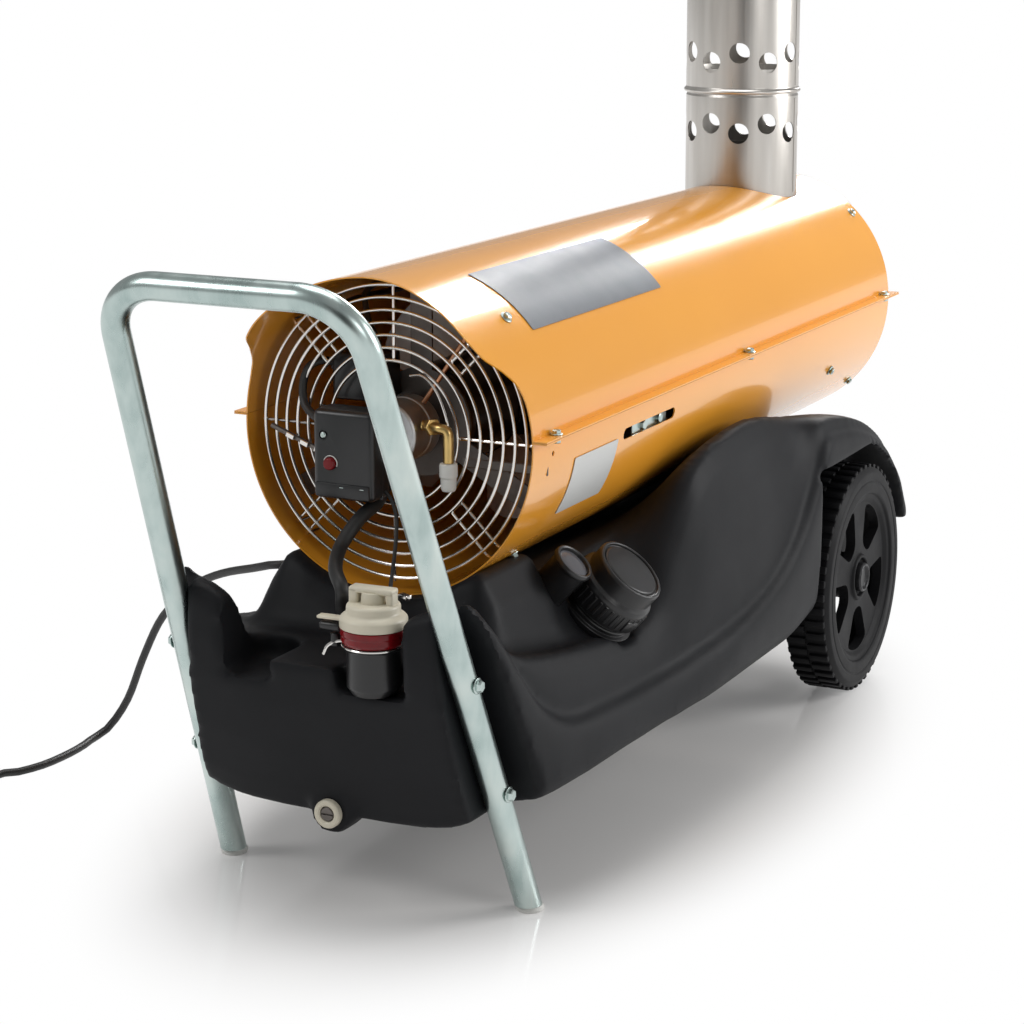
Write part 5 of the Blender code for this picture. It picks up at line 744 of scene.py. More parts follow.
plug_base = lead[-1] + leaving * GAP
plug_parts = [(turned([
    (0.0, PLUG_LENGTH), (PLUG_BODY - 0.002, PLUG_LENGTH), (PLUG_BODY, PLUG_LENGTH - 0.003),
    (PLUG_BODY, PLUG_LENGTH * 0.45), (PLUG_BODY * 0.62, PLUG_LENGTH * 0.22), (CORD_RADIUS * 1.5, 0.0004),
    (0.0, 0.0004)], 48, 0.0025), STILL)]
plug_parts += [(turned([(PLUG_BODY, 0.0), (PLUG_BODY - 0.0012, -0.0011), (PLUG_BODY - 0.0012, 0.0011)],
                       48, ring=True), Matrix.Translation((0.0, 0.0, height))) for height in PLUG_GRIPS]
plug_piece = show("plug_body", moved(gathered(*plug_parts), frame_at(plug_base, leaving)), "black_rubber",
                  replaces=("plug",))
pins = gathered(*[(turned([
    (0.0, 0.0), (PIN_RADIUS, 0.0), (PIN_RADIUS, 0.0180), (0.0016, 0.0188), (0.0, 0.0190)], 20, 0.0004),
    frame_at(plug_base, leaving) @ Matrix.Translation((side * PIN_OUT, 0.0, PLUG_LENGTH - GAP)))
    for side in (-1, 1)])
pin_piece = show("plug_pins", pins, "bright_wire")

# %% The lead itself
lead_curve = bpy.data.curves.new("mains_lead", "CURVE")
lead_curve.dimensions = "3D"
lead_curve.bevel_depth = CORD_RADIUS
lead_curve.bevel_resolution = 3
lead_curve.use_fill_caps = True
spline = lead_curve.splines.new("POLY")
spline.points.add(len(lead) - 1)
for knot, point in zip(spline.points, lead):
    knot.co = (*(BENCH_TO_ROW @ point), 1.0)
lead_curve.materials.append(finishes["black_rubber"])
lead_piece = bpy.data.objects.new("mains_lead", lead_curve)
bpy.context.scene.collection.objects.link(lead_piece)
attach(lead_piece, MACHINE)
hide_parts("power_cord", "cord_coil")
print("mains_lead", len(lead), "points")

# %% [markdown]
# ## Scattered pieces
#
# Screws and tread blocks are one small shape set down many times. They could be copied in a loop, but
# this is what Geometry Nodes are for: the points carry the direction that each piece stands in, and
# one tree puts the piece on each. The result is made a plain mesh at once, because an export drops
# instances.

# %% Scattered pieces


def add(tree, kind, settings=None, sockets=None):
    """One geometry node with its settings and what goes into its sockets."""
    node = tree.nodes.new(kind)
    for key, value in (settings or {}).items():
        setattr(node, key, value)
    for key, value in (sockets or {}).items():
        if isinstance(value, bpy.types.NodeSocket):
            tree.links.new(value, node.inputs[key])
        else:
            node.inputs[key].default_value = value
    return node


def new_tree(name, inputs):
    """An empty tree with named inputs; returns it, its input node and the inputs' identifiers."""
    tree = bpy.data.node_groups.new(name, "GeometryNodeTree")
    face = tree.interface
    names = {label: face.new_socket(label, in_out="INPUT", socket_type="NodeSocket" + kind).identifier
             for label, kind in inputs}
    face.new_socket("Geometry", in_out="OUTPUT", socket_type="NodeSocketGeometry")
    return tree, tree.nodes.new("NodeGroupInput").outputs, names


def close_tree(tree, geometry, finish):
    """Every tree ends in real geometry with its finish."""
    real = add(tree, "GeometryNodeRealizeInstances", {}, {0: geometry})
    done = add(tree, "GeometryNodeSetMaterial", {}, {"Geometry": real.outputs[0], "Material": finish})
    add(tree, "NodeGroupOutput", {}, {0: done.outputs[0]})


def scatter_tree(pivot):
    tree, given, names = new_tree("scatter_" + pivot.lower(), (
        ("Geometry", "Geometry"), ("Piece", "Object"), ("Finish", "Material"), ("Size", "Float")))
    piece = add(tree, "GeometryNodeObjectInfo", {"transform_space": "ORIGINAL"}, {"Object": given["Piece"]})
    way = add(tree, "GeometryNodeInputNamedAttribute", {"data_type": "FLOAT_VECTOR"}, {"Name": "way"})
    turn = add(tree, "FunctionNodeAlignRotationToVector", {"axis": "Z", "pivot_axis": pivot},
               {"Vector": way.outputs[0]})
    laid = add(tree, "GeometryNodeInstanceOnPoints", {}, {
        "Points": given["Geometry"], "Instance": piece.outputs["Geometry"], "Rotation": turn.outputs[0],
        "Scale": given["Size"]})
    close_tree(tree, laid.outputs[0], given["Finish"])
    return tree, names


scatter_trees = {pivot: scatter_tree(pivot) for pivot in ("AUTO", "X")}
print(len(scatter_trees), "trees that scatter a piece")


def scattered(template, spots, slot, size=1.0, pivot="AUTO"):
    """The template at each (point, way)."""
    points = bpy.data.meshes.new("spots")
    points.from_pydata([tuple(spot) for spot, way in spots], [], [])
    ways = points.attributes.new("way", "FLOAT_VECTOR", "POINT")
    ways.data.foreach_set("vector", [part for spot, way in spots for part in way])
    carrier, piece = helper(points), helper(template)
    tree, names = scatter_trees[pivot]
    modifier = carrier.modifiers.new("scatter", "NODES")
    modifier.node_group = tree
    modifier[names["Piece"]] = piece
    modifier[names["Finish"]] = finishes[slot]
    modifier[names["Size"]] = size
    mesh = baked(carrier)
    bpy.data.objects.remove(piece)
    return mesh


# %% [markdown]
# ## Barrel
#
# Two rolled sheets meet in flanges outside the barrel, a little above its axis. The upper one juts out
# over the inlet as a hood, with an ear on either side and a shallower crown. Half a cylinder with a
# cutter could give each, but the hood's edge rises and falls. So both are drawn as an outline across
# the barrel that is carried along it from a front edge of its own, then given the sheet's thickness.
# The slot and the holes are exact Booleans, because the wall of a thin sheet shows in them.

# %% Sheets of the barrel
SEAM_RISE = 0.006               # the seam lies this far above the axis
FLANGE_WIDTH = 0.012
FLANGE_ROOT = 0.0015
HOOD_REACH = 0.043
ARC_STEPS = 144
hood_stops = (                  # share of the quarter turn above the axis, share of the hood's reach
    (0.0, 0.0), (0.155, 0.02), (0.245, 0.12), (0.32, 0.44), (0.405, 0.90), (0.50, 1.0),
    (0.62, 0.95), (0.73, 0.88), (0.84, 0.78), (1.0, 0.70))
along_shares = (0.0, 0.01, 0.03, 0.07, 0.2, 0.4, 0.6, 0.8, 1.0)
INNER_RADIUS = BARREL_RADIUS - SHEET
SEAM_HEIGHT = BARREL_AXIS + SEAM_RISE
FLUE_RADIUS = 0.060
FLUE_PLACE = 0.7816
BEAD = 0.0022


def hood_edge(x, z):
    """Front edge of the upper sheet, by the angle above the axis."""
    if abs(x) > BARREL_RADIUS * math.cos(math.atan2(SEAM_RISE, BARREL_RADIUS)):
        return 0.0
    return -HOOD_REACH * glide(hood_stops, math.atan2(z - BARREL_AXIS, abs(x)) / (math.pi / 2))


def sheet_mesh(side, front_edge):
    """A rolled sheet with a flange on either side."""
    line = SEAM_HEIGHT + side * (SHEET + GAP / 2)
    reach = math.sqrt(BARREL_RADIUS ** 2 - (line - BARREL_AXIS) ** 2)
    start = math.atan2(line - BARREL_AXIS, reach)
    end = side * math.pi - start
    outline = [(reach + FLANGE_WIDTH, line), (reach + FLANGE_ROOT, line)]
    for i in range(ARC_STEPS + 1):
        angle = start + (end - start) * i / ARC_STEPS
        outline.append((BARREL_RADIUS * math.cos(angle), BARREL_AXIS + BARREL_RADIUS * math.sin(angle)))
    outline += [(-reach - FLANGE_ROOT, line), (-reach - FLANGE_WIDTH, line)]
    shape = bmesh.new()
    grid = []
    for x, z in outline:
        front = front_edge(x, z)
        grid.append([shape.verts.new((x, front + (BARREL_LENGTH - front) * share, z))
                     for share in along_shares])
    for near, far in zip(grid, grid[1:]):
        for i in range(len(along_shares) - 1):
            corners = (near[i], near[i + 1], far[i + 1], far[i])
            shape.faces.new(corners if side > 0 else corners[::-1])
    sheet = helper(mesh_of("sheet", shape))
    wall = sheet.modifiers.new("wall", "SOLIDIFY")
    wall.thickness = SHEET
    wall.offset = -1.0
    wall.use_even_offset = True
    return baked(sheet)


# %% Openings in the sheets
SLOT_LENGTH = 0.112             # the thermostat's slot
SLOT_HEIGHT = 0.010
SLOT_PLACE = 0.235
SLOT_AT = BARREL_AXIS - 0.021
CUT_HALF = 0.03                 # the cutters reach this far in and out
PIN_HOLE_RADIUS = 0.0022
PIN_HOLE_ANGLE = -4.1
PIN_HOLE_PLACE = 0.037
half_slot = SLOT_LENGTH / 2 - SLOT_HEIGHT / 2
slot_line = [(end * half_slot + SLOT_HEIGHT / 2 * math.sin(end * math.pi * i / 12),
              end * SLOT_HEIGHT / 2 * math.cos(end * math.pi * i / 12)) for end in (1, -1) for i in range(13)]
to_wall = Matrix(((0, 0, 1, BARREL_RADIUS), (1, 0, 0, SLOT_PLACE), (0, 1, 0, SLOT_AT), (0, 0, 0, 1)))


def drum(radius, low, high, frame, sides=64):
    """A round bar, or a drill."""
    return moved(turned([(0.0, low), (radius, low), (radius, high), (0.0, high)], sides), frame)


slot_cut = moved(carried(slot_line, -CUT_HALF, CUT_HALF), to_wall)
gland_cut = drum(GLAND_RADIUS, -CUT_HALF, CUT_HALF, frame_at(gland_spot, gland_way), 32)
flue_cut = drum(FLUE_RADIUS + 3 * GAP, BARREL_AXIS, 0.7, Matrix.Translation((0.0, FLUE_PLACE, 0.0)), 96)
pin_hole = drum(PIN_HOLE_RADIUS, -0.01, 0.01, frame_at(
    on_barrel(BARREL_RADIUS, PIN_HOLE_ANGLE, PIN_HOLE_PLACE), outwards(PIN_HOLE_ANGLE)), 20)
show("upper_sheet", carved(sheet_mesh(1, hood_edge), ("DIFFERENCE", flue_cut)), "orange_enamel",
     replaces=("upper_shell",))
lower_sheet = carved(sheet_mesh(-1, lambda x, z: 0.0), ("DIFFERENCE", slot_cut),
                     ("DIFFERENCE", gland_cut), ("DIFFERENCE", pin_hole))
show("lower_sheet", lower_sheet, "orange_enamel", replaces=("lower_shell",))

# %% Outlet collar
ALONG_Y = Matrix.Rotation(-math.pi / 2, 4, "X")       # takes +Z to +Y
ON_AXIS = Matrix.Translation((0.0, 0.0, BARREL_AXIS)) @ ALONG_Y
OUTLET_DEPTH = 0.024
OUTLET_LIP = 0.012
lip = INNER_RADIUS - GAP
show("outlet_collar", moved(turned([
    (lip, OUTLET_DEPTH), (lip, 0.0), (lip - SHEET, 0.0), (lip - SHEET, OUTLET_DEPTH - SHEET),
    (lip - OUTLET_LIP, OUTLET_DEPTH - SHEET), (lip - OUTLET_LIP, OUTLET_DEPTH)], 128, 0.0004, ring=True),
    Matrix.Translation((0.0, BARREL_LENGTH - OUTLET_DEPTH, 0.0)) @ ON_AXIS), "orange_enamel",
    replaces=("outlet_ring",))

# %% [markdown]
# ## Screws and plates
#
# Plated screws with a washer face hold the sheets: some go radially into the frame inside, and the
# rest clamp the two flanges. The dark plate on the shoulder and the silver one below it are thin metal
# bent to the wall. They stay bare. A patch of the barrel's own mesh could stand for a plate, but its
# corners would follow the mesh. So a flat plate with round corners is sliced into strips, which gives
# it points to bend at, and bent.

# %% Barrel screws
head = gathered(
    (turned([(0.0, 0.0), (0.0058, 0.0), (0.0058, 0.0009), (0.0044, 0.0013), (0.0, 0.0013)],
            24, 0.0003), STILL),
    (turned([(0.0, 0.001), (0.0042, 0.001), (0.0042, 0.0037), (0.0032, 0.0044), (0.0, 0.0040)], 6), STILL),
    (soft_box((0.0062, 0.0009, 0.0006), 0.0001, (0.0, 0.0, 0.0041), 1), STILL))
screw_spots = []
for along, degrees in ((0.036, 47.0), (0.066, -52.0), (0.870, 44.6), (0.859, -42.1), (0.737, -25.3)):
    for angle in (degrees, 180.0 - degrees):
        screw_spots.append((on_barrel(BARREL_RADIUS + GAP, angle, along), outwards(angle)))
seam_x = math.sqrt(BARREL_RADIUS ** 2 - SEAM_RISE ** 2) + 0.005
for along in (0.032, 0.458, 0.8615):
    for side in (-1, 1):
        for up in (1, -1):
            screw_spots.append((Vector((side * seam_x, along, SEAM_HEIGHT + up * (SHEET + GAP))),
                                Vector((0.0, 0.0, up))))
show("barrel_screws", scattered(head, screw_spots, "zinc_plate", 0.92), "zinc_plate")

# %% Plates on the barrel
PLATE_SHEET = 0.0006
PLATE_STRIPS = 24


def curved_plate(name, length, middle, low, high, corner, slot, node):
    """A thin plate with round corners, bent to the barrel's wall."""
    arc = BARREL_RADIUS * math.radians(high - low)
    outline = rounded([(0.0, -length / 2), (arc, -length / 2), (arc, length / 2), (0.0, length / 2)],
                      corner, 5, ring=True)
    shape = bmesh.new()
    shape.from_mesh(carried([tuple(point) for point in outline], 0.0, PLATE_SHEET))
    for i in range(1, PLATE_STRIPS):
        bmesh.ops.bisect_plane(shape, geom=shape.verts[:] + shape.edges[:] + shape.faces[:],
                               plane_co=(arc * i / PLATE_STRIPS, 0.0, 0.0), plane_no=(1.0, 0.0, 0.0))
    for vertex in shape.verts:
        angle = low + math.degrees(vertex.co.x / BARREL_RADIUS)
        vertex.co = on_barrel(BARREL_RADIUS + GAP + vertex.co.z, angle, middle + vertex.co.y)
    bmesh.ops.recalc_face_normals(shape, faces=shape.faces)
    show(name, mesh_of(name, shape), slot, replaces=(node,))


curved_plate("shoulder_plate", 0.262, 0.192, 39.5, 71.0, 0.002, "dark_plate", "top_plate")
curved_plate("side_plate", 0.086, 0.124, -32.0, -9.5, 0.002, "silver_plate", "rating_plate")

# %% [markdown]
# ## Inlet grille
#
# Seven plated rings lie in one plane in front of the fan. Four straight spokes and four hairpins run
# behind them, and the hairpins turn back along the wall, where they are welded. Seven tori would do
# for the rings, but they follow a rule, so a tree draws them from their number, their step and the
# wire's radius. The other wires are tubes.

# %% Inlet grille
GRILLE_RADIUS = 0.1236
GRILLE_STEP = 0.0104
GRILLE_RINGS = 7
GRILLE_PLACE = 0.012            # behind the edge of the lower sheet
WIRE = 0.0014

tree, given, names = new_tree("rings", (
    ("Geometry", "Geometry"), ("Rings", "Int"), ("Radius", "Float"), ("Step", "Float"), ("Wire", "Float"),
    ("Finish", "Material")))
spots = add(tree, "GeometryNodeMeshLine", {"mode": "OFFSET"}, {
    "Count": given["Rings"], "Offset": (0.0, 0.0, 0.0)})
index = add(tree, "GeometryNodeInputIndex")
inset = add(tree, "ShaderNodeMath", {"operation": "MULTIPLY"}, {0: index.outputs[0], 1: given["Step"]})
size = add(tree, "ShaderNodeMath", {"operation": "SUBTRACT"}, {0: given["Radius"], 1: inset.outputs[0]})
circle = add(tree, "GeometryNodeCurvePrimitiveCircle", {"mode": "RADIUS"}, {"Resolution": 120, "Radius": 1.0})
laid = add(tree, "GeometryNodeInstanceOnPoints", {}, {
    "Points": spots.outputs[0], "Instance": circle.outputs[0], "Scale": size.outputs[0]})
circles = add(tree, "GeometryNodeRealizeInstances", {}, {0: laid.outputs[0]})
section = add(tree, "GeometryNodeCurvePrimitiveCircle", {"mode": "RADIUS"}, {
    "Resolution": 10, "Radius": given["Wire"]})
wires = add(tree, "GeometryNodeCurveToMesh", {}, {0: circles.outputs[0], 1: section.outputs[0]})
close_tree(tree, wires.outputs[0], given["Finish"])
carrier = helper(bpy.data.meshes.new("rings"))
modifier = carrier.modifiers.new("rings", "NODES")
modifier.node_group = tree
for label, value in (("Rings", GRILLE_RINGS), ("Radius", GRILLE_RADIUS - WIRE), ("Step", GRILLE_STEP),
                     ("Wire", WIRE), ("Finish", finishes["bright_wire"])):
    modifier[names[label]] = value
rings = baked(carrier)
print(GRILLE_RINGS, "rings,", len(rings.polygons), "faces")

# %% Spokes and hairpins
BEHIND = 2 * WIRE - GAP         # the wires are pressed a little into the rings, as a weld does
HAIRPIN_HALF = 0.0065
HAIRPIN_REACH = 0.043
HAIRPIN_TAIL = 0.022            # along the wall
wires = [(rings, STILL)]
inner = GRILLE_RADIUS - WIRE - (GRILLE_RINGS - 1) * GRILLE_STEP
near, far = GRILLE_RADIUS - HAIRPIN_REACH, INNER_RADIUS - 2 * WIRE
leg = rounded([
    (far, HAIRPIN_HALF, BEHIND + HAIRPIN_TAIL), (far, HAIRPIN_HALF, BEHIND), (near, HAIRPIN_HALF, BEHIND),
    (near, 0.0, BEHIND), (near, -HAIRPIN_HALF, BEHIND), (far, -HAIRPIN_HALF, BEHIND),
    (far, -HAIRPIN_HALF, BEHIND + HAIRPIN_TAIL)], 0.006, 6)
for quarter in range(4):
    turn = Matrix.Rotation(quarter * math.pi / 2, 4, "Z")
    wires.append((tube([(inner - WIRE, 0.0, BEHIND), (far - 0.004, 0.0, BEHIND)], WIRE, 10), turn))
    wires.append((tube(leg, WIRE, 10), turn @ Matrix.Rotation(math.pi / 4, 4, "Z")))
grille = moved(gathered(*wires), Matrix.Translation((0.0, GRILLE_PLACE, 0.0)) @ ON_AXIS)
show("grille", grille, "bright_wire", replaces=("inlet_grille",))

# %% [markdown]
# ## Flue
#
# The flue is two pipes: the upper one slips over the lower with a rolled bead, and each has a
# staggered row of round draught holes beside the joint. Dark spots on the surface could stand for the
# holes, but daylight shows through them and their edges catch it. So they are cut from real walls. A
# lapped seam runs up each pipe.

# %% Draught holes and seam
FLUE_SHEET = 0.0010
FLUE_JOINT = 0.605              # height of the bead
FLUE_TOP = 0.850
FLUE_SPIGOT = 0.025
HOLE_RADIUS = 0.0108
HOLE_ROW = 0.037                # from the bead to the middle of a row
HOLE_STAGGER = 0.005            # up or down from that
HOLE_DEPTH = 0.01
HOLES = 12
HOLE_PHASE = 18.0               # degrees
SEAM_TURN = 3.0                 # degrees, where the lapped seam stands
flue_base = math.sqrt(INNER_RADIUS ** 2 - FLUE_RADIUS ** 2) + BARREL_AXIS - 0.004
inner_flue = FLUE_RADIUS - FLUE_SHEET
FLUE_AT = Matrix.Translation((0.0, FLUE_PLACE, 0.0))


def draught_holes(height, side):
    """A row of drills, every other one a little higher."""
    drill = drum(HOLE_RADIUS, -HOLE_DEPTH, HOLE_DEPTH, STILL, 32)
    pieces = []
    for i in range(HOLES):
        angle = math.radians(HOLE_PHASE + 360.0 * i / HOLES)
        way = Vector((math.cos(angle), math.sin(angle), 0.0))
        rise = (HOLE_STAGGER if i % 2 else -HOLE_STAGGER) * side
        spot = way * FLUE_RADIUS + Vector((0.0, 0.0, height + rise))
        pieces.append((drill, frame_at(spot, way)))
    return gathered(*pieces)


def lapped_seam(radius, low, high):
    """The edge of the sheet where it laps over itself."""
    half, rise = math.radians(4.0), 0.0006
    points = []
    for share in (-1.0, -0.9, 0.0, 0.9, 1.0):
        out = radius + (rise if abs(share) < 0.95 else -0.0002)
        points.append((out * math.cos(half * share), out * math.sin(half * share)))
    points += [((radius - 0.0004) * math.cos(half * share), (radius - 0.0004) * math.sin(half * share))
               for share in (0.9, 0.0, -0.9)]
    return carried(points, low, high)


# %% Flue pipes
lower_pipe = turned([
    (inner_flue - GAP, FLUE_JOINT + FLUE_SPIGOT), (inner_flue - GAP, FLUE_JOINT - BEAD),
    (FLUE_RADIUS - GAP, FLUE_JOINT - 2 * BEAD), (FLUE_RADIUS - GAP, flue_base), (inner_flue - GAP, flue_base),
    (inner_flue - GAP, FLUE_JOINT - 3 * BEAD), (inner_flue - FLUE_SHEET - GAP, FLUE_JOINT - 2 * BEAD),
    (inner_flue - FLUE_SHEET - GAP, FLUE_JOINT + FLUE_SPIGOT)], 128, 0.0003, ring=True)
upper_pipe = turned(rounded([
    (FLUE_RADIUS, FLUE_TOP), (FLUE_RADIUS, FLUE_JOINT + 3 * BEAD), (FLUE_RADIUS, FLUE_JOINT + 2 * BEAD),
    (FLUE_RADIUS + BEAD, FLUE_JOINT + BEAD), (FLUE_RADIUS + BEAD, FLUE_JOINT),
    (FLUE_RADIUS, FLUE_JOINT - BEAD / 2), (inner_flue + GAP, FLUE_JOINT - BEAD / 2),
    (inner_flue + GAP, FLUE_TOP)], 0.0012, 4, ring=True), 128, ring=True)
seam_turn = Matrix.Rotation(math.radians(SEAM_TURN), 4, "Z")
for word, pipe, side, low, high in (
        ("lower", lower_pipe, -1, flue_base + 0.01, FLUE_JOINT - 3 * BEAD),
        ("upper", upper_pipe, 1, FLUE_JOINT + 3 * BEAD, FLUE_TOP - GAP)):
    seam = moved(lapped_seam(FLUE_RADIUS - (GAP if side < 0 else 0.0), low, high), seam_turn)
    pierced = carved(pipe, ("DIFFERENCE", draught_holes(FLUE_JOINT + side * HOLE_ROW, side)))
    show("flue_" + word, moved(gathered((pierced, STILL), (seam, STILL)), FLUE_AT), "stainless",
         replaces=("flue_pipe_" + word,))

# %% [markdown]
# ## Fuel tank
#
# The tank is one hollow moulding with soft edges. It could be sculpted, or modelled from a box with
# subdivision, but then a measured line would be hard to keep. So its shape is a row of feature lines:
# keel, belly, flank, rim, ledge, brow, well and saddle. Each has stops along the machine, which say how
# far out and how far up it lies there, as shares of half the width and of the height.

# %% Tank: feature lines
TANK_FRONT = -0.130
TANK_LENGTH = 0.940
TANK_HALF_WIDTH = 0.190
TANK_HEIGHT = BARREL_AXIS - 0.042
FRONT_RAKE = 0.040              # the front leans forward by this
RAKE_LOW = 0.085
RAKE_HIGH = 0.210
RAKE_LENGTH = 0.110
STATIONS = 110                  # sections from the front to the back
TOWER_OVER = 0.007              # the tower reaches into the barrel by this, before it is cut to it
SADDLE_CLEAR = 0.014            # and the saddle stays this far below
tower = (0.125, 0.235)          # where it begins and ends
keel_line = ((0.0, 0.53, 0.235), (0.62, 0.53, 0.235), (0.74, 0.53, 0.31), (1.0, 0.53, 0.31))
belly_line = ((0.0, 0.62, 0.275), (0.62, 0.64, 0.275), (0.74, 0.64, 0.335), (1.0, 0.64, 0.335))
flank_line = (
    (0.0, 0.80, 0.33), (0.05, 0.85, 0.33), (0.14, 0.905, 0.33), (0.30, 0.94, 0.33),
    (0.45, 0.985, 0.33), (0.62, 0.985, 0.33), (0.74, 0.985, 0.37), (1.0, 0.97, 0.37))
rim_line = (
    (0.0, 0.70, 0.80), (0.02, 0.73, 0.82), (0.05, 0.765, 0.75), (0.075, 0.79, 0.65), (0.105, 0.82, 0.54),
    (0.14, 0.85, 0.475), (0.16, 0.863, 0.455), (0.20, 0.88, 0.445), (0.265, 0.895, 0.437),
    (0.33, 0.91, 0.432), (0.405, 0.945, 0.445), (0.49, 0.975, 0.467), (0.565, 0.985, 0.503),
    (0.615, 0.985, 0.55), (0.66, 0.985, 0.63), (0.70, 0.985, 0.75), (0.735, 0.985, 0.86),
    (0.80, 0.985, 0.845), (0.855, 0.985, 0.81), (0.92, 0.985, 0.735), (0.97, 0.985, 0.62),
    (1.0, 0.97, 0.52))
ledge_line = (
    (0.0, 0.60, 0.80), (0.02, 0.62, 0.82), (0.05, 0.66, 0.755), (0.075, 0.72, 0.70), (0.105, 0.76, 0.66),
    (0.175, 0.763, 0.625), (0.25, 0.773, 0.593), (0.33, 0.79, 0.566), (0.365, 0.815, 0.60),
    (0.39, 0.84, 0.65), (0.45, 0.88, 0.78), (0.55, 0.90, 0.82), (0.64, 0.88, 0.84), (0.70, 0.87, 0.88),
    (0.735, 0.87, 0.91), (0.855, 0.90, 0.845), (0.92, 0.90, 0.765), (0.97, 0.90, 0.66),
    (1.0, 0.89, 0.565))
brow_line = (
    (0.0, 0.50, 0.79), (0.02, 0.50, 0.81), (0.05, 0.58, 0.70), (0.075, 0.64, 0.66), (0.105, 0.68, 0.64),
    (0.175, 0.70, 0.60), (0.25, 0.71, 0.575), (0.33, 0.72, 0.56), (0.365, 0.75, 0.62), (0.39, 0.77, 0.72),
    (0.45, 0.80, 0.93), (0.50, 0.80, 0.985), (0.58, 0.79, 1.0), (0.64, 0.775, 0.985), (0.70, 0.76, 0.945),
    (0.735, 0.76, 0.92), (0.855, 0.80, 0.85), (0.92, 0.80, 0.77), (0.97, 0.80, 0.665), (1.0, 0.80, 0.57))
well_line = (
    (0.0, 0.42, 0.77), (0.02, 0.42, 0.78), (0.05, 0.50, 0.66), (0.075, 0.56, 0.642), (0.105, 0.60, 0.63),
    (0.175, 0.62, 0.59), (0.25, 0.63, 0.57), (0.33, 0.64, 0.57), (0.365, 0.66, 0.65), (0.39, 0.68, 0.76),
    (0.45, 0.70, 0.92), (0.58, 0.70, 0.955), (0.70, 0.68, 0.90), (0.855, 0.72, 0.80), (0.92, 0.72, 0.74),
    (0.97, 0.70, 0.65), (1.0, 0.70, 0.565))
saddle_line = (
    (0.0, 0.30, 0.755), (0.02, 0.30, 0.755), (0.05, 0.37, 0.645), (0.10, 0.45, 0.645), (0.125, 0.50, 0.86),
    (0.235, 0.50, 0.86), (0.26, 0.52, 0.80), (0.58, 0.55, 0.79), (0.855, 0.55, 0.76), (0.92, 0.54, 0.70),
    (1.0, 0.50, 0.56))
feature_lines = (keel_line, belly_line, flank_line, rim_line, ledge_line, brow_line, well_line, saddle_line)
print(len(feature_lines), "feature lines with", sum(map(len, feature_lines)), "stops")

# %% [markdown]
# ## From lines to a skin
#
# The real mould closes round the tank in one smooth surface. The lines could become curves that a
# surface is lofted over, but Blender has no loft that keeps its corners in place. So a section is
# drawn across the tank at each of 110 stations, and each is joined to the next by plain faces. Each
# end is closed by rows of four-sided faces, which bend with the leaning front.

# %% Tank: sections


def along_tank(stops, share):
    """Out and up shares of one feature line."""
    return [glide([(stop[0], stop[i]) for stop in stops], share) for i in (1, 2)]


def beside(line, out, up):
    return [line[0] + out, line[1] + up]


def raked(along, height):
    """The front leans: lower points lie further back."""
    depth = min(max((RAKE_HIGH - height) / (RAKE_HIGH - RAKE_LOW), 0.0), 1.0)
    return along + FRONT_RAKE * depth * max(0.0, 1.0 - (along - TANK_FRONT) / RAKE_LENGTH)


def saddle_height(share, x, height):
    """Clear of the barrel, except at the tower, which is cut to it later."""
    under = BARREL_AXIS - math.sqrt(BARREL_RADIUS ** 2 - x ** 2)
    return under + TOWER_OVER if tower[0] <= share <= tower[1] else min(height, under - SADDLE_CLEAR)


def tank_section(share):
    """Half an outline, from the middle of the bottom round to the middle of the top."""
    keel, flank = along_tank(keel_line, share), along_tank(flank_line, share)
    rim = along_tank(rim_line, share)
    high = beside(rim, 0.03, -0.06)
    high[0] = min(high[0], 1.0)
    lines = [[0.0, keel[1]], keel, along_tank(belly_line, share), beside(flank, -0.05, -0.035), flank,
             [(low + top) / 2 for low, top in zip(flank, high)], high, rim, beside(rim, -0.055, -0.005),
             beside(rim, -0.045, 0.035), along_tank(ledge_line, share), along_tank(brow_line, share),
             along_tank(well_line, share)]
    points = [(out * TANK_HALF_WIDTH, up * TANK_HEIGHT) for out, up in lines]
    side, height = along_tank(saddle_line, share)
    for part in (1.0, 0.5, 0.0):
        x = part * side * TANK_HALF_WIDTH
        points.append((x, saddle_height(share, x, height * TANK_HEIGHT)))
    along = TANK_FRONT + share * TANK_LENGTH
    return [(x, raked(along, z), z) for x, z in points]


sections = [tank_section(i / STATIONS) for i in range(STATIONS + 1)]
print(len(sections), "sections of", len(sections[0]), "points a side")

# %% Tank: skin


def close_end(shape, section, ring, half):
    """An end wall in two rows, with a middle row where the rake begins."""
    middles = []
    for low, high in ((i, half - 1 - i) for i in range(4)):
        bottom, top = Vector(section[low]), Vector(section[high])
        height = min(RAKE_HIGH, bottom.z + 0.7 * (top.z - bottom.z))
        spot = bottom.lerp(top, (height - bottom.z) / (top.z - bottom.z))
        middles.append(Vector((spot.x, raked(top.y, height) if top.y < 0.0 else top.y, height)))
    centre = shape.verts.new(middles[0])
    for side, row in zip((1, -1), ring):
        column = [centre] + [shape.verts.new((side * spot.x, spot.y, spot.z)) for spot in middles[1:]]
        for i in range(3):
            shape.faces.new((row[i], row[i + 1], column[i + 1], column[i]))
            shape.faces.new((column[i], column[i + 1], row[half - 2 - i], row[half - 1 - i]))
        shape.faces.new((row[3], row[4], row[5], column[-1]))
        shape.faces.new((column[-1], row[5], row[half - 5], row[half - 4]))
        shape.faces.new([row[i] for i in range(5, half - 4)])


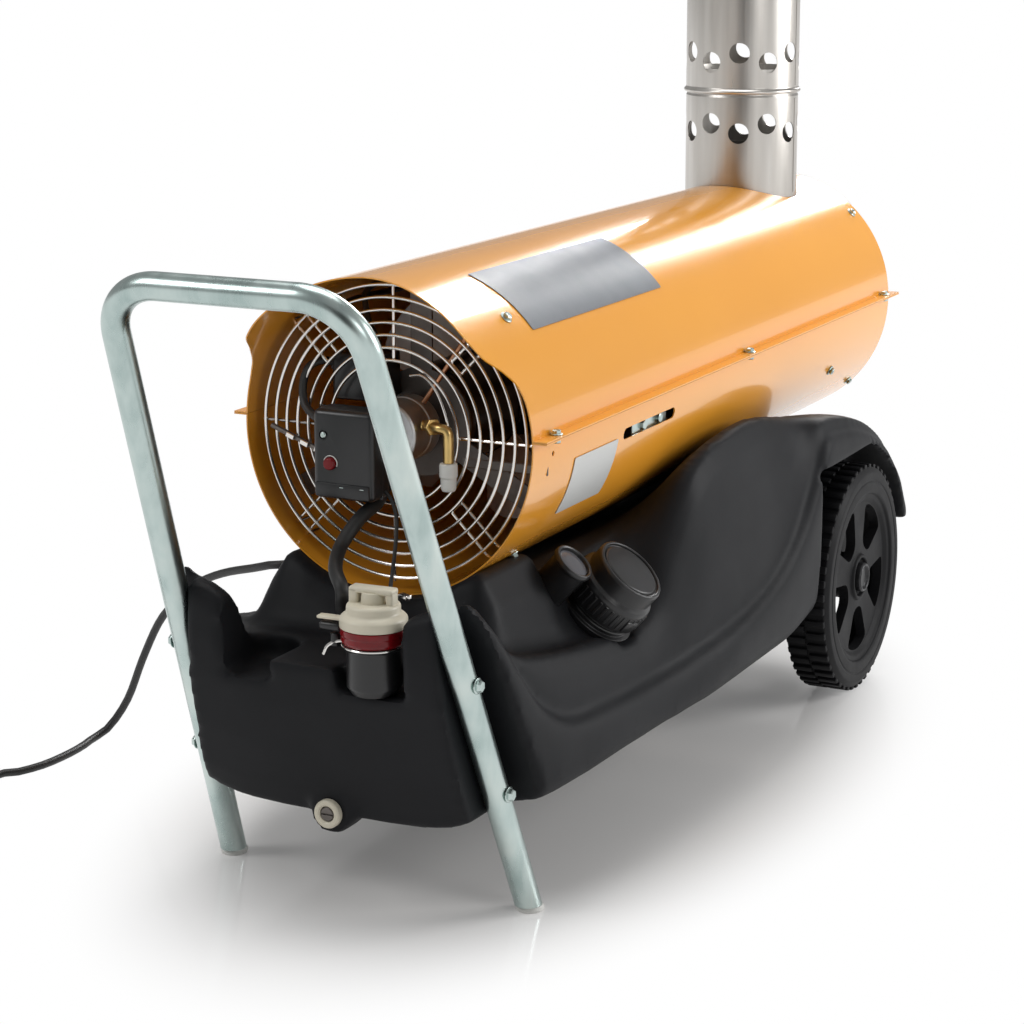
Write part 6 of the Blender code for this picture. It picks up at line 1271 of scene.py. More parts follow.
def tank_skin():
    """The sections and their mirror images, joined and closed."""
    shape = bmesh.new()
    half = len(sections[0])
    rings = []
    for section in sections:
        right = [shape.verts.new(point) for point in section]
        left = [shape.verts.new((-x, y, z)) for x, y, z in section[1:-1]]
        rings.append((right, [right[0], *left, right[-1]]))
    for near, far in zip(rings, rings[1:]):
        for row, next_row in zip(near, far):
            for i in range(half - 1):
                shape.faces.new((row[i], row[i + 1], next_row[i + 1], next_row[i]))
    close_end(shape, sections[0], rings[0], half)
    close_end(shape, sections[-1], rings[-1], half)
    bmesh.ops.recalc_face_normals(shape, faces=shape.faces)
    return mesh_of("skin", shape)


tank_surface = tank_skin()
print("skin of", len(tank_surface.polygons), "faces")

# %% [markdown]
# ## Pockets of the tank
#
# The mould has pockets for what is fixed to the tank: wheel arches, channels for the handle, the
# filter's scoop and its twin, a pad behind them, the bed of the barrel, the seat of the filler and the
# axle's groove. They could be drawn into the skin, but then each would disturb its faces. So each is a
# plain solid that is cut away by a Boolean.

# %% Places on the tank
FOOT = Vector((0.141, -0.020, 0.0))
HANDLE_TOP = Vector((0.1057, -0.2326, 0.5234))
TUBE_RADIUS = 0.011
WHEEL_RADIUS = 0.1174
WHEEL_PLACE = 0.663
FILTER_X = 0.050
FILTER_Y = TANK_FRONT + 0.020
FITTINGS_LEAN = math.radians(42.0)      # the filler and the gauge lean out by this
FILLER_BASE = Vector((0.1155, 0.152, 0.202))
GAUGE_TOP = Vector((0.120, 0.100, 0.255))
FILLER_FRAME = Matrix.Translation(FILLER_BASE) @ Matrix.Rotation(FITTINGS_LEAN, 4, "Y")
GAUGE_FRAME = Matrix.Translation(GAUGE_TOP) @ Matrix.Rotation(FITTINGS_LEAN, 4, "Y")
DRAIN_HEIGHT = 0.0835
DRAIN_FRONT = TANK_FRONT + FRONT_RAKE - 0.006
MIRROR_X = Matrix.Scale(-1.0, 4, (1.0, 0.0, 0.0))
print("wheel of %.0f mm, handle of %.0f mm" % (2000 * WHEEL_RADIUS, 2000 * TUBE_RADIUS))

# %% Channels, arches and groove
ARCH_RADIUS = WHEEL_RADIUS + 0.019
ARCH_FRONT = 0.535
ARCH_BACK = 0.84
ARCH_END_HEIGHT = 0.150         # of the fender's tip behind the wheel
ARCH_WALL = 0.133               # half the width of the tank between the wheels
PAST_SIDE = 0.22                # a cutter ends outside the tank
BELOW = -0.03                   # and under it
AXLE_RADIUS = 0.0094
ARC_PARTS = 24


def block(low, high):
    """A plain cutter between two corners."""
    size = [b - a for a, b in zip(low, high)]
    return moved(soft_box((1.0, 1.0, 1.0), 0.0001, steps=1), Matrix.Translation(
        [(a + b) / 2 for a, b in zip(low, high)]) @ Matrix.Diagonal((*size, 1.0)))


def both_sides(mesh):
    return gathered((mesh, STILL), (mesh, MIRROR_X))


leg_way = (HANDLE_TOP - FOOT).normalized()
leg_out = (Vector((1.0, 0.0, 0.0)) - leg_way * leg_way.x).normalized()
leg_frame = Matrix((leg_out, leg_way.cross(leg_out), leg_way)).transposed().to_4x4()
leg_frame.translation = FOOT
channels = both_sides(moved(block((-TUBE_RADIUS - GAP, -0.19, BELOW), (0.19, 0.022, 0.52)), leg_frame))

arch_top = WHEEL_RADIUS + ARCH_RADIUS
arch = [(ARCH_FRONT, BELOW), (ARCH_FRONT, arch_top), (WHEEL_PLACE, arch_top)]
arch_end = math.asin((ARCH_END_HEIGHT - WHEEL_RADIUS) / ARCH_RADIUS)
for i in range(1, ARC_PARTS + 1):
    angle = math.pi / 2 + (arch_end - math.pi / 2) * i / ARC_PARTS
    arch.append((WHEEL_PLACE + ARCH_RADIUS * math.cos(angle), WHEEL_RADIUS + ARCH_RADIUS * math.sin(angle)))
arch += [(ARCH_BACK, ARCH_END_HEIGHT), (ARCH_BACK, BELOW)]
to_side = Matrix(((0, 0, 1, 0), (1, 0, 0, 0), (0, 1, 0, 0), (0, 0, 0, 1)))      # an outline (y, z) along X
arches = both_sides(moved(carried(arch, ARCH_WALL, PAST_SIDE), to_side))
groove = [(WHEEL_PLACE - AXLE_RADIUS, 0.0)]
groove += [(WHEEL_PLACE + AXLE_RADIUS * math.cos(math.pi - math.pi * i / 12),
            WHEEL_RADIUS + AXLE_RADIUS * math.sin(math.pi - math.pi * i / 12)) for i in range(13)]
groove.append((WHEEL_PLACE + AXLE_RADIUS, 0.0))
axle_groove = moved(carried(groove, -PAST_SIDE, PAST_SIDE), to_side)
print("arches from y = %.3f to %.3f m" % (ARCH_FRONT, ARCH_BACK))

# %% Scoops, pad, bed and seats
SCOOP_FLOOR = 0.194
PAD_HEIGHT = 0.213
PAD_LEFT, PAD_RIGHT, PAD_BACK = -0.050, 0.078, -0.058
PAST_END = 0.03                 # a cutter ends outside the tank
SEAT_HALF = 0.0403              # of the rear stand's foot, with room round it
SEAT_FRONT, SEAT_BACK = 0.5847, 0.6153
SEAT_BELOW_BARREL = 0.016


def scoop(x, radius, depth):
    """A pocket that is open to the front and round at the back."""
    plan = [(-radius, -PAST_END - depth), (radius, -PAST_END - depth)]
    plan += [(radius * math.cos(math.pi * i / ARC_PARTS), radius * math.sin(math.pi * i / ARC_PARTS))
             for i in range(ARC_PARTS + 1)]
    return carried(plan, SCOOP_FLOOR, TANK_HEIGHT), Matrix.Translation((x, TANK_FRONT + depth, 0.0))


scoops = gathered(scoop(0.053, 0.0305, 0.020), scoop(-0.059, 0.021, 0.048))
pad_notch = block((PAD_LEFT, TANK_FRONT - PAST_END, PAD_HEIGHT), (PAD_RIGHT, PAD_BACK, TANK_HEIGHT))
barrel_bed = drum(BARREL_RADIUS + GAP, -PAST_END, BARREL_LENGTH + PAST_END, ON_AXIS, 160)
drain_frame = Matrix.Translation((0.0, DRAIN_FRONT, DRAIN_HEIGHT)) @ ALONG_Y
seat_height = BARREL_AXIS - BARREL_RADIUS - SEAT_BELOW_BARREL
stand_seat = block((-SEAT_HALF, SEAT_FRONT, seat_height), (SEAT_HALF, SEAT_BACK, BARREL_AXIS))
print("scoops down to z = %.3f m" % SCOOP_FLOOR)

# %% [markdown]
# ## Soft edges of the tank
#
# Powder that melts inside a turning mould leaves round edges everywhere, also where two pockets meet. A
# Bevel would need clean edges, and Booleans don't leave them. So the whole tank is remeshed in cubes of
# 4 mm and smoothed a little, which rounds every edge by a few millimetres. What has to stay sharp, the
# bores of the filler, the gauge and the drain and the axle's groove, is cut after that.

# %% Tank: soft edges and bores
VOXEL = 0.0040
SMOOTHINGS = 3

skin = helper(tank_surface)
finer = skin.modifiers.new("finer", "SUBSURF")
finer.levels = 1
finer.render_levels = 1
tank = carved(
    baked(skin), ("UNION", drum(0.0404, -0.045, 0.010, FILLER_FRAME)),
    ("UNION", drum(0.0185, 0.0, 0.030, drain_frame)), ("DIFFERENCE", barrel_bed), ("DIFFERENCE", channels),
    ("DIFFERENCE", arches), ("DIFFERENCE", pad_notch), ("DIFFERENCE", scoops),
    ("DIFFERENCE", drum(0.041, 0.0, 0.16, FILLER_FRAME)), ("DIFFERENCE", stand_seat))
softened = helper(tank)
cubes = softened.modifiers.new("cubes", "REMESH")
cubes.mode = "VOXEL"
cubes.voxel_size = VOXEL
smoother = softened.modifiers.new("smoother", "SMOOTH")
smoother.factor = 0.5
smoother.iterations = SMOOTHINGS
tank = carved(
    baked(softened), ("DIFFERENCE", drum(0.0235, -0.060, 0.03, FILLER_FRAME)),
    ("DIFFERENCE", drum(0.0168, -0.0353, 0.03, GAUGE_FRAME, 48)),
    ("DIFFERENCE", drum(0.0062, -0.03, 0.030, drain_frame, 32)), ("DIFFERENCE", axle_groove))
show("tank", tank, "moulded_black", replaces=("fuel_tank",), crease=48.0)

# %% [markdown]
# ## Handle
#
# One zinc plated tube of 22 mm rises from the floor in front of the tank, bends over into a grip and
# comes down on the other side, so it is a stand as well. A curve with a bevel would make it too, but
# its bends are true arcs. So the route is worked out as two straight legs and two arcs, and a tube is
# drawn along it. The legs are sawn level with the floor, so the ends are cut by a Boolean. A pale
# plastic plug closes each, and two bolts go through each leg into the tank.

# %% Handle
HANDLE_BEND = 0.048
TUBE_CUT = 0.0053               # the tube ends this far above the floor, on its plug
INWARDS = Vector((-1.0, 0.0, 0.0))

bend = leg_way.angle(INWARDS)
setback = HANDLE_BEND * math.tan(bend / 2)
to_centre = (INWARDS - leg_way * INWARDS.dot(leg_way)).normalized()
bend_start = HANDLE_TOP - leg_way * setback
route = [FOOT - leg_way * 0.02]
for i in range(ARC_PARTS + 1):
    angle = bend * i / ARC_PARTS
    route.append(bend_start + to_centre * HANDLE_BEND * (1.0 - math.cos(angle))
                 + leg_way * HANDLE_BEND * math.sin(angle))
route += [Vector((-point.x, point.y, point.z)) for point in reversed(route)]
sawn_off = block((-0.3, -0.3, -0.1), (0.3, 0.3, TUBE_CUT))
handle = carved(tube(route, TUBE_RADIUS, 48), ("DIFFERENCE", sawn_off))
show("handle_tube", handle, "zinc_plate", replaces=("handle",), crease=40.0)

# %% Feet and bolts
BOLT_OUT = 0.0113               # from the middle of the leg to the bolt's washer
bolt_heights = (("lower", 0.112), ("upper", 0.211))

def on_leg(height):
    return FOOT + leg_way * (height / leg_way.z)


def one_each_side(name, mesh, slot, node):
    """The same piece on the right and, mirrored, on the left."""
    for word, matrix in (("right", STILL), ("left", MIRROR_X)):
        show("%s_%s" % (name, word), moved(mesh, matrix), slot, replaces=("%s_%s" % (node, word),))


foot = turned([(0.0, 0.0), (0.0112, 0.0), (0.0116, 0.0018), (TUBE_RADIUS, 0.005), (0.0, 0.005)], 48, 0.0008)
one_each_side("foot_rubber", moved(foot, Matrix.Translation(FOOT)), "white_plastic", "foot_plug")

TO_RIGHT = Matrix.Rotation(math.pi / 2, 4, "Y")        # takes +Z to +X
bolt = gathered(
    (turned([(0.0, -0.0418), (0.0030, -0.0418), (0.0030, 0.0), (0.0065, 0.0), (0.0065, 0.0008),
             (0.0050, 0.0010), (0.0, 0.0010)], 28, 0.0002), STILL),
    (turned([(0.0, 0.0010), (0.0050, 0.0010), (0.0050, 0.0036), (0.0042, 0.0045), (0.0, 0.0045)], 6), STILL))
for word, height in bolt_heights:
    place = Matrix.Translation(on_leg(height) + Vector((BOLT_OUT, 0.0, 0.0))) @ TO_RIGHT
    one_each_side("bolt_" + word, moved(bolt, place), "zinc_plate", "handle_bolt_" + word)

# %% [markdown]
# ## Wheels
#
# The wheels are moulded in one piece: a tyre with two staggered rows of low blocks, a stepped rim, a
# web with five large openings and a hub with a cup for the axle's cap. One profile that is turned
# keeps tyre, rim and hub as one wall, which separate rings wouldn't. The openings are Booleans, and
# the blocks are scattered round the tread. A block has to turn about the axle only, so the tree is
# told to keep its X axis.

# %% Wheels
WHEEL_MIDDLE = 0.166
HALF_WIDTH = 0.024
TREAD_BASE = WHEEL_RADIUS - 0.0030
TREAD_BLOCKS = 52
RIM_INNER = 0.0874
WEB_FRONT = 0.017
WEB_BACK = 0.007
HUB = 0.024
HUB_BACK = -0.0322
OPENINGS = 5
OPENING_NEAR = 0.034
OPENING_FAR = 0.076
OPENING_SHARE = 0.62            # of its part of the turn

wheel_profile = [
    (TREAD_BASE - 0.006, HALF_WIDTH), (TREAD_BASE, HALF_WIDTH - 0.0040), (TREAD_BASE, 0.0040 - HALF_WIDTH),
    (TREAD_BASE - 0.006, -HALF_WIDTH), (RIM_INNER, -HALF_WIDTH), (RIM_INNER - 0.003, WEB_BACK),
    (HUB, WEB_BACK), (HUB - 0.0015, HUB_BACK), (AXLE_RADIUS, HUB_BACK), (AXLE_RADIUS, 0.0158),
    (0.0192, 0.0158), (0.0200, 0.0205),
    (0.0228, 0.0205), (HUB + 0.0005, WEB_FRONT), (RIM_INNER - 0.010, WEB_FRONT), (RIM_INNER - 0.0055, 0.0205),
    (RIM_INNER - 0.001, 0.0212), (RIM_INNER, HALF_WIDTH - 0.0008), (RIM_INNER + 0.002, HALF_WIDTH),
    (TREAD_BASE - 0.016, HALF_WIDTH), (TREAD_BASE - 0.0150, HALF_WIDTH - 0.0007),
    (TREAD_BASE - 0.0140, HALF_WIDTH - 0.0007), (TREAD_BASE - 0.0130, HALF_WIDTH)]
half = math.pi / OPENINGS * OPENING_SHARE
wedge = rounded([(radius * math.cos(angle), radius * math.sin(angle)) for radius, angle in (
    (OPENING_NEAR, -half * 0.80), (OPENING_FAR * 0.985, -half), (OPENING_FAR * 1.012, -half / 2),
    (OPENING_FAR * 1.02, 0.0), (OPENING_FAR * 1.012, half / 2), (OPENING_FAR * 0.985, half),
    (OPENING_NEAR, half * 0.80))], 0.009, 6, ring=True)
opening = carried([tuple(point)[:2] for point in wedge], -0.02, 0.03)
openings = gathered(*[(opening, Matrix.Rotation(angle, 4, "Z")) for angle in turns(OPENINGS)])
disc = carved(turned(wheel_profile, 128, 0.0012, ring=True), ("DIFFERENCE", openings))
print("wheel disc of", len(disc.polygons), "faces")

# %% Tread and both wheels
BLOCK_SUNK = 0.0032             # the middle of a block lies this far under the tread's surface
ROW_OUT = 0.0106                # each row of blocks from the wheel's middle
tread_block = soft_box((0.0200, 0.0074, 0.0062), 0.0011, (0.0, 0.0, 0.0001), 2)
tread_spots = []
for i in range(2 * TREAD_BLOCKS):
    angle = math.tau * (i + 0.25) / (2 * TREAD_BLOCKS)
    way = Vector((0.0, math.cos(angle), math.sin(angle)))
    row = Vector((ROW_OUT if i % 2 else -ROW_OUT, 0.0, 0.0))
    tread_spots.append((way * (WHEEL_RADIUS - BLOCK_SUNK) + row, way))
tread = scattered(tread_block, tread_spots, "black_plastic", pivot="X")
for word, side, spin in (("right", 1, 0.0), ("left", -1, math.pi)):
    spot = (Matrix.Translation((side * WHEEL_MIDDLE, WHEEL_PLACE, WHEEL_RADIUS))
            @ Matrix.Rotation(spin, 4, "Z"))
    wheel = gathered((disc, spot @ TO_RIGHT), (tread, spot))
    show("wheel_" + word + "_moulded", wheel, "black_plastic", "wheel_" + word, replaces=("wheel_" + word,),
         material=tyre.material, crease=30.0)

# %% Axle caps
CAP_OUT = 0.1828
dark_cap = Finish("blackened_cap", (0.028, 0.028, 0.030), 0.34, 0.4)
dark_cap.put("Roughness", 0.28 + dark_cap.noise(180.0, 3.0) * 0.16)
cap = turned([
    (0.0, 0.0050), (0.0108, 0.0050), (0.0122, 0.0078), (0.0136, 0.0080), (0.0150, 0.0062),
    (0.0150, 0.0), (0.0093, 0.0), (0.0093, 0.0043), (0.0, 0.0043)], 48, 0.0007)
for word, matrix in (("right", STILL), ("left", MIRROR_X)):
    placed = moved(cap, matrix @ Matrix.Translation((CAP_OUT, WHEEL_PLACE, WHEEL_RADIUS)) @ TO_RIGHT)
    show("axle_cap_dished_" + word, placed, "zinc_plate", replaces=("axle_cap_" + word,),
         material=dark_cap.material)

# %% [markdown]
# ## Filler and gauge
#
# The filler neck leans out of the tank's right shoulder under a screw cap with grips round its skirt.
# A white strainer hangs in it, which shows when the cap is off. The fuel gauge beside it is a bezel
# with a dark window. Each could start as a cylinder that is cut and bevelled step by step, but a
# turned profile gives all its steps at once. All stand on leaning axes, and the grips are one rib that
# is repeated round the skirt.

# %% Filler
THREAD_ROOT = 0.0334
THREAD_CREST = 0.0340
THREAD_HALF = 0.0012
neck = turned([
    (0.0335, 0.030), (0.0335, 0.006), (0.038, 0.006), (0.038, 0.0003), (0.0238, 0.0003),
    (0.0238, 0.030)], 96, 0.0008, ring=True)
thread = [(turned([(THREAD_ROOT, height - THREAD_HALF), (THREAD_CREST, height),
                   (THREAD_ROOT, height + THREAD_HALF)], 72, ring=True), STILL)
          for height in (0.0095, 0.0125)]
show("filler_throat", moved(gathered((neck, STILL), *thread), FILLER_FRAME), "black_plastic",
     replaces=("filler_neck",))
strainer = turned([
    (0.0, -0.051), (0.0215, -0.051), (0.0215, 0.0313), (0.027, 0.0313), (0.027, 0.0303),
    (0.0225, 0.0303), (0.0225, -0.052), (0.0, -0.052)], 72, 0.0003)
show("strainer", moved(strainer, FILLER_FRAME), "white_plastic", replaces=("filler_strainer",))

# %% Screw cap
GRIPS = 36
GRIP_OUT = 0.0361               # from the cap's axis
GRIP_UP = 0.0245
cap_shell = turned([
    (0.0, 0.0560), (0.0255, 0.0553), (0.0268, 0.0542), (0.0272, 0.0532), (0.0284, 0.0532), (0.0288, 0.0556),
    (0.0310, 0.0556), (0.0322, 0.0535), (0.0322, 0.0395), (0.0355, 0.0370), (0.0366, 0.0335),
    (0.0366, 0.0142), (0.0343, 0.0142), (0.0343, 0.0316), (0.0, 0.0316)], 120, 0.0008)
grip_rib = soft_box((0.0022, 0.0030, 0.0150), 0.0006, steps=1)
ribs = gathered(*[(grip_rib, Matrix.Rotation(angle, 4, "Z") @ Matrix.Translation((GRIP_OUT, 0.0, GRIP_UP)))
                  for angle in turns(GRIPS)])
tab = soft_box((0.0040, 0.0150, 0.0120), 0.0012, (0.0355, 0.0, 0.0225), 2)
filler_cap = gathered((cap_shell, STILL), (ribs, STILL), (tab, Matrix.Rotation(math.radians(-20.0), 4, "Z")))
show("screw_cap", moved(filler_cap, FILLER_FRAME), "black_plastic", "filler_cap", replaces=("filler_cap",))

# %% Gauge
bezel = turned([
    (0.0, 0.0022), (0.0146, 0.0022), (0.0150, 0.0052), (0.0165, 0.0060), (0.0176, 0.0058),
    (0.0185, 0.0036), (0.0185, 0.0011), (0.0165, 0.0), (0.0165, -0.035), (0.0, -0.035)], 72, 0.0006)
show("gauge_bezel", moved(bezel, GAUGE_FRAME), "black_plastic", replaces=("fuel_gauge",))
window = Finish("gauge_window", (0.11, 0.112, 0.125), 0.20)
window.put("Roughness", 0.10 + window.noise(60.0, 2.0) * 0.10)
pane = turned([
    (0.0, 0.0020), (0.0146, 0.0020), (0.0144, 0.0030), (0.0080, 0.0040), (0.0, 0.0043)], 60, 0.0004)
show("gauge_window", moved(pane, GAUGE_FRAME), "black_plastic", material=window.material)

# %% [markdown]
# ## Fuel filter and drain
#
# The fuel filter sits in a scoop in front of the barrel: a black bowl, a red ring and a cream cap with
# a bridge to turn it by. A sprung wire holds it down, with a small lever at its side. The drain at the
# bottom is a cream washer with a dull steel plug in a black boss. The three round parts of the filter
# could be one profile with three finishes, but the cap has to turn alone, so each is a piece.

# %% Fuel filter
BARB_REACH = 0.0104
FILTER_AT = Matrix.Translation((FILTER_X, FILTER_Y, 0.0))
bowl = turned([(0.0, 0.2347), (0.0230, 0.2347), (0.0238, 0.2325), (0.0215, 0.2305), (0.0215, 0.2009),
               (0.0171, 0.1943), (0.0, 0.1943)], 72, 0.0009)
barb_way = Vector((-0.8, 0.6, 0.0))
barb_start = Vector((FILTER_X, FILTER_Y, 0.2265)) + barb_way * 0.0171
barb_tip = barb_start + barb_way * BARB_REACH
barb = tube([barb_start, barb_tip], 0.0042, 20)
show("filter_bowl", gathered((bowl, FILTER_AT), (barb, STILL)), "black_plastic", replaces=("filter_body",))
gasket = turned([
    (0.0, 0.2479), (0.0262, 0.2479), (0.0262, 0.2430), (0.0254, 0.2420), (0.0258, 0.2380),
    (0.0240, 0.2350), (0.0, 0.2350)], 72, 0.0006)
show("filter_gasket", moved(gasket, FILTER_AT), "red_plastic", replaces=("filter_ring",))

# %% Filter cap
lid = turned([
    (0.0, 0.2673), (0.0195, 0.2673), (0.0213, 0.2655), (0.0215, 0.2600), (0.0248, 0.2578), (0.0268, 0.2556),
    (0.0268, 0.2483), (0.0, 0.2483)], 96, 0.0012)
bridge = gathered(
    (soft_box((0.0380, 0.0125, 0.0052), 0.0020, (0.0, 0.0, 0.2772)), STILL),
    (soft_box((0.0080, 0.0125, 0.0150), 0.0020, (-0.0150, 0.0, 0.2716)), STILL),
    (soft_box((0.0060, 0.0110, 0.0150), 0.0018, (0.0160, 0.0, 0.2716)), STILL),
    (turned([(0.0, 0.2665), (0.0100, 0.2665), (0.0092, 0.2760), (0.0, 0.2760)], 48, 0.0008), STILL),
    (soft_box((0.0250, 0.0085, 0.0026), 0.0010, (-0.0345, -0.0020, 0.2520), 3), STILL))
bridged_lid = gathered((lid, STILL), (bridge, Matrix.Rotation(math.radians(3.0), 4, "Z")))
show("filter_lid", moved(bridged_lid, FILTER_AT), "cream_plastic", "filter_cap", replaces=("filter_cap",))

# %% Spring and lever
SPRING_RADIUS = 0.0246
SPRING_HEIGHT = 0.2338
loop = [Vector((SPRING_RADIUS * math.cos(angle), SPRING_RADIUS * math.sin(angle), SPRING_HEIGHT))
        for angle in turns(48)]
spring = gathered(
    (tube(loop, 0.0009, 8, closed=True), FILTER_AT),
    (tube(smooth_route([(0.0256, -0.1120, SPRING_HEIGHT), (0.0190, -0.1140, 0.2330),
                        (0.0120, -0.1160, 0.2290), (0.0085, -0.1170, 0.2220)], 16), 0.0014, 8), STILL))
show("filter_spring", spring, "bright_wire")
lever = gathered(
    (soft_box((0.0190, 0.0090, 0.0070), 0.0026, (0.0130, -0.1120, 0.2445)), STILL),
    (turned([(0.0, 0.2290), (0.0042, 0.2290), (0.0036, 0.2390), (0.0, 0.2395)], 28, 0.0006),
     Matrix.Translation((0.0165, -0.1120, 0.0))))
show("filter_lever", lever, "black_plastic")

# %% Drain
washer = turned([
    (0.0118, -GAP), (0.0118, -0.0050), (0.0106, -0.0063), (0.0078, -0.0063), (0.0064, -0.0050),
    (0.0064, -GAP)], 64, 0.0006, ring=True)
show("drain_washer", moved(washer, drain_frame), "cream_plastic", replaces=("drain_ring",))
drain_screw = turned([
    (0.0, 0.0278), (0.0052, 0.0278), (0.0052, -GAP), (0.0060, -GAP), (0.0060, -0.0044),
    (0.0052, -0.0053), (0.0, -0.0048)], 48, 0.0004)
screw_slot = block((-0.02, -0.0008, -0.02), (0.02, 0.0008, -0.0037))
drain_screw = carved(drain_screw, ("DIFFERENCE", screw_slot))
show("drain_screw", moved(drain_screw, drain_frame), "heat_resisting_steel", "drain_plug",
     replaces=("drain_plug",))

# %% [markdown]
# ## Motor, pump and box
#
# Behind the grille a motor turns the fan, and the fuel pump on its front carries the control box with
# its red reset button. The transformer sits at the upper left. Behind wires, plain boxes and cylinders
# might do, but these parts are what fills the inlet. So they get soft edges, seams and screws, from the
# same few shapes as the rest.

# %% Pump and motor
pump = turned([
    (0.0, 0.0485), (0.0120, 0.0485), (0.0120, 0.0463), (0.0250, 0.0463), (0.0270, 0.0441),
    (0.0270, 0.0300), (0.0258, 0.0290), (0.0258, 0.0220), (0.0270, 0.0210), (0.0270, 0.0022),
    (0.0250, 0.0), (0.0, 0.0)], 72, 0.0008)
show("pump_body", moved(pump, ON_AXIS), "cast_alloy", replaces=("fuel_pump",))
elbow_way = smooth_route([
    (0.0276, 0.0121, 0.3825), (0.0318, 0.0115, 0.3825), (0.0476, 0.001, 0.3837), (0.0556, 0.001, 0.3821),
    (0.0572, 0.001, 0.3741), (0.0572, 0.001, 0.3563)], 30)
elbow_nut = turned([(0.0, 0.0), (0.0072, 0.0), (0.0072, 0.0050), (0.0, 0.0050)], 6, 0.0006)
nut_way = Vector(elbow_way[4]) - Vector(elbow_way[3])
elbow = gathered((tube(elbow_way, 0.0044, 24), STILL), (elbow_nut, frame_at(elbow_way[6], nut_way)))
show("elbow", elbow, "brass", replaces=("pump_elbow",))
connector = turned([
    (0.0, 0.0), (0.0070, 0.0), (0.0075, -0.0022), (0.0075, -0.0110), (0.0066, -0.0122),
    (0.0062, -0.0208), (0.0053, -0.0230), (0.0, -0.0230)], 40, 0.0006)
show("connector", moved(connector, Matrix.Translation((0.0572, 0.001, 0.356))), "white_plastic",
     replaces=("pump_connector",))
motor_bands = [(turned([(0.0458, along), (0.0458, along + 0.0016), (0.0448, along + 0.0008)],
                       72, ring=True), STILL) for along in (0.0745, 0.1535)]
motor_shell = turned([
    (0.012, 0.170), (0.012, 0.164), (0.0430, 0.164), (0.0448, 0.160), (0.0450, 0.068), (0.0430, 0.064),
    (0.012, 0.064), (0.012, 0.058), (0.0054, 0.058), (0.0054, 0.170)], 72, 0.0010, ring=True)
show("motor_case", moved(gathered((motor_shell, STILL), *motor_bands), ON_AXIS), "black_plastic",
     replaces=("motor",))

# %% Control box
BOX_PLACE = (-0.0235, -0.0153, 0.360)
button_bore = drum(0.0056, 0.0, 0.0111, Matrix.Translation((-0.0110, -0.0150, -0.007)) @ ALONG_Y, 40)
screw_bore = drum(0.0040, -0.001, 0.0020, Matrix.Translation((-0.0175, -0.0150, 0.016)) @ ALONG_Y, 24)
box = carved(soft_box((0.056, 0.030, 0.074), 0.0050, steps=4), ("DIFFERENCE", button_bore),
             ("DIFFERENCE", screw_bore))
seam = soft_box((0.0562, 0.0012, 0.0742), 0.0005, (0.0, 0.002, 0.0), 1)
ledge = soft_box((0.0500, 0.0030, 0.0120), 0.0012, (0.0, -0.0148, -0.0290), 2)
show("burner_control", moved(gathered((box, STILL), (seam, STILL), (ledge, STILL)),
                             Matrix.Translation(BOX_PLACE)), "black_plastic", replaces=("control_box",))
box_screw = gathered(
    (turned([(0.0, 0.0), (0.0026, 0.0), (0.0026, 0.0008), (0.0018, 0.0014), (0.0, 0.0015)],
            20, 0.0002), STILL),
    (soft_box((0.0036, 0.0006, 0.0006), 0.0001, (0.0, 0.0, 0.0014), 1), STILL))
TO_FRONT = Vector((0.0, -1.0, 0.0))
screws = [(Vector((x, -0.0300, z)), TO_FRONT)
          for x, z in ((-0.0410, 0.376), (-0.0240, 0.334), (-0.0050, 0.334))]
show("box_screws", scattered(box_screw, screws, "zinc_plate"), "zinc_plate")

# %% Reset button
MARK_RADIUS = 0.0063            # the pale arc round the button
button_frame = Matrix.Translation((-0.0345, -0.0303, 0.353)) @ ALONG_Y
button = turned([
    (0.0, 0.0078), (0.0052, 0.0078), (0.0052, -0.0030), (0.0044, -0.0042), (0.0, -0.0036)], 40, 0.0005)
show("reset_cap", moved(button, button_frame), "red_plastic", "reset_button", replaces=("reset_button",))
arc = [Vector((MARK_RADIUS * math.cos(angle), MARK_RADIUS * math.sin(angle), -0.0002))
       for angle in map(math.radians, range(-160, 21, 10))]
show("reset_mark", moved(tube(arc, 0.0005, 8), button_frame), "white_plastic")

# %% Transformer
trafo = gathered(
    (soft_box((0.044, 0.040, 0.040), 0.0035), STILL),
    (soft_box((0.0444, 0.0014, 0.0404), 0.0005, (0.0, -0.008, 0.0), 1), STILL),
    (soft_box((0.0090, 0.0120, 0.0100), 0.0020, (-0.0200, -0.012, 0.009), 2), STILL))
show("ignition_transformer", moved(trafo, Matrix.Translation((-0.0405, 0.0404, 0.415))), "black_plastic",
     replaces=("transformer",))

# %% [markdown]
# ## Fan
#
# The fan is cast in one piece, five broad blades on a hub. A flat blade that is turned a little would
# be quick, but a real one twists: it stands steeper at the hub than at the tip. So the blade is a grid
# of points, each placed by its share of the way out and across, and Solidify gives it its thickness.

# %% Fan
FAN_RADIUS = 0.111
FAN_HUB = 0.022
FAN_DEPTH = 0.024
FAN_PLACE = 0.188
BLADES = 5
BLADE_SHEET = 0.0014
BLADE_ROOT = 0.003              # the blade starts this far inside the hub
ROOT_SWEEP = 62.0               # degrees that a blade takes of the turn, at its root
LESS_SWEEP = 18.0               # and how many fewer at its tip
OUT_STEPS, ACROSS_STEPS = 16, 18

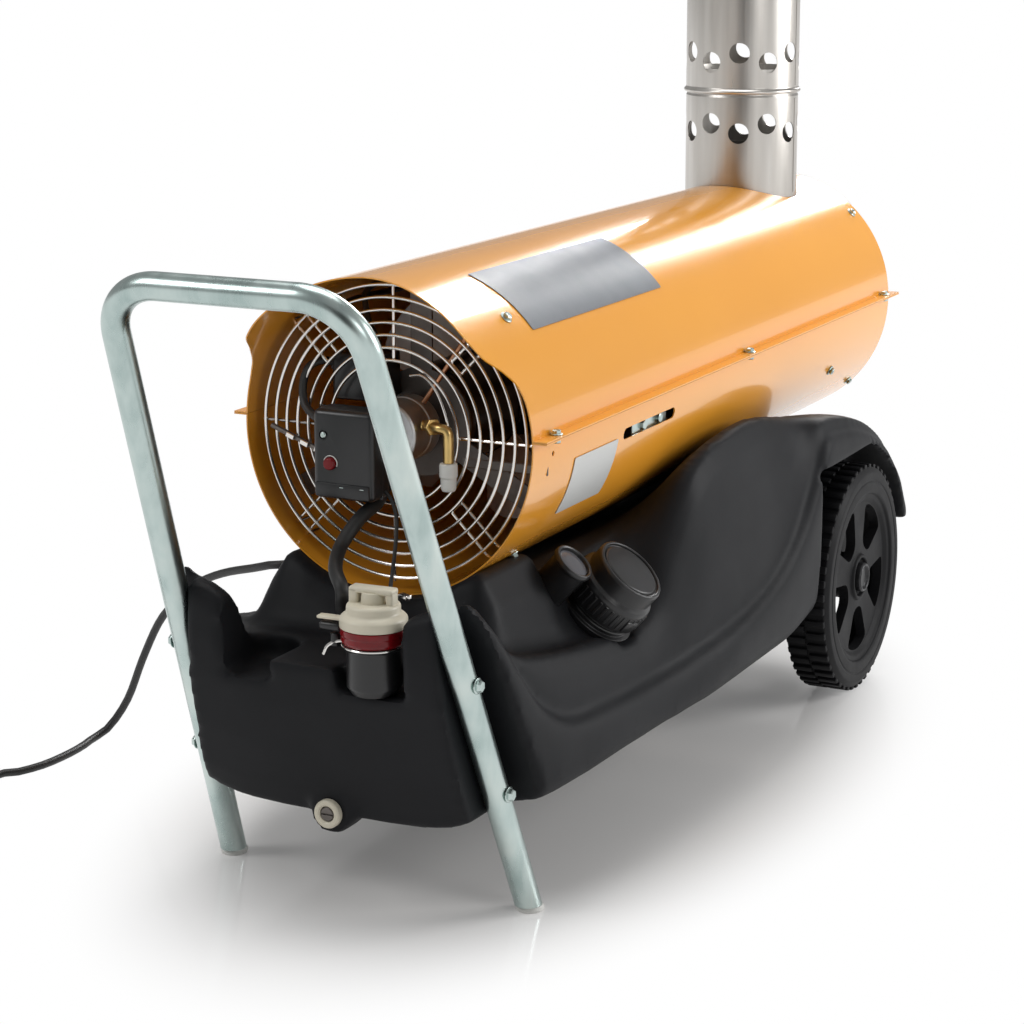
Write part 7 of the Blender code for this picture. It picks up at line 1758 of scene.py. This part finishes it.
blade_shape = bmesh.new()
grid = []
for i in range(OUT_STEPS + 1):
    share = i / OUT_STEPS
    radius = FAN_HUB - BLADE_ROOT + (FAN_RADIUS - FAN_HUB + BLADE_ROOT) * share
    sweep = math.radians(ROOT_SWEEP - LESS_SWEEP * share)
    row = []
    for j in range(ACROSS_STEPS + 1):
        across = j / ACROSS_STEPS - 0.5
        near = radius - 0.010 * share * (2 * abs(across)) ** 4
        row.append(blade_shape.verts.new((
            near * math.cos(across * sweep), near * math.sin(across * sweep),
            across * (FAN_DEPTH - BLADE_SHEET) * (1.0 - 0.15 * share))))
    grid.append(row)
for near, far in zip(grid, grid[1:]):
    for j in range(ACROSS_STEPS):
        blade_shape.faces.new((near[j], near[j + 1], far[j + 1], far[j]))
blade = helper(mesh_of("blade", blade_shape))
wall = blade.modifiers.new("wall", "SOLIDIFY")
wall.thickness = BLADE_SHEET
wall.offset = 0.0
blade = baked(blade)
hub = turned([
    (0.0198, 0.0142), (FAN_HUB, 0.012), (FAN_HUB, -0.012), (0.0053, -0.012), (0.0053, 0.0142)],
    56, 0.0010, ring=True)
fan = gathered((hub, STILL), *[(blade, Matrix.Rotation(angle, 4, "Z")) for angle in turns(BLADES)])
show("fan_wheel", moved(fan, Matrix.Translation((0.0, FAN_PLACE, 0.0)) @ ON_AXIS), "cast_alloy", "rotor",
     replaces=("fan",))

# %% [markdown]
# ## Hose, cables and fuel line
#
# A rubber hose takes the fuel from the filter to the pump under the control box, a copper line feeds
# the nozzle and two leads run to the electrodes. A curve object could carry each, but as meshes they
# keep their sections round in tight bends. They follow the routes of the CAD model with more points.
# A few thin cables, the bright clips on the tank and a strip with three bright tabs are small trim.

# %% Fuel hose
HOSE_RADIUS = 0.0058
hose_knots = [(x, y, BARREL_AXIS - drop) for x, y, drop in (
    (-0.0090, 0.0240, 0.0285), (-0.0090, 0.0225, 0.0370), (-0.0090, 0.0165, 0.0438),
    (-0.0090, 0.0105, 0.0496), (-0.0090, 0.0030, 0.0561), (-0.0090, -0.0050, 0.0592),
    (-0.0100, -0.0180, 0.0625), (-0.0125, -0.0320, 0.0705), (-0.0150, -0.0500, 0.0850),
    (-0.0040, -0.0760, 0.0950), (0.0100, -0.0900, 0.1060), (0.0075, -0.0850, 0.1210),
    (0.0068, -0.0800, 0.1360))]
hose = smooth_route([*hose_knots, tuple(barb_tip + barb_way * HOSE_RADIUS * 1.4),
                     tuple(barb_tip + barb_way * GAP)], 90)
show("fuel_hose", tube(hose, HOSE_RADIUS, 24), "black_rubber", replaces=("suction_hose",))

# %% Copper line and spark leads


def around(radius, degrees, along):
    """A knot beside the barrel's axis."""
    return tuple(on_barrel(radius, degrees, along))


LINE_TURN = 55.0                # degrees, where the copper line passes the fan
past_fan = (FAN_RADIUS + INNER_RADIUS) / 2
behind_fan = 0.2063
line = smooth_route([
    *(around(radius, LINE_TURN, along) for radius, along in (
        (0.0273, 0.0364), (0.054, 0.0364), (past_fan * 0.8, 0.0364), (past_fan, 0.054), (past_fan, 0.164),
        (past_fan, FAN_PLACE), (past_fan * 0.85, behind_fan), (past_fan / 2, behind_fan),
        (past_fan / 6, behind_fan + 0.0042))),
    (0.0, behind_fan + 0.0168, BARREL_AXIS), (0.0, 0.276, BARREL_AXIS), (0.0, 0.2844, BARREL_AXIS)], 150)
show("copper_feed", tube(line, 0.0021, 14), "copper_line", replaces=("nozzle_line",))
for word, degrees, start_x, rod_x in (
        ("left", 130.0, -0.0515, -0.0114), ("right", 117.0, -0.0295, 0.0114)):
    lead_way = smooth_route([
        (start_x, 0.0404, 0.4353), (start_x, 0.0404, 0.4428),
        *(around(radius, degrees, along) for radius, along in (
            (past_fan * 0.82, 0.0508), (past_fan, 0.074), (past_fan, 0.164), (past_fan, FAN_PLACE),
            (past_fan * 0.85, behind_fan), (past_fan / 2, behind_fan))),
        (rod_x, behind_fan + 0.0104, 0.3902), (rod_x, 0.2486, 0.385), (rod_x, 0.2561, 0.385)], 130)
    show("spark_lead_" + word, tube(lead_way, 0.0026, 16), "black_rubber",
         replaces=("ignition_cable_" + word,))

# %% Small cables
loops = gathered(
    (tube(smooth_route([(-0.0600, 0.0270, 0.4240), (-0.0700, 0.0200, 0.4270), (-0.0800, 0.0140, 0.4220),
                        (-0.0850, 0.0120, 0.4080), (-0.0820, 0.0080, 0.3930), (-0.0720, 0.0020, 0.3860),
                        (-0.0600, -0.0050, 0.3830), (-0.0500, -0.0100, 0.3840)], 50), 0.0034, 14), STILL),
    (tube(smooth_route([(0.0060, -0.0120, 0.3300), (0.0130, -0.0135, 0.3230), (0.0190, -0.0170, 0.3080),
                        (0.0260, -0.0330, 0.2860), (0.0340, -0.0540, 0.2660), (0.0380, -0.0640, 0.2560)], 44),
          0.0016, 12), STILL))
show("thin_cables", loops, "black_rubber")

# %% Bright line, tabs and clips
TAB_STEP = (0.0135, 0.0, -0.0050)       # from one tab of the strip to the next
return_line = tube(smooth_route([
    (0.0180, 0.0090, 0.4230), (0.0310, 0.0070, 0.4240), (0.0440, 0.0050, 0.4130), (0.0530, 0.0040, 0.3940),
    (0.0560, 0.0060, 0.3720), (0.0500, 0.0090, 0.3500)], 44), 0.0011, 10)
tab = soft_box((0.0085, 0.0018, 0.0044), 0.0006, steps=1)
strip = gathered(*[(tab, Matrix.Translation(Vector((-0.0955, 0.0070, 0.3630)) + Vector(TAB_STEP) * i)
                    @ Matrix.Rotation(math.radians(20.0), 4, "Y")) for i in range(3)])
clip = soft_box((0.0110, 0.0060, 0.0042), 0.0012, steps=2)
clips = gathered(*[(clip, Matrix.Translation(spot) @ Matrix.Rotation(turn, 4, "Z")) for spot, turn in (
    ((0.0300, -0.0655, 0.2615), 0.5), ((0.0530, -0.0655, 0.2610), -0.4))])
show("bright_clips", gathered((return_line, STILL), (strip, STILL), (clips, STILL)), "bright_wire")
carrier_strip = gathered(
    (tube([(-0.1150, 0.0100, 0.3700), (-0.0520, 0.0100, 0.3470)], 0.0022, 8), STILL),
    (soft_box((0.0780, 0.0020, 0.0080), 0.0008, (0.0935, 0.0300, 0.3510), 1), STILL))
show("inner_strips", carrier_strip, "heat_resisting_steel")

# %% [markdown]
# ## Thermostat
#
# Through the slot in the lower sheet a zinc plate shows, with a nut and a round head on it. A picture
# of them behind the slot would look flat from the side, so they are a small plate and two turned heads
# that stand just inside the wall.

# %% Thermostat
THERMOSTAT_FACE = 0.1279        # from the plane of symmetry
THERMOSTAT_SHEET = 0.0015
plate_middle = (THERMOSTAT_FACE - THERMOSTAT_SHEET / 2, 0.244, SLOT_AT)
nut = turned([(0.0, -0.0005), (0.0046, -0.0005), (0.0046, 0.0034), (0.0040, 0.0040), (0.0, 0.0040)], 6)
dome = turned([
    (0.0, -0.0005), (0.0044, -0.0005), (0.0044, 0.0030), (0.0036, 0.0035), (0.0, 0.0033)], 32, 0.0004)
thermostat = gathered(
    (soft_box((THERMOSTAT_SHEET, 0.074, 0.026), 0.0006, plate_middle, 2), STILL),
    (nut, Matrix.Translation((THERMOSTAT_FACE, 0.226, SLOT_AT)) @ TO_RIGHT),
    (dome, Matrix.Translation((THERMOSTAT_FACE, 0.262, SLOT_AT)) @ TO_RIGHT))
show("thermostat_plate", thermostat, "zinc_plate", replaces=("thermostat",))

# %% [markdown]
# ## What stays as it is
#
# The burner, the heat exchanger, the axle, its strap and the stand under the barrel are plain sheet
# metal and turned parts, mostly out of sight. They could be drawn again with finer meshes, but their
# solids already have the right shape, so they only get the finish that their slot names.

# %% Finishes of the CAD pieces and the end
slot_count = 0
for item in frame["nodes"].values():
    for slot in item.material_slots:
        slot.material = finishes[slot.material.name.split(".")[0]]
        slot_count += 1
print(slot_count, "material slots")
